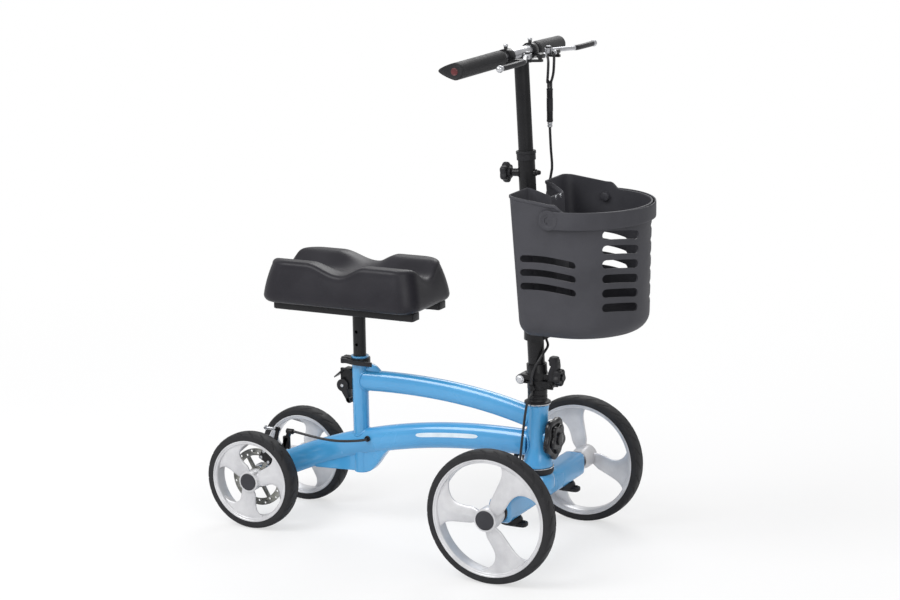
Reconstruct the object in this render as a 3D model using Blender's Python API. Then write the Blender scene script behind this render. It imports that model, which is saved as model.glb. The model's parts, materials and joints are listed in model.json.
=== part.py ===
# Knee walker: four moulded wheels, a welded frame, a folding steering column and a knee pad.
# Metres, +Z up, +X is the way it rolls. The origin is the middle of its footprint on the ground.
from math import atan2, cos, pi, radians, sin, tan

import bmesh
import bpy
from mathutils import Matrix, Vector

# Fits
SEAT_GAP = 0.0003
RUNNING_GAP = 0.0006
OVERLAP = 0.001
SMOOTH_ANGLE = radians(38)
MERGE_DISTANCE = 0.00002
OVAL_POWER = 0.83
KNOB_POINTS_PER_LOBE = 4
KNOB_EASE = 0.2
KNOB_BACK_SCALE = 0.9
KNOB_FRONT_SCALE = 0.86

# Wheels
WHEELBASE = 0.5722
FRONT_TRACK = 0.4115
REAR_TRACK = 0.2066
FRONT_WHEEL_RADIUS = 0.127
REAR_WHEEL_RADIUS = 0.0975
TYRE_DEPTH = 0.0149
TYRE_SHOULDER = 0.45
TYRE_CROWN = 0.08
TYRE_CROWN_SHARE = 0.62
TYRE_TREAD_SHARE = 0.25
FRONT_TYRE_WIDTH = 0.0326
REAR_TYRE_WIDTH = 0.0338
RIM_DEPTH = 0.0085
FRONT_HUB_REACH = 0.0265
REAR_HUB_REACH = 0.0195
HUB_INNER_REACH = 0.0195
FRONT_HUB_RADIUS = 0.022
REAR_HUB_RADIUS = 0.0205
HUB_CAP_LIP = 0.0035
HUB_CAP_RISE = 0.0018
HUB_CAP_PLUG = 0.002
BLADE_COUNT = 3
BLADE_HALF_WIDTH = 0.0165
BLADE_THICKNESS = 0.007
BLADE_CREASE = 0.003
BLADE_FLARE = 2.4
BLADE_SWEEP = radians(9)
FRONT_NEAR_TURN = radians(55)
FRONT_FAR_TURN = radians(105)
REAR_NEAR_TURN = radians(10)
REAR_FAR_TURN = radians(80)
FRONT_WHEEL_STEPS = 32
REAR_WHEEL_STEPS = 28
HUB_STEPS = 14
HUB_CAP_SHOULDER = 0.003
HUB_WAIST = 0.003
RIM_LIP = 0.003
BLADE_SPANS = 5
BLADE_STATIONS = (1, 0.5, 0, -0.5, -1)
BLADE_ROOT = 0.003
BLADE_ROOT_SHARE = 0.67
BLADE_HUB_DROP = 0.011
BLADE_RIM_DROP = 0.010
AXLE_RADIUS = 0.006
AXLE_NUT_RADIUS = 0.0095
AXLE_NUT_HEIGHT = 0.006

# Welded frame
LOWER_TUBE_HEIGHT = 0.050
LOWER_TUBE_WIDTH = 0.038
LOWER_TUBE_CREST = 0.458
LOWER_TUBE_CREST_Z = 0.226
LOWER_TUBE_HEAD_RISE = 0.041
TOP_TUBE_HEIGHT = 0.041
TOP_TUBE_WIDTH = 0.030
TOP_TUBE_SEAT_DROP = 0.050
TOP_TUBE_CREST = 0.578
TOP_TUBE_CREST_Z = 0.308
TOP_TUBE_HEAD_DROP = 0.031
LOWER_TUBE_START = 0.022
TUBE_SIDES = 12
TUBE_SPANS = 10
SEAT_TUBE_X = 0.190
SEAT_TUBE_RADIUS = 0.0159
SEAT_TUBE_BOTTOM_Z = 0.111
SEAT_TUBE_TOP_Z = 0.346
SEAT_TUBE_LIP = 0.0015
HEAD_TUBE_LENGTH = 0.120
HEAD_TUBE_TOP_RADIUS = 0.0205
HEAD_TUBE_FOOT_RADIUS = 0.0285
HEAD_FOOT_HEIGHT = 0.005
HEAD_FLARE_HEIGHT = 0.030
HEAD_FLARE_SHARE = 0.3
REAR_AXLE_TUBE_RADIUS = 0.018
GUSSET_WIDTH = 0.024
GUSSET_REAR_REACH = 0.105
GUSSET_FRONT_REACH = 0.072
GUSSET_LIFT = 0.002
GUSSET_SINK = 0.006
GUSSET_SPANS = 5
TOP_GUSSET_REACH = 0.053
TOP_GUSSET_RISE = 0.014
TOP_GUSSET_WIDTH = 0.008
TOP_GUSSET_FALL = ((0.9, 0.2), (0.6, 0.75))

# Steering
STEERER_RADIUS = 0.0143
HEAD_BORE_WALL = 0.0035
CUP_WALL = 0.003
LOWER_CUP_HEIGHT = 0.014
LOWER_CUP_RADIUS = 0.030
UPPER_CUP_HEIGHT = 0.012
UPPER_CUP_RADIUS = 0.025
UPPER_CUP_BRIM = 0.005
LOCK_NUT_HEIGHT = 0.019
LOCK_NUT_RADIUS = 0.0188

# Front axle beam
BEAM_HEIGHT = 0.046
BEAM_DEPTH = 0.044
BEAM_CORNER = 0.011
BEAM_CROWN_RISE = 0.004
BEAM_CROWN_RADIUS = 0.027
BEAM_SLEEVE_LENGTH = 0.010
BEAM_END_TAPER = 0.008
BEAM_END_SCALE = 0.86
BEAM_SLEEVE_RADIUS = 0.0195
BEAM_SLEEVE_NOSE_RADIUS = 0.0165
AXLE_SOCKET_DEPTH = 0.040
RELEASE_SOCKET_DEPTH = 0.008
RELEASE_Y = 0.120
RELEASE_STEM_RADIUS = 0.006
RELEASE_KNOB_RADIUS = 0.018
RELEASE_KNOB_HEIGHT = 0.012
RELEASE_PADDLE_REACH = 0.032
RELEASE_PADDLE_WIDTH = 0.022
RELEASE_PADDLE_HEIGHT = 0.006

# Steering lock knob
STEER_KNOB_RADIUS = 0.042
STEER_KNOB_DEPTH = 0.014
STEER_KNOB_LOBES = 5
STEER_KNOB_LOBE_DEPTH = 0.10
STEER_KNOB_RISE = 0.0574
STEER_BOSS_REACH = 0.030
STEER_STUD_RADIUS = 0.004
STEER_KNOB_HUB_RISE = 0.002
STEER_BOSS_RADIUS = 0.014

# Fold joint
FOLD_PIN_RISE = 0.018
FOLD_PIN_BACKSET = 0.028
FOLD_PIN_RADIUS = 0.004
FOLD_PIN_HEAD_RADIUS = 0.007
FOLD_PIN_HEAD_HEIGHT = 0.004
FOLD_KNUCKLE_RADIUS = 0.0095
FOLD_KNUCKLE_HALF = 0.0085
FOLD_EAR_THICKNESS = 0.008
FOLD_BLOCK_RADIUS = 0.0195
FOLD_SPLIT = 0.0006
LUG_STANDOFF = 0.0045
LATCH_AHEAD = 0.0308
LATCH_DROP = 0.009
LATCH_EAR_RADIUS = 0.0065
LATCH_HALF = 0.009
LATCH_SWING = 0.0072
LATCH_FACE = 0.005
LATCH_NOSE_HEIGHT = 0.012
FOLD_YOKE_HEIGHT = 0.030
FOLD_FLOOR = 0.004
COLUMN_FOOT = 0.006
CABLE_LUG_RADIUS = 0.0055
CABLE_LUG_HEIGHT = 0.010
LATCH_CHEEK = 0.004
LATCH_PIN_RADIUS = 0.003
LATCH_HOOK_RISE = 0.016
LATCH_HANDLE_LENGTH = 0.028
LATCH_HANDLE_THICKNESS = 0.010
LATCH_HOOK_KINK = (0.2, 0.5)
LATCH_TIP_RISE = 0.85
LATCH_TIP_SHARE = 0.3
LATCH_BELLY = (0.25, 0.3)
LATCH_BELLY_RISE = 0.4

# Column and stem
COLUMN_LEAN = radians(2.65)
COLUMN_RADIUS = 0.0159
COLUMN_LENGTH = 0.425
STEM_RADIUS = 0.0138
STEM_OVERLAP = 0.140
STEM_REACH = 0.184
COLLAR_RADIUS = 0.0178
COLLAR_HEIGHT = 0.021
COLLAR_CAP = 0.003
DOME_LENGTH = 0.012
DOME_RADIUS = 0.004
DOME_FACE_SHARE = 0.6
HEIGHT_BOSS_RADIUS = 0.0075
HEIGHT_BOSS_LENGTH = 0.012
HEIGHT_STUD_RADIUS = 0.004
HEIGHT_KNOB_HUB_RADIUS = 0.0075
HEIGHT_KNOB_STANDOFF = 0.020
STEM_WALL = 0.002
HEIGHT_KNOB_DROP = 0.038
HEIGHT_KNOB_RADIUS = 0.0195
HEIGHT_KNOB_DEPTH = 0.013
HEIGHT_KNOB_LOBES = 6
HEIGHT_KNOB_LOBE_DEPTH = 0.16

# Handlebar
BAR_RADIUS = 0.0111
BAR_HALF_WIDTH = 0.218
BAR_SWEEP = radians(6.5)
BAR_DROP = 0.009
GRIP_LENGTH = 0.150
GRIP_RADIUS = 0.0158
GRIP_WING = 0.033
GRIP_END_WALL = 0.004
GRIP_SIDES = 14
GRIP_SPANS = 5
GRIP_PINCH = 0.45
GRIP_CUFF = 0.94
LEVER_PIVOT_Y = 0.046
LEVER_PIVOT_REACH = 0.040
LEVER_TIP_Y = 0.205
LEVER_THICKNESS = 0.010
LEVER_WIDTH = 0.009
LEVER_SPANS = 6
LEVER_TIP_OUT = 0.021
LEVER_TIP_DROP = 0.003
LEVER_BOW = 0.004
LEVER_SLIM = 0.85
LEVER_ROOT_SLIM = 0.9
LEVER_BALL_RADIUS = 0.0065
LEVER_POST_RADIUS = 0.003
LEVER_HEAD_RADIUS = 0.0055
LEVER_HEAD_HEIGHT = 0.002
PERCH_Y = 0.052
PERCH_PLATE = 0.0045
PERCH_STUD_RADIUS = 0.0035
PERCH_STUD_HEIGHT = 0.004
BARREL_REACH = 0.0215
BARREL_OVERLAP = 0.004
BARREL_LENGTH = 0.016
BARREL_RADIUS = 0.0045
PERCH_WIDTH = 0.016
PERCH_WALL = 0.0045
PERCH_PIVOT_RADIUS = 0.008

# Cables
CABLE_RADIUS = 0.0025
SPLITTER_RADIUS = 0.006
SPLITTER_LENGTH = 0.063
SPLITTER_NECK_RADIUS = 0.0047
SPLITTER_NECK_LENGTH = 0.010
SPLITTER_AHEAD = 0.0098
SPLITTER_Y = 0.042
SPLITTER_HANG = 0.0688
CABLE_STEPS = 12
MOUTH_DEPTH = 0.003
SPLITTER_LEAD = 0.012
CABLE_PITCH = 0.0115
GROMMET_REAR_AHEAD = 0.024
GROMMET_REAR_RISE = 0.0865
GROMMET_FRONT_BACKSET = 0.0442
GROMMET_RADIUS = 0.006
GROMMET_HEIGHT = 0.004

# How each cable bows out, from its first clip to its second: a share of the way and an offset
CABLE_RIGHT_BOWS = ((0.044, (0.0009, 0.015, 0)), (0.22, (-0.0014, 0.021, 0)), (0.543, (-0.0027, 0.0151, 0)),
                    (0.836, (-0.0034, 0.0072, 0)))
CABLE_LEFT_BOWS = ((0.059, (0.0029, -0.0089, 0)), (0.264, (0.005, -0.0102, 0)), (0.587, (0.0029, -0.0034, 0)),
                   (0.836, (-0.0015, 0.0006, 0)))
CABLE_UPPER_BOWS = ((0.105, (-0.003, 0.0123, 0)), (0.196, (-0.01, 0.0342, 0)), (0.248, (-0.015, 0.0414, 0)),
                    (0.391, (-0.0221, 0.0345, 0)), (0.599, (-0.0211, 0.0169, 0)), (0.795, (-0.0092, 0.0032, 0)),
                    (0.925, (-0.0017, -0.0007, 0)))
CABLE_MIDDLE_BOWS = ((0.166, (0.0108, -0.007, 0)), (0.331, (0.0095, -0.0187, 0)), (0.568, (0.0028, -0.0187, 0)),
                     (0.781, (-0.0009, -0.0107, 0)))
CABLE_LOWER_BOWS = ((0.183, (0.0014, -0.0124, 0)), (0.599, (0.0105, -0.0224, 0)), (0.944, (0.0186, -0.0277, 0)),
                    (1.102, (0.0194, -0.0234, 0)), (1.086, (0.0088, -0.0091, 0)))
CABLE_REAR_BOWS = ((0.11, (0, -0.0089, -0.0029)), (0.338, (0, -0.0125, -0.0057)), (0.579, (0, -0.0116, -0.0046)))

# Basket and its carrier
BASKET_RISE = 0.1095
BASKET_HEIGHT = 0.263
BASKET_SETBACK = 0.0008
BASKET_STRAIGHT = 0.094
BASKET_NOSE = 0.1269
BASKET_HALF_WIDTH = 0.131
BASKET_WALL = 0.003
BASKET_FLOOR_RADIUS = 0.022
BASKET_REAR_CORNER = 0.020
BASKET_NOTCH_HALF = 0.024
BASKET_NOTCH_DEPTH = 0.040
BASKET_NOTCH_SPREAD = 0.018
NOTCH_SPANS = 4
CORNER_SPANS = 3
NOSE_SPANS = 8
FLOOR_SPANS = 2
SLOT_SPANS = 3
SLOT_REACH_IN = 0.051
SLOT_REACH_OUT = 0.069
BASKET_BACK_DRAFT = 0.0625
BASKET_SIDE_DRAFT = 0.02
BASKET_STEP_LENGTH = 0.020
BASKET_FRONT_DROP = 0.024
BASKET_SIDE_FALL = 0.011
SIDE_SLOT_COUNT = 3
SIDE_SLOT_DROP = 0.126
SIDE_SLOT_PITCH = 0.0255
SIDE_SLOT_AHEAD = 0.028
SIDE_SLOT_LENGTH = 0.104
SIDE_SLOT_HEIGHT = 0.0105
SIDE_SLOT_BOW = 0.012
NOSE_SLOT_COUNT = 6
NOSE_SLOT_DROP = 0.078
NOSE_SLOT_PITCH = 0.0268
NOSE_SLOT_HEIGHT = 0.0115
NOSE_SLOT_FROM = radians(15)
NOSE_SLOT_TO = radians(50)
BAIL_PIVOT_AHEAD = 0.085
BAIL_PIVOT_DROP = 0.039
BAIL_EYE_RADIUS = 0.0185
BAIL_HEIGHT = 0.033
BAIL_FRONT_HEIGHT = 0.028
BAIL_THICKNESS = 0.0035
BAIL_GAP = 0.0036
BAIL_BOSS_RADIUS = 0.006
BAIL_SPANS = 20
BAIL_EASE = 0.0008
BRACKET_WALL = 0.0045
BRACKET_DROP = 0.033
BRACKET_REACH = 0.085
BRACKET_RIB_SHARE = 0.9
BRACKET_HALF_WIDTH = 0.030
BRACKET_NECK_HALF = 0.012
BRACKET_RIB_HALF = 0.003
BRACKET_PLATE_THICKNESS = 0.003

# Seat post, seat frame and knee pad
POST_RADIUS = 0.0127
POST_WALL = 0.0016
POST_BOTTOM_Z = 0.200
POST_HOLE_RADIUS = 0.0032
POST_HOLE_PITCH = 0.0254
POST_HOLE_COUNT = 5
POST_HOLE_TOP_DROP = 0.045
RAIL_Y = 0.055
RAIL_WIDTH = 0.026
RAIL_HEIGHT = 0.0165
RAIL_RISE = 0.094
RAIL_BACK_REACH = 0.150
RAIL_FRONT_REACH = 0.154
CROSS_PLATE_LENGTH = 0.110
CROSS_PLATE_THICKNESS = 0.004
CROSS_PLATE_BOSS_RADIUS = 0.021
SOCKET_LENGTH = 0.012
RAIL_EASE = 0.0015
PAD_LENGTH = 0.322
PAD_WIDTH = 0.182
PAD_HEIGHT = 0.080
PAD_FLARE = 0.016
PAD_CORNER = 0.030
PAD_BOTTOM_EDGE = 0.009
PAD_TOP_EDGE = 0.008
PAD_TOP_TURN = 0.3
PAD_BOTTOM_TURN = 0.2
PAD_BOTTOM_TURN_RISE = 0.4
PAD_VALLEY_HALF = 0.062
PAD_TROUGH_DEPTH = 0.029
PAD_TROUGH_HALF = 0.055
PAD_VALLEY_SHARE = 0.93
PAD_LONG_SPANS = 9
PAD_SHORT_SPANS = 6
PAD_RINGS = (0.8, 0.6, 0.4, 0.2)

# Seat clamp and seat pin
CLAMP_HEIGHT = 0.019
CLAMP_WALL = 0.0045
CLAMP_TOP_DROP = 0.003
CLAMP_EAR_LENGTH = 0.016
CLAMP_SLIT = 0.003
CLAMP_EAR_HALF = 0.010
CLAMP_BOLT_RADIUS = 0.003
CLAMP_BOLT_REACH = 0.0284
CLAMP_NUT_RADIUS = 0.0055
CLAMP_NUT_HEIGHT = 0.006
CAM_RADIUS = 0.0055
CLAMP_LEVER_SPANS = 6
CLAMP_LEVER_OUT = 0.0095
LEVER_ARM_LENGTH = 0.068
LEVER_ARM_THICKNESS = 0.005
LEVER_ARM_HEIGHT = 0.014
LEVER_ARM_TAPER = 0.35
PIN_BRACKET_WIDTH = 0.022
PIN_BRACKET_DEPTH = 0.037
PIN_BRACKET_WALL = 0.003
PIN_HOOD_DROP = 0.028
PIN_HOOD_FALL = 0.018
PIN_HOOD_FLAT = 0.45
TRIGGER_BACKSET = 0.036
TRIGGER_DROP = 0.063
TONGUE_RADIUS = 0.007
TONGUE_HALF = 0.003
TRIGGER_PIN_RADIUS = 0.003
TRIGGER_EYE_RADIUS = 0.010
TRIGGER_TAIL_X = 0.017
TRIGGER_TAIL_WIDTH = 0.005
TRIGGER_TAIL_DROP = 0.034

# Brake
ROTOR_RADIUS = 0.058
ROTOR_BAND = 0.014
ROTOR_THICKNESS = 0.002
ROTOR_HUB_RADIUS = 0.0195
ROTOR_SPOKES = 6
ROTOR_SPOKE_WIDTH = 0.007
ROTOR_HOLES = 12
ROTOR_HOLE_RADIUS = 0.0022
ROTOR_HOLE_STRETCH = 1.6
BRIDGE_GAP = 0.0015
CALIPER_FACE_Y = 0.0643
CALIPER_EASE = 0.002
ARM_PIVOT_R = 0.050
ARM_PIVOT_V = 0.005
CALIPER_ARM_LEAN = 0.013
STOP_X = 0.062
STOP_Y = 0.060
STOP_RISE = 0.0945
STOP_RADIUS = 0.0055
STOP_LENGTH = 0.014
STRAP_X = 0.043
STRAP_RISE = 0.0545
STRAP_THICKNESS = 0.006
STRAP_DEPTH = 0.010
STRAP_HALF_IN = 0.003
STRAP_HALF_OUT = 0.007
ADAPTER_REACH = 0.058
ROTOR_GAP = 0.0012
CALIPER_ANGLE = radians(62)
CALIPER_INNER_RADIUS = 0.040
CALIPER_OUTER_RADIUS = 0.0665
CALIPER_HALF_WIDTH = 0.015
CALIPER_OUTER_THICKNESS = 0.008
CALIPER_BOSS_RADIUS = 0.009
CALIPER_BOSS_HEIGHT = 0.005
CALIPER_ARM_WIDTH = 0.010
CALIPER_ARM_THICKNESS = 0.004
CALIPER_ARM_TAPER = 0.7
ADAPTER_THICKNESS = 0.0045
ADAPTER_RING_WALL = 0.006
ADAPTER_ARM_WIDTH = 0.010

# Heights that stack up from the ground
FRONT_AXLE_Z = FRONT_WHEEL_RADIUS
REAR_AXLE_Z = REAR_WHEEL_RADIUS
BEAM_TOP_Z = FRONT_AXLE_Z + BEAM_HEIGHT / 2 + BEAM_CROWN_RISE
HEAD_BOTTOM_Z = BEAM_TOP_Z + LOWER_CUP_HEIGHT + 2 * SEAT_GAP
HEAD_TOP_Z = HEAD_BOTTOM_Z + HEAD_TUBE_LENGTH
STEER_KNOB_Z = HEAD_BOTTOM_Z + STEER_KNOB_RISE
UPPER_CUP_TOP_Z = HEAD_TOP_Z + UPPER_CUP_HEIGHT + SEAT_GAP
LOCK_NUT_TOP_Z = UPPER_CUP_TOP_Z + LOCK_NUT_HEIGHT + SEAT_GAP
FOLD_BASE_BOTTOM_Z = LOCK_NUT_TOP_Z + SEAT_GAP
FOLD_Z = FOLD_BASE_BOTTOM_Z + FOLD_PIN_RISE
STEERER_TOP_Z = FOLD_Z - FOLD_FLOOR - SEAT_GAP
RAIL_BOTTOM_Z = SEAT_TUBE_TOP_Z + RAIL_RISE
PAD_BOTTOM_Z = RAIL_BOTTOM_Z + RAIL_HEIGHT + SEAT_GAP
POST_TOP_Z = RAIL_BOTTOM_Z - SEAT_GAP
CLAMP_TOP_Z = SEAT_TUBE_TOP_Z - CLAMP_TOP_DROP
BEAM_BOTTOM_Z = FRONT_AXLE_Z - BEAM_HEIGHT / 2
PIN_HOOD_TOP_Z = SEAT_TUBE_TOP_Z - PIN_HOOD_DROP
TRIGGER_Z = SEAT_TUBE_TOP_Z - TRIGGER_DROP
STOP_Z = REAR_AXLE_Z + STOP_RISE
STRAP_Z = REAR_AXLE_Z + STRAP_RISE
GROMMET_REAR_Z = REAR_AXLE_Z + GROMMET_REAR_RISE
BASKET_FLOOR_Z = FOLD_Z + BASKET_RISE
BASKET_TOP_Z = BASKET_FLOOR_Z + BASKET_HEIGHT
BAIL_PIVOT_Z = BASKET_TOP_Z - BAIL_PIVOT_DROP
BRACKET_LOW_Z = BASKET_FLOOR_Z - BRACKET_DROP
SIDE_SLOT_FIRST_Z = BASKET_TOP_Z - SIDE_SLOT_DROP
NOSE_SLOT_FIRST_Z = BASKET_TOP_Z - NOSE_SLOT_DROP

# Places along and across the walker
FOLD_X = WHEELBASE - FOLD_PIN_BACKSET
FOLD_PIN = Vector((FOLD_X, 0, FOLD_Z))
BASKET_BACK_X = WHEELBASE + BASKET_SETBACK
BASKET_NOSE_X = BASKET_BACK_X + BASKET_STRAIGHT
BAIL_PIVOT_X = BASKET_BACK_X + BAIL_PIVOT_AHEAD
SIDE_SLOT_START_X = BASKET_BACK_X + SIDE_SLOT_AHEAD
SLOT_INNER_Y = BASKET_HALF_WIDTH - SLOT_REACH_IN
SLOT_OUTER_Y = BASKET_HALF_WIDTH + SLOT_REACH_OUT
LATCH_X = WHEELBASE + LATCH_AHEAD
SPLITTER_X = WHEELBASE + SPLITTER_AHEAD
GROMMET_FRONT_X = WHEELBASE - GROMMET_FRONT_BACKSET
GROMMET_REAR_X = SEAT_TUBE_X + GROMMET_REAR_AHEAD
TRIGGER_X = SEAT_TUBE_X - TRIGGER_BACKSET
RAIL_START_X = SEAT_TUBE_X - RAIL_BACK_REACH
RAIL_END_X = SEAT_TUBE_X + RAIL_FRONT_REACH
LOWER_TUBE_CREST_X = WHEELBASE * LOWER_TUBE_CREST
TOP_TUBE_CREST_X = SEAT_TUBE_X + (WHEELBASE - SEAT_TUBE_X) * TOP_TUBE_CREST
FRONT_END_X = BASKET_NOSE_X + BASKET_NOSE + BAIL_GAP + BAIL_THICKNESS
FOOTPRINT_SHIFT = (REAR_WHEEL_RADIUS - FRONT_END_X) / 2
ROTOR_OUTER_Y = REAR_TRACK / 2 - HUB_INNER_REACH - SEAT_GAP
ROTOR_INNER_Y = ROTOR_OUTER_Y - ROTOR_THICKNESS
AXLE_TUBE_END_Y = ROTOR_INNER_Y - RUNNING_GAP
SLEEVE_END_Y = FRONT_TRACK / 2 - HUB_INNER_REACH - RUNNING_GAP
BEAM_END_Y = SLEEVE_END_Y - BEAM_SLEEVE_LENGTH - SEAT_GAP
HEAD_BORE_RADIUS = HEAD_TUBE_TOP_RADIUS - HEAD_BORE_WALL

# Turns from a solid's own Z to the walker's axes
TO_X = Matrix.Rotation(pi / 2, 4, "Y")
TO_Y = Matrix.Rotation(-pi / 2, 4, "X")
SIDE_VIEW = Matrix.Rotation(pi / 2, 4, "X")
COLUMN_FRAME = Matrix.Translation((WHEELBASE, 0, FOLD_Z)) @ Matrix.Rotation(-COLUMN_LEAN, 4, "Y")
COLUMN_TOP = COLUMN_FOOT + COLUMN_LENGTH
BAR_CENTRE = COLUMN_FRAME @ Vector((0, 0, COLUMN_TOP + STEM_REACH))
SPLITTER_TOP_Z = BAR_CENTRE.z - SPLITTER_HANG
HEIGHT_BOLT_RISE = COLUMN_TOP - HEIGHT_KNOB_DROP
TO_REAR = Matrix.Rotation(-pi / 2, 4, "Y")
CALIPER_FRAME = Matrix(((cos(CALIPER_ANGLE), -sin(CALIPER_ANGLE), 0, 0), (0, 0, -1, 0),
                        (sin(CALIPER_ANGLE), cos(CALIPER_ANGLE), 0, REAR_AXLE_Z), (0, 0, 0, 1)))
LATCH_Z = FOLD_Z - LATCH_DROP
BASE_LUG = (WHEELBASE - RUNNING_GAP, -FOLD_BLOCK_RADIUS - LUG_STANDOFF, FOLD_BASE_BOTTOM_Z + OVERLAP)
CLIP_LUG = (WHEELBASE + 0.010, COLUMN_RADIUS + LUG_STANDOFF, BRACKET_LOW_Z + OVERLAP)

# Colour, roughness and metallic value of each finish
BLUE_PAINT = ("#4AA3DF", 0.28, 0.0)
SILVER_RESIN = ("#C9C9CD", 0.45, 0.2)
TYRE_RUBBER = ("#3A3A3C", 0.75, 0.0)
PAD_VINYL = ("#3C3B40", 0.55, 0.0)
BASKET_PLASTIC = ("#48484C", 0.6, 0.0)
BLACK_PAINT = ("#2B2B2F", 0.4, 0.0)
BLACK_PLASTIC = ("#333338", 0.55, 0.0)
BRIGHT_STEEL = ("#BDBDC0", 0.3, 1.0)
DARK_STEEL = ("#6E6E64", 0.45, 1.0)
GRIP_RUBBER = ("#38383B", 0.7, 0.0)
CABLE_SHEATH = ("#1E1E20", 0.45, 0.0)


def at(x, y, z):
    return Matrix.Translation((x, y, z))


def linear(channel):
    if channel <= 0.04045:
        return channel / 12.92
    return ((channel + 0.055) / 1.055) ** 2.4


def finish_material(name, finish):
    code, roughness, metallic = finish
    channels = [linear(int(code[k:k + 2], 16) / 255) for k in (1, 3, 5)]
    item = bpy.data.materials.new(name)
    item.use_nodes = True
    shader = item.node_tree.nodes["Principled BSDF"]
    shader.inputs["Base Color"].default_value = (*channels, 1)
    shader.inputs["Roughness"].default_value = roughness
    shader.inputs["Metallic"].default_value = metallic
    item.diffuse_color = (*channels, 1)
    return item


# Turns all faces of one closed solid outwards
def outward(solid):
    bmesh.ops.recalc_face_normals(solid, faces=solid.faces)
    if solid.calc_volume(signed=True) < 0:
        bmesh.ops.reverse_faces(solid, faces=solid.faces)
    return solid


# Puts a finished solid in the scene as a named piece, with its origin on the given pivot
def piece(name, solid, finish, pivot=(0, 0, 0)):
    outward(solid)
    solid.transform(Matrix.Translation(-Vector(pivot)))
    mesh = bpy.data.meshes.new(name)
    solid.to_mesh(mesh)
    solid.free()
    mesh.shade_smooth()
    mesh.set_sharp_from_angle(angle=SMOOTH_ANGLE)
    mesh.materials.append(finish_material(name, finish))
    item = bpy.data.objects.new(name, mesh)
    bpy.context.collection.objects.link(item)
    item.parent = bpy.data.objects["knee_walker"]
    item.location = pivot
    return item


# Faces between two rings of one count, or between a ring and a single point
def bridge(solid, low, high):
    count = max(len(low), len(high))
    for k in range(count):
        n = (k + 1) % count
        if len(low) == 1:
            solid.faces.new((low[0], high[n], high[k]))
        elif len(high) == 1:
            solid.faces.new((low[k], low[n], high[0]))
        else:
            solid.faces.new((low[k], low[n], high[n], high[k]))


# A turned solid about Z. An open profile starts and ends on the axis, a bored one closes on itself
def revolve(profile, steps, bored=False):
    solid = bmesh.new()
    rings = []
    turns = [2 * pi * k / steps for k in range(steps)]
    for radius, height in profile:
        if radius == 0:
            rings.append([solid.verts.new((0, 0, height))])
        else:
            rings.append([solid.verts.new((radius * cos(a), radius * sin(a), height)) for a in turns])
    followers = rings[1:] + rings[:1] if bored else rings[1:]
    for low, high in zip(rings, followers):
        bridge(solid, low, high)
    return outward(solid)


def cylinder(radius, low, high, steps=12):
    return revolve([(0, low), (radius, low), (radius, high), (0, high)], steps)


def sleeve(inner, outer, low, high, steps=16):
    return revolve([(inner, low), (outer, low), (outer, high), (inner, high)], steps, bored=True)


# A solid through a row of sections of one count. Its ends are one face each, or strips across
def loft(sections, strip_ends=False):
    solid = bmesh.new()
    rings = [[solid.verts.new(point) for point in section] for section in sections]
    for low, high in zip(rings, rings[1:]):
        bridge(solid, low, high)
    for ring in (rings[0], rings[-1]):
        if strip_ends:
            for k in range(len(ring) // 2 - 1):
                solid.faces.new((ring[k], ring[k + 1], ring[-2 - k], ring[-1 - k]))
        else:
            solid.faces.new(ring)
    return outward(solid)


# A flat outline thickened from low to high
def prism(outline, low, high):
    return loft([[(x, y, low) for x, y in outline], [(x, y, high) for x, y in outline]])


def box(x_range, y_range, z_range):
    (x0, x1), (y0, y1) = x_range, y_range
    return prism([(x0, y0), (x1, y0), (x1, y1), (x0, y1)], *z_range)


# Rounds the edges that turn sharply
def eased(solid, width, segments=1):
    outward(solid)
    edges = [e for e in solid.edges if e.calc_face_angle(0) > SMOOTH_ANGLE]
    bmesh.ops.bevel(solid, geom=edges, offset=width, segments=segments, affect="EDGES", clamp_overlap=True)
    return solid


def placed(solid, matrix):
    solid.transform(matrix)
    return solid


# The same solid on the left (+Y) or the right (-Y)
def on_side(solid, side):
    solid.transform(Matrix.Diagonal((1, side, 1, 1)))
    return solid


# Solids that don't meet, held together for one operation
def gathered(*solids):
    total = bmesh.new()
    for solid in solids:
        outward(solid)
        mesh = bpy.data.meshes.new("part")
        solid.to_mesh(mesh)
        total.from_mesh(mesh)
        solid.free()
        bpy.data.meshes.remove(mesh)
    return total


def combined(base, tool, operation):
    holders = []
    for solid in (base, tool):
        if solid.calc_volume(signed=True) < 0:
            bmesh.ops.reverse_faces(solid, faces=solid.faces)
        mesh = bpy.data.meshes.new("work")
        solid.to_mesh(mesh)
        solid.free()
        holder = bpy.data.objects.new("work", mesh)
        bpy.context.collection.objects.link(holder)
        holders.append(holder)
    body, cutter = holders
    change = body.modifiers.new("change", "BOOLEAN")
    change.operation = operation
    change.solver = "EXACT"
    change.object = cutter
    bpy.context.view_layer.update()
    seen = body.evaluated_get(bpy.context.evaluated_depsgraph_get())
    result = bmesh.new()
    result.from_mesh(seen.to_mesh())
    seen.to_mesh_clear()
    for holder in holders:
        mesh = holder.data
        bpy.data.objects.remove(holder, do_unlink=True)
        bpy.data.meshes.remove(mesh)
    bmesh.ops.remove_doubles(result, verts=result.verts, dist=MERGE_DISTANCE)
    bmesh.ops.dissolve_degenerate(result, edges=result.edges, dist=MERGE_DISTANCE)
    return result


def fused(base, *tools):
    for tool in tools:
        base = combined(base, tool, "UNION")
    return base


def cut(base, *tools):
    for tool in tools:
        base = combined(base, tool, "DIFFERENCE")
    return base


def bend(a, b, c, t):
    return (1 - t) ** 2 * a + 2 * t * (1 - t) * b + t ** 2 * c


def smoothstep(t):
    t = min(1, max(0, t))
    return t * t * (3 - 2 * t)


def swell(t):
    return cos(pi * t / 2) ** 2 if abs(t) < 1 else 0


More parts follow.
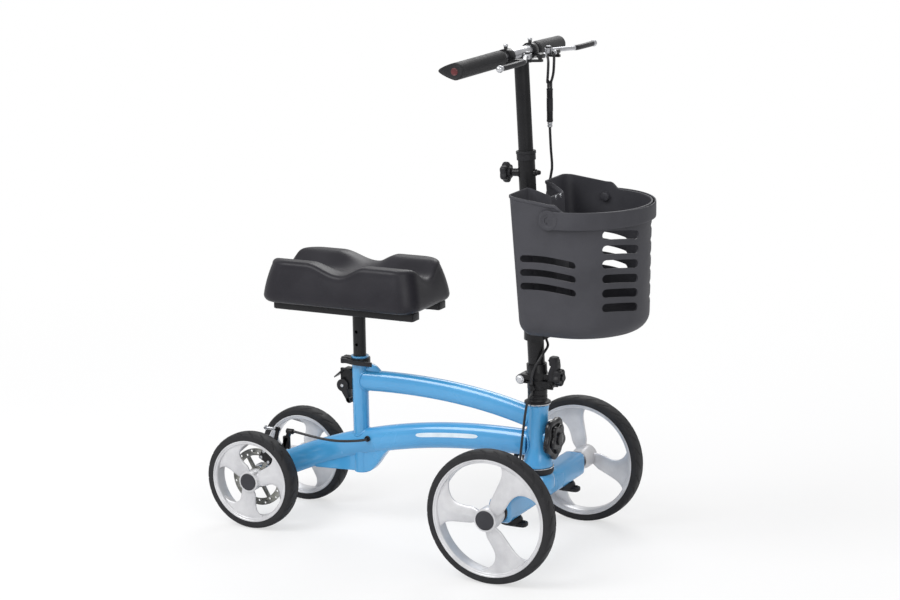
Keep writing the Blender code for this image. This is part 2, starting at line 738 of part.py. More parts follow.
# Points of a rounded oval, across first and then up
def oval(height, width, count=TUBE_SIDES):
    points = []
    for k in range(count):
        a = pi * (2 * k + 1) / count
        u = abs(cos(a)) ** OVAL_POWER * (1 if cos(a) > 0 else -1)
        v = abs(sin(a)) ** OVAL_POWER * (1 if sin(a) > 0 else -1)
        points.append((u * width / 2, v * height / 2))
    return points


# Sections square to a path that lies in the walker's middle plane
def swept(path, section):
    sections = []
    side = Vector((0, 1, 0))
    for k, place in enumerate(path):
        ahead = (path[min(k + 1, len(path) - 1)] - path[max(k - 1, 0)]).normalized()
        up = ahead.cross(side)
        sections.append([place + side * u + up * v for u, v in section])
    return loft(sections)


# A round cord along hand-placed points, read from a smooth curve at even steps
def cable(name, route):
    points = [Vector(place) for place in route]
    ends = [2 * points[0] - points[1]] + points + [2 * points[-1] - points[-2]]
    dense = []
    for k in range(1, len(ends) - 2):
        a, b, c, d = ends[k - 1:k + 3]
        for step in range(CABLE_STEPS):
            t = step / CABLE_STEPS
            dense.append((2 * b + (c - a) * t + (2 * a - 5 * b + 4 * c - d) * t ** 2
                          + (3 * b - a - 3 * c + d) * t ** 3) / 2)
    dense.append(points[-1])
    length = sum((b - a).length for a, b in zip(dense, dense[1:]))
    spans = max(2, round(length / CABLE_PITCH))
    kept = [dense[0]]
    travelled = 0
    for a, b in zip(dense, dense[1:]):
        travelled += (b - a).length
        if travelled >= len(kept) * length / spans and len(kept) < spans:
            kept.append(b)
    kept.append(dense[-1])
    print(name, "length in metres", round(length, 3))
    curve = bpy.data.curves.new(name, "CURVE")
    curve.dimensions = "3D"
    curve.bevel_depth = CABLE_RADIUS
    curve.bevel_resolution = 2
    curve.use_fill_caps = True
    curve.materials.append(finish_material(name, CABLE_SHEATH))
    line = curve.splines.new("POLY")
    line.points.add(len(kept) - 1)
    for point, place in zip(line.points, kept):
        point.co = (*place, 1)
    item = bpy.data.objects.new(name, curve)
    bpy.context.collection.objects.link(item)
    item.parent = bpy.data.objects["knee_walker"]


# A lobed hand knob about Z, its edges drawn in at both faces
def star_knob(radius, lobe_depth, lobes, low, high):
    count = lobes * KNOB_POINTS_PER_LOBE
    ease = (high - low) * KNOB_EASE
    sections = []
    for level, scale in ((low, KNOB_BACK_SCALE), (low + ease, 1), (high - ease, 1), (high, KNOB_FRONT_SCALE)):
        section = []
        for k in range(count):
            a = 2 * pi * k / count
            r = scale * radius * (1 - lobe_depth * (1 - cos(lobes * a)) / 2)
            section.append((r * cos(a), r * sin(a), level))
        sections.append(section)
    return loft(sections)


# A blade of one wheel: it widens, sweeps and drops inwards as it runs from the hub out to the rim
def blade(start, inner, outer, half, hub_reach):
    sections = []
    for k in range(BLADE_SPANS + 1):
        t = k / BLADE_SPANS
        r = inner + (outer - inner) * t
        spread = BLADE_HALF_WIDTH * (BLADE_ROOT_SHARE + (1 - BLADE_ROOT_SHARE) * smoothstep(4 * t)
                                     + BLADE_FLARE * t ** 5)
        middle = start + BLADE_SWEEP * sin(pi * t)
        level = (1 - t) * (hub_reach - BLADE_HUB_DROP) + t * (half - BLADE_RIM_DROP)
        front = [(s, BLADE_THICKNESS / 2 + BLADE_CREASE * (1 - abs(s))) for s in BLADE_STATIONS]
        back = [(s, -BLADE_THICKNESS / 2) for s in reversed(BLADE_STATIONS)]
        section = []
        for share, rise in front + back:
            a = middle + share * spread / r
            section.append((r * cos(a), r * sin(a), level + rise))
        sections.append(section)
    return loft(sections, strip_ends=True)


# The moulded centre of a wheel about Z, outboard side up: barrel rim, hub with its pocket, blades
def wheel_centre(radius, width, hub_radius, hub_reach, turn, steps):
    seat = radius - TYRE_DEPTH
    barrel = seat - RIM_DEPTH
    half = width / 2
    rim = revolve([(barrel + RIM_LIP, -half), (seat, -half), (seat, half), (barrel + RIM_LIP, half),
                   (barrel, half - RIM_LIP), (barrel, RIM_LIP - half)], steps, bored=True)
    bore = AXLE_RADIUS + RUNNING_GAP
    waist = hub_radius - HUB_WAIST
    pocket = hub_radius - HUB_CAP_LIP - HUB_CAP_SHOULDER
    floor = hub_reach - HUB_CAP_PLUG - AXLE_NUT_HEIGHT - 2 * RUNNING_GAP
    hub = revolve([(bore, -HUB_INNER_REACH), (waist, -HUB_INNER_REACH), (hub_radius, 0),
                   (hub_radius, hub_reach), (pocket, hub_reach), (pocket, floor), (bore, floor)],
                  HUB_STEPS, bored=True)
    blades = []
    for number in range(BLADE_COUNT):
        start = turn + 2 * pi * number / BLADE_COUNT
        blades.append(blade(start, waist - BLADE_ROOT, barrel + BLADE_ROOT, half, hub_reach))
    return fused(gathered(rim, hub), gathered(*blades))


def tyre(radius, width, steps):
    half = width / 2
    seat = radius - TYRE_DEPTH + SEAT_GAP
    shoulder = radius - TYRE_DEPTH * TYRE_SHOULDER
    crown = radius - TYRE_DEPTH * TYRE_CROWN
    edge = half * TYRE_CROWN_SHARE
    tread = half * TYRE_TREAD_SHARE
    return revolve([(seat, -half), (shoulder, -half), (crown, -edge), (radius, -tread),
                    (radius, tread), (crown, edge), (shoulder, half), (seat, half)],
                   steps, bored=True)


# The cover pressed into the hub's pocket
def hub_cap(hub_radius, hub_reach):
    cap = hub_radius - HUB_CAP_LIP
    plug = cap - HUB_CAP_SHOULDER - SEAT_GAP
    face = hub_reach + SEAT_GAP
    return revolve([(0, hub_reach - HUB_CAP_PLUG), (plug, hub_reach - HUB_CAP_PLUG), (plug, face),
                    (cap, face), (cap, face + HUB_CAP_RISE / 2), (cap - HUB_CAP_RISE, face + HUB_CAP_RISE),
                    (0, face + HUB_CAP_RISE)], HUB_STEPS)


def make_wheel(where, x, axle_z, side, track, radius, width, hub_radius, hub_reach, turn, steps):
    outboard = Matrix.Rotation(-side * pi / 2, 4, "X")
    stand = at(x, side * track / 2, axle_z) @ outboard
    pivot = (x, side * track / 2, axle_z)
    centre = wheel_centre(radius, width, hub_radius, hub_reach, -side * turn, steps)
    piece("wheel_" + where, placed(centre, stand), SILVER_RESIN, pivot)
    piece("tyre_" + where, placed(tyre(radius, width, steps), stand), TYRE_RUBBER, pivot)
    piece("hub_cap_" + where, placed(hub_cap(hub_radius, hub_reach), stand), BLACK_PLASTIC, pivot)


def make_wheels():
    front = (FRONT_TRACK, FRONT_WHEEL_RADIUS, FRONT_TYRE_WIDTH, FRONT_HUB_RADIUS, FRONT_HUB_REACH)
    rear = (REAR_TRACK, REAR_WHEEL_RADIUS, REAR_TYRE_WIDTH, REAR_HUB_RADIUS, REAR_HUB_REACH)
    make_wheel("front_right", WHEELBASE, FRONT_AXLE_Z, -1, *front, FRONT_NEAR_TURN, FRONT_WHEEL_STEPS)
    make_wheel("front_left", WHEELBASE, FRONT_AXLE_Z, 1, *front, FRONT_FAR_TURN, FRONT_WHEEL_STEPS)
    make_wheel("rear_right", 0, REAR_AXLE_Z, -1, *rear, REAR_NEAR_TURN, REAR_WHEEL_STEPS)
    make_wheel("rear_left", 0, REAR_AXLE_Z, 1, *rear, REAR_FAR_TURN, REAR_WHEEL_STEPS)


# Slotted steel disc on the inner face of the right rear hub
def make_rotor():
    band = sleeve(ROTOR_RADIUS - ROTOR_BAND, ROTOR_RADIUS, 0, ROTOR_THICKNESS, REAR_WHEEL_STEPS)
    hub = sleeve(AXLE_RADIUS + RUNNING_GAP, ROTOR_HUB_RADIUS, 0, ROTOR_THICKNESS)
    spokes = []
    for number in range(ROTOR_SPOKES):
        spoke = box((ROTOR_HUB_RADIUS - OVERLAP, ROTOR_RADIUS - ROTOR_BAND + OVERLAP),
                    (-ROTOR_SPOKE_WIDTH / 2, ROTOR_SPOKE_WIDTH / 2), (0, ROTOR_THICKNESS))
        spokes.append(placed(spoke, Matrix.Rotation(2 * pi * number / ROTOR_SPOKES, 4, "Z")))
    holes = []
    for number in range(ROTOR_HOLES):
        hole = cylinder(ROTOR_HOLE_RADIUS, -OVERLAP, ROTOR_THICKNESS + OVERLAP, 6)
        hole.transform(Matrix.Diagonal((ROTOR_HOLE_STRETCH, 1, 1, 1)))
        out = ROTOR_RADIUS - ROTOR_BAND / 2
        holes.append(placed(hole, Matrix.Rotation(2 * pi * number / ROTOR_HOLES, 4, "Z") @ at(out, 0, 0)))
    disc = cut(fused(gathered(band, hub), gathered(*spokes)), gathered(*holes))
    stand = at(0, -ROTOR_OUTER_Y, REAR_AXLE_Z) @ TO_Y
    piece("brake_rotor", placed(disc, stand), DARK_STEEL, (0, -REAR_TRACK / 2, REAR_AXLE_Z))


# Through rod of the rear wheels with a nut at each end
def make_rear_axle():
    floor = REAR_HUB_REACH - HUB_CAP_PLUG - AXLE_NUT_HEIGHT - RUNNING_GAP
    nut_start = REAR_TRACK / 2 + floor
    nut_end = nut_start + AXLE_NUT_HEIGHT
    rod = cylinder(AXLE_RADIUS, -nut_end, nut_end)
    nuts = [cylinder(AXLE_NUT_RADIUS, low, low + AXLE_NUT_HEIGHT, 6) for low in (nut_start, -nut_end)]
    axle = fused(rod, gathered(*nuts))
    piece("rear_axle", placed(axle, at(0, 0, REAR_AXLE_Z) @ TO_Y), BRIGHT_STEEL, (0, 0, REAR_AXLE_Z))


def lower_tube_point(t):
    head = HEAD_BOTTOM_Z + LOWER_TUBE_HEAD_RISE
    return Vector((bend(0, LOWER_TUBE_CREST_X, WHEELBASE, t), 0,
                   bend(REAR_AXLE_Z, LOWER_TUBE_CREST_Z, head, t)))


def top_tube_point(t):
    rear = SEAT_TUBE_TOP_Z - TOP_TUBE_SEAT_DROP
    head = HEAD_TOP_Z - TOP_TUBE_HEAD_DROP
    return Vector((bend(SEAT_TUBE_X, TOP_TUBE_CREST_X, WHEELBASE, t), 0,
                   bend(rear, TOP_TUBE_CREST_Z, head, t)))


def lower_tube_under(x):
    t = x / WHEELBASE
    for _ in range(TUBE_SPANS):
        t += (x - lower_tube_point(t).x) / WHEELBASE
    return lower_tube_point(t).z - LOWER_TUBE_HEIGHT / 2


# Flared head tube, steered in at its foot and widened again for the upper cup
def head_tube():
    foot = HEAD_BOTTOM_Z
    top = HEAD_TOP_Z
    neck = HEAD_TUBE_TOP_RADIUS + (HEAD_TUBE_FOOT_RADIUS - HEAD_TUBE_TOP_RADIUS) * HEAD_FLARE_SHARE
    return placed(revolve([(0, foot), (HEAD_TUBE_FOOT_RADIUS, foot),
                           (HEAD_TUBE_FOOT_RADIUS, foot + HEAD_FOOT_HEIGHT),
                           (neck, foot + HEAD_FLARE_HEIGHT), (HEAD_TUBE_TOP_RADIUS, top - HEAD_FOOT_HEIGHT),
                           (HEAD_TUBE_TOP_RADIUS, top), (0, top)], 20), at(WHEELBASE, 0, 0))


def frame_gussets():
    rear = SEAT_TUBE_X - GUSSET_REAR_REACH
    front = SEAT_TUBE_X + GUSSET_FRONT_REACH
    low = SEAT_TUBE_BOTTOM_Z + GUSSET_LIFT
    under = [(rear, lower_tube_under(rear) + GUSSET_SINK)]
    under.append((rear + GUSSET_SINK, lower_tube_under(rear) - GUSSET_LIFT / 2))
    under.append((SEAT_TUBE_X + SEAT_TUBE_RADIUS, low))
    start = SEAT_TUBE_X + SEAT_TUBE_RADIUS
    for k in range(1, GUSSET_SPANS + 1):
        t = k / GUSSET_SPANS
        end = lower_tube_under(front) + GUSSET_SINK
        under.append((start + (front - start) * t, low + (end - low) * smoothstep(t)))
    under.append((SEAT_TUBE_X, lower_tube_under(SEAT_TUBE_X) + GUSSET_SINK))
    lower = placed(prism(under, -GUSSET_WIDTH / 2, GUSSET_WIDTH / 2), SIDE_VIEW)
    crest = SEAT_TUBE_TOP_Z - TOP_TUBE_SEAT_DROP + TOP_TUBE_HEIGHT / 2
    clamp_edge = SEAT_TUBE_X + SEAT_TUBE_RADIUS + CLAMP_WALL + 3 * SEAT_GAP
    clamp_foot = CLAMP_TOP_Z - CLAMP_HEIGHT - SEAT_GAP
    upper_outline = [(SEAT_TUBE_X, crest - GUSSET_SINK), (SEAT_TUBE_X + TOP_GUSSET_REACH, crest - GUSSET_SINK)]
    for along, rise in TOP_GUSSET_FALL:
        upper_outline.append((SEAT_TUBE_X + TOP_GUSSET_REACH * along, crest + TOP_GUSSET_RISE * rise))
    upper_outline += [(clamp_edge, crest + TOP_GUSSET_RISE), (clamp_edge, clamp_foot), (SEAT_TUBE_X, clamp_foot)]
    upper = placed(prism(upper_outline, -TOP_GUSSET_WIDTH / 2, TOP_GUSSET_WIDTH / 2), SIDE_VIEW)
    return gathered(lower, upper)


# The blue weldment: two curved tubes, seat tube, head tube, rear axle tube and gussets
def make_main_frame():
    last = 1 - HEAD_BORE_RADIUS / WHEELBASE
    lower = swept([lower_tube_point(LOWER_TUBE_START + (last - LOWER_TUBE_START) * k / TUBE_SPANS)
                   for k in range(TUBE_SPANS + 1)], oval(LOWER_TUBE_HEIGHT, LOWER_TUBE_WIDTH))
    top = swept([top_tube_point(last * k / TUBE_SPANS) for k in range(TUBE_SPANS + 1)],
                oval(TOP_TUBE_HEIGHT, TOP_TUBE_WIDTH))
    lip = SEAT_TUBE_RADIUS + SEAT_TUBE_LIP
    seat = revolve([(0, SEAT_TUBE_BOTTOM_Z), (SEAT_TUBE_RADIUS, SEAT_TUBE_BOTTOM_Z),
                    (SEAT_TUBE_RADIUS, CLAMP_TOP_Z + SEAT_GAP), (lip, CLAMP_TOP_Z + SEAT_GAP),
                    (lip, SEAT_TUBE_TOP_Z), (0, SEAT_TUBE_TOP_Z)], 16)
    seat.transform(at(SEAT_TUBE_X, 0, 0))
    axle = placed(cylinder(REAR_AXLE_TUBE_RADIUS, -AXLE_TUBE_END_Y, AXLE_TUBE_END_Y, 16),
                  at(0, 0, REAR_AXLE_Z) @ TO_Y)
    boss = placed(cylinder(STEER_BOSS_RADIUS, 0, STEER_BOSS_REACH), at(WHEELBASE, 0, STEER_KNOB_Z) @ TO_X)
    frame = fused(lower, top, seat, head_tube(), axle, frame_gussets(), boss)
    post_bore = cylinder(POST_RADIUS + SEAT_GAP, SEAT_TUBE_BOTTOM_Z - OVERLAP, SEAT_TUBE_TOP_Z + OVERLAP, 16)
    post_bore.transform(at(SEAT_TUBE_X, 0, 0))
    head_bore = cylinder(HEAD_BORE_RADIUS, HEAD_BOTTOM_Z - OVERLAP, HEAD_TOP_Z + OVERLAP, 16)
    head_bore.transform(at(WHEELBASE, 0, 0))
    axle_bore = placed(cylinder(AXLE_RADIUS + SEAT_GAP, -AXLE_TUBE_END_Y - OVERLAP, AXLE_TUBE_END_Y + OVERLAP),
                       at(0, 0, REAR_AXLE_Z) @ TO_Y)
    stud_bore = placed(cylinder(STEER_STUD_RADIUS + SEAT_GAP, 0, STEER_BOSS_REACH + OVERLAP, 12),
                       at(WHEELBASE, 0, STEER_KNOB_Z) @ TO_X)
    frame = cut(frame, gathered(post_bore, axle_bore), head_bore, stud_bore)
    piece("main_frame", frame, BLUE_PAINT)


def make_headset():
    hole = STEERER_RADIUS + RUNNING_GAP
    low = BEAM_TOP_Z + SEAT_GAP
    lower = revolve([(hole, low), (LOWER_CUP_RADIUS - CUP_WALL, low), (LOWER_CUP_RADIUS, low + CUP_WALL),
                     (LOWER_CUP_RADIUS, low + LOWER_CUP_HEIGHT), (hole, low + LOWER_CUP_HEIGHT)], 16, bored=True)
    piece("headset_lower_cup", placed(lower, at(WHEELBASE, 0, 0)), BLACK_PLASTIC, (WHEELBASE, 0, low))
    base = HEAD_TOP_Z + SEAT_GAP
    upper = revolve([(hole, base), (UPPER_CUP_RADIUS - CUP_WALL, base), (UPPER_CUP_RADIUS, base + UPPER_CUP_BRIM),
                     (UPPER_CUP_RADIUS, base + UPPER_CUP_BRIM + CUP_WALL / 2),
                     (LOCK_NUT_RADIUS, base + UPPER_CUP_BRIM + CUP_WALL), (LOCK_NUT_RADIUS, UPPER_CUP_TOP_Z),
                     (hole, UPPER_CUP_TOP_Z)], 16, bored=True)
    piece("headset_upper_cup", placed(upper, at(WHEELBASE, 0, 0)), BLACK_PLASTIC, (WHEELBASE, 0, base))
    start = UPPER_CUP_TOP_Z + SEAT_GAP
    nut = sleeve(STEERER_RADIUS + SEAT_GAP, LOCK_NUT_RADIUS, start, LOCK_NUT_TOP_Z, 16)
    piece("headset_lock_nut", placed(nut, at(WHEELBASE, 0, 0)), BLACK_PAINT, (WHEELBASE, 0, start))


# Hand knob whose stud bears through the front of the head tube
def make_steering_knob():
    face = STEER_BOSS_REACH + SEAT_GAP
    knob = star_knob(STEER_KNOB_RADIUS, STEER_KNOB_LOBE_DEPTH, STEER_KNOB_LOBES, face, face + STEER_KNOB_DEPTH)
    hub = cylinder(STEER_BOSS_RADIUS, face + SEAT_GAP, face + STEER_KNOB_DEPTH + STEER_KNOB_HUB_RISE)
    stud = cylinder(STEER_STUD_RADIUS, HEAD_BORE_RADIUS, face + STEER_KNOB_DEPTH / 2, 12)
    solid = fused(knob, hub, stud)
    place = at(WHEELBASE, 0, STEER_KNOB_Z)
    piece("steering_lock_knob", placed(solid, place @ TO_X), BLACK_PLASTIC, (WHEELBASE, 0, STEER_KNOB_Z))


def beam_section(y, scale):
    half_x = BEAM_DEPTH / 2 * scale
    half_z = BEAM_HEIGHT / 2 * scale
    c = BEAM_CORNER
    corners = [(half_x - c, -half_z), (half_x, c - half_z), (half_x, half_z - c), (half_x - c, half_z),
               (c - half_x, half_z), (-half_x, half_z - c), (-half_x, c - half_z), (c - half_x, -half_z)]
    return [(WHEELBASE + x, y, FRONT_AXLE_Z + z) for x, z in corners]


# Blue cross beam with the steerer welded to its crown
def make_front_beam():
    end = BEAM_END_Y
    full = end - BEAM_END_TAPER
    stations = [(-end, BEAM_END_SCALE), (-full, 1), (full, 1), (end, BEAM_END_SCALE)]
    beam = loft([beam_section(y, scale) for y, scale in stations])
    crown = revolve([(0, FRONT_AXLE_Z), (BEAM_CROWN_RADIUS + BEAM_CROWN_RISE, FRONT_AXLE_Z),
                     (BEAM_CROWN_RADIUS + BEAM_CROWN_RISE, FRONT_AXLE_Z + BEAM_HEIGHT / 2 - BEAM_CORNER / 2),
                     (BEAM_CROWN_RADIUS, BEAM_TOP_Z), (STEERER_RADIUS, BEAM_TOP_Z),
                     (STEERER_RADIUS, STEERER_TOP_Z), (0, STEERER_TOP_Z)], 16)
    beam = fused(beam, placed(crown, at(WHEELBASE, 0, 0)))
    deep = end - AXLE_SOCKET_DEPTH
    holes = [placed(cylinder(AXLE_RADIUS + SEAT_GAP, low, high, 12), at(WHEELBASE, 0, FRONT_AXLE_Z) @ TO_Y)
             for low, high in ((deep, end + OVERLAP), (-end - OVERLAP, -deep))]
    for side in (-1, 1):
        hole = cylinder(RELEASE_STEM_RADIUS + RUNNING_GAP, BEAM_BOTTOM_Z - OVERLAP,
                        BEAM_BOTTOM_Z + RELEASE_SOCKET_DEPTH, 12)
        holes.append(placed(hole, at(WHEELBASE, side * RELEASE_Y, 0)))
    beam = cut(beam, gathered(*holes))
    piece("front_axle_beam", beam, BLUE_PAINT, (WHEELBASE, 0, FRONT_AXLE_Z))


# Stub axle with the black sleeve that closes the beam's end, and the wheel nut
def make_front_axles():
    floor = FRONT_HUB_REACH - HUB_CAP_PLUG - AXLE_NUT_HEIGHT - RUNNING_GAP
    nut = FRONT_TRACK / 2 + floor
    for side, name in ((-1, "front_axle_right"), (1, "front_axle_left")):
        stub = cylinder(AXLE_RADIUS, BEAM_END_Y - AXLE_SOCKET_DEPTH + SEAT_GAP, nut + AXLE_NUT_HEIGHT, 12)
        flange = revolve([(0, BEAM_END_Y + SEAT_GAP), (BEAM_SLEEVE_RADIUS, BEAM_END_Y + SEAT_GAP),
                          (BEAM_SLEEVE_RADIUS, SLEEVE_END_Y - BEAM_SLEEVE_LENGTH / 2),
                          (BEAM_SLEEVE_NOSE_RADIUS, SLEEVE_END_Y), (0, SLEEVE_END_Y)], 16)
        head = cylinder(AXLE_NUT_RADIUS, nut, nut + AXLE_NUT_HEIGHT, 6)
        axle = fused(stub, gathered(flange, head))
        axle = on_side(placed(axle, TO_Y), side)
        piece(name, placed(axle, at(WHEELBASE, 0, FRONT_AXLE_Z)), BLACK_PAINT,
              (WHEELBASE, side * FRONT_TRACK / 2, FRONT_AXLE_Z))


# Pull-down releases under the beam that free the stub axles
def make_releases():
    for side, name in ((-1, "axle_release_right"), (1, "axle_release_left")):
        face = BEAM_BOTTOM_Z - SEAT_GAP
        knob = cylinder(RELEASE_KNOB_RADIUS, face - RELEASE_KNOB_HEIGHT, face)
        stem = cylinder(RELEASE_STEM_RADIUS, face - RELEASE_KNOB_HEIGHT / 2,
                        BEAM_BOTTOM_Z + RELEASE_SOCKET_DEPTH - SEAT_GAP, 12)
        paddle = eased(box((0, RELEASE_PADDLE_REACH), (-RELEASE_PADDLE_WIDTH / 2, RELEASE_PADDLE_WIDTH / 2),
                           (face - RELEASE_KNOB_HEIGHT - RELEASE_PADDLE_HEIGHT / 2,
                            face - RELEASE_KNOB_HEIGHT + RELEASE_PADDLE_HEIGHT / 2)), RELEASE_PADDLE_HEIGHT / 4)
        solid = fused(knob, stem, paddle)
        piece(name, placed(solid, at(WHEELBASE, side * RELEASE_Y, 0)), BLACK_PLASTIC,
              (WHEELBASE, side * RELEASE_Y, BEAM_BOTTOM_Z))


def knuckle(radius, low, high):
    return placed(cylinder(radius, low, high), Matrix.Translation(FOLD_PIN) @ TO_Y)


def cable_lug(x, y, low):
    high = low + CABLE_LUG_HEIGHT
    return placed(cylinder(CABLE_LUG_RADIUS, low, high, 12), at(x, y, 0))


def cable_lug_bore(x, y, low):
    bore = cylinder(CABLE_RADIUS + RUNNING_GAP, low - OVERLAP, low + CABLE_LUG_HEIGHT + OVERLAP, 12)
    return placed(bore, at(x, y, 0))


# Lower half of the fold: a block clamped on the steerer, the middle knuckle and the latch ears
def make_fold_base():
    top = FOLD_Z - FOLD_SPLIT / 2
    block = placed(cylinder(FOLD_BLOCK_RADIUS, FOLD_BASE_BOTTOM_Z, top, 16), at(WHEELBASE, 0, 0))
    web = box((FOLD_X, WHEELBASE), (-FOLD_KNUCKLE_HALF, FOLD_KNUCKLE_HALF), (FOLD_Z - FOLD_KNUCKLE_RADIUS, top))
    middle = knuckle(FOLD_KNUCKLE_RADIUS, -FOLD_KNUCKLE_HALF, FOLD_KNUCKLE_HALF)
    ear_out = LATCH_HALF + SEAT_GAP + LATCH_CHEEK
    ears = box((WHEELBASE, LATCH_X + LATCH_EAR_RADIUS), (-ear_out, ear_out),
               (LATCH_Z - LATCH_EAR_RADIUS, top - OVERLAP))
    body = fused(block, web, middle, ears, cable_lug(*BASE_LUG))
    side = FOLD_KNUCKLE_HALF + RUNNING_GAP
    far = side + FOLD_EAR_THICKNESS + RUNNING_GAP
    reach = FOLD_KNUCKLE_RADIUS + RUNNING_GAP
    clearances = gathered(knuckle(reach, FOLD_KNUCKLE_HALF, far), knuckle(reach, -far, -FOLD_KNUCKLE_HALF))
    slot = box((LATCH_X - LATCH_SWING, LATCH_X + LATCH_SWING), (-LATCH_HALF - SEAT_GAP, LATCH_HALF + SEAT_GAP),
               (FOLD_BASE_BOTTOM_Z - OVERLAP, FOLD_Z))
    pin_bores = gathered(knuckle(FOLD_PIN_RADIUS + SEAT_GAP, -far, far),
                         placed(cylinder(LATCH_PIN_RADIUS + SEAT_GAP, -ear_out - OVERLAP, ear_out + OVERLAP, 12),
                                at(LATCH_X, 0, LATCH_Z) @ TO_Y))
    socket = cylinder(STEERER_RADIUS + SEAT_GAP, FOLD_BASE_BOTTOM_Z - OVERLAP, STEERER_TOP_Z + SEAT_GAP, 16)
    socket.transform(at(WHEELBASE, 0, 0))
    body = cut(body, clearances, gathered(slot, socket), pin_bores, cable_lug_bore(*BASE_LUG))
    piece("fold_base", body, BLACK_PAINT, FOLD_PIN)


# Upper half of the fold: two outer knuckles, a socket for the column and the nose the latch holds
def make_fold_yoke():
    low = FOLD_Z + FOLD_SPLIT / 2
    foot = placed(cylinder(FOLD_BLOCK_RADIUS, low, FOLD_Z + FOLD_YOKE_HEIGHT / 2, 16), at(WHEELBASE, 0, 0))
    neck = placed(cylinder(FOLD_BLOCK_RADIUS, COLUMN_FOOT, FOLD_YOKE_HEIGHT, 16), COLUMN_FRAME)
    side = FOLD_KNUCKLE_HALF + RUNNING_GAP
    far = side + FOLD_EAR_THICKNESS
    spans = ((side, far), (-far, -side))
    webs = [box((FOLD_X, WHEELBASE), span, (low, FOLD_Z + FOLD_KNUCKLE_RADIUS)) for span in spans]
    ears = [knuckle(FOLD_KNUCKLE_RADIUS, *span) for span in spans]
    nose = box((WHEELBASE, LATCH_X - LATCH_FACE), (-LATCH_HALF, LATCH_HALF),
               (low + OVERLAP, FOLD_Z + LATCH_NOSE_HEIGHT))
    body = fused(foot, neck, gathered(*webs), gathered(*ears), nose)
    clearance = knuckle(FOLD_KNUCKLE_RADIUS + RUNNING_GAP, -side, side)
    socket = placed(cylinder(COLUMN_RADIUS + SEAT_GAP, COLUMN_FOOT - SEAT_GAP, FOLD_YOKE_HEIGHT + OVERLAP, 16),
                    COLUMN_FRAME)
    pin = knuckle(FOLD_PIN_RADIUS + SEAT_GAP, -far - OVERLAP, far + OVERLAP)
    body = cut(body, clearance, gathered(socket, pin))
    piece("fold_yoke", body, BLACK_PAINT, FOLD_PIN)


def make_fold_pin():
    far = FOLD_KNUCKLE_HALF + RUNNING_GAP + FOLD_EAR_THICKNESS + SEAT_GAP
    low = -far - FOLD_PIN_HEAD_HEIGHT
    pin = revolve([(0, low), (FOLD_PIN_HEAD_RADIUS, low), (FOLD_PIN_HEAD_RADIUS, -far), (FOLD_PIN_RADIUS, -far),
                   (FOLD_PIN_RADIUS, far), (FOLD_PIN_HEAD_RADIUS, far), (FOLD_PIN_HEAD_RADIUS, -low), (0, -low)], 12)
    piece("fold_pin", placed(pin, Matrix.Translation(FOLD_PIN) @ TO_Y), BRIGHT_STEEL, FOLD_PIN)


# Latch lever between the front ears; it stands against the yoke's nose and swings forward
def make_fold_latch():
    half = LATCH_HALF - SEAT_GAP
    back = LATCH_X - LATCH_FACE + SEAT_GAP
    front = back + LATCH_HANDLE_THICKNESS
    top = FOLD_Z + LATCH_HOOK_RISE
    handle = LATCH_HANDLE_LENGTH
    kink_out, kink_rise = LATCH_HOOK_KINK
    tip_out, belly_out = LATCH_BELLY
    outline = [(back, LATCH_Z), (back, top), (back + handle * kink_out, top + handle * kink_rise),
               (back, top + handle * LATCH_TIP_RISE),
               (back + LATCH_HANDLE_THICKNESS * LATCH_TIP_SHARE, top + handle),
               (front + handle * tip_out, top + handle * LATCH_TIP_RISE),
               (front + handle * belly_out, top + handle * LATCH_BELLY_RISE),
               (front + LATCH_EAR_RADIUS, FOLD_Z), (front + OVERLAP, LATCH_Z)]
    arm = placed(prism(outline, -half, half), SIDE_VIEW)
    eye = placed(cylinder(LATCH_EAR_RADIUS - RUNNING_GAP, -half, half), at(LATCH_X, 0, LATCH_Z) @ TO_Y)
    pin_reach = LATCH_HALF + LATCH_CHEEK
    pin = placed(cylinder(LATCH_PIN_RADIUS, -pin_reach, pin_reach, 12), at(LATCH_X, 0, LATCH_Z) @ TO_Y)
    piece("fold_latch", fused(arm, eye, pin), BLACK_PLASTIC, (LATCH_X, 0, LATCH_Z))


# Outer steering column, with the boss of the height knob behind and its blind end in front
def make_column():
    bore = STEM_RADIUS + SEAT_GAP
    across = at(0, 0, HEIGHT_BOLT_RISE) @ TO_REAR
    dome = -COLUMN_RADIUS - DOME_LENGTH
    boss_end = COLUMN_RADIUS + HEIGHT_BOSS_LENGTH
    boss = revolve([(0, dome), (DOME_RADIUS * DOME_FACE_SHARE, dome),
                    (DOME_RADIUS, dome + DOME_RADIUS / 2), (DOME_RADIUS, 0),
                    (HEIGHT_BOSS_RADIUS, 0), (HEIGHT_BOSS_RADIUS, boss_end), (0, boss_end)], 12)
    tube = fused(cylinder(COLUMN_RADIUS, COLUMN_FOOT, COLUMN_TOP, 16), placed(boss, across))
    hollow = cylinder(bore, COLUMN_FOOT - OVERLAP, COLUMN_TOP + OVERLAP, 16)
    hole = placed(cylinder(HEIGHT_STUD_RADIUS + SEAT_GAP, 0, boss_end + OVERLAP, 12), across)
    tube = cut(tube, hollow, hole)
    piece("column_tube", placed(tube, COLUMN_FRAME), BLACK_PAINT, FOLD_PIN)


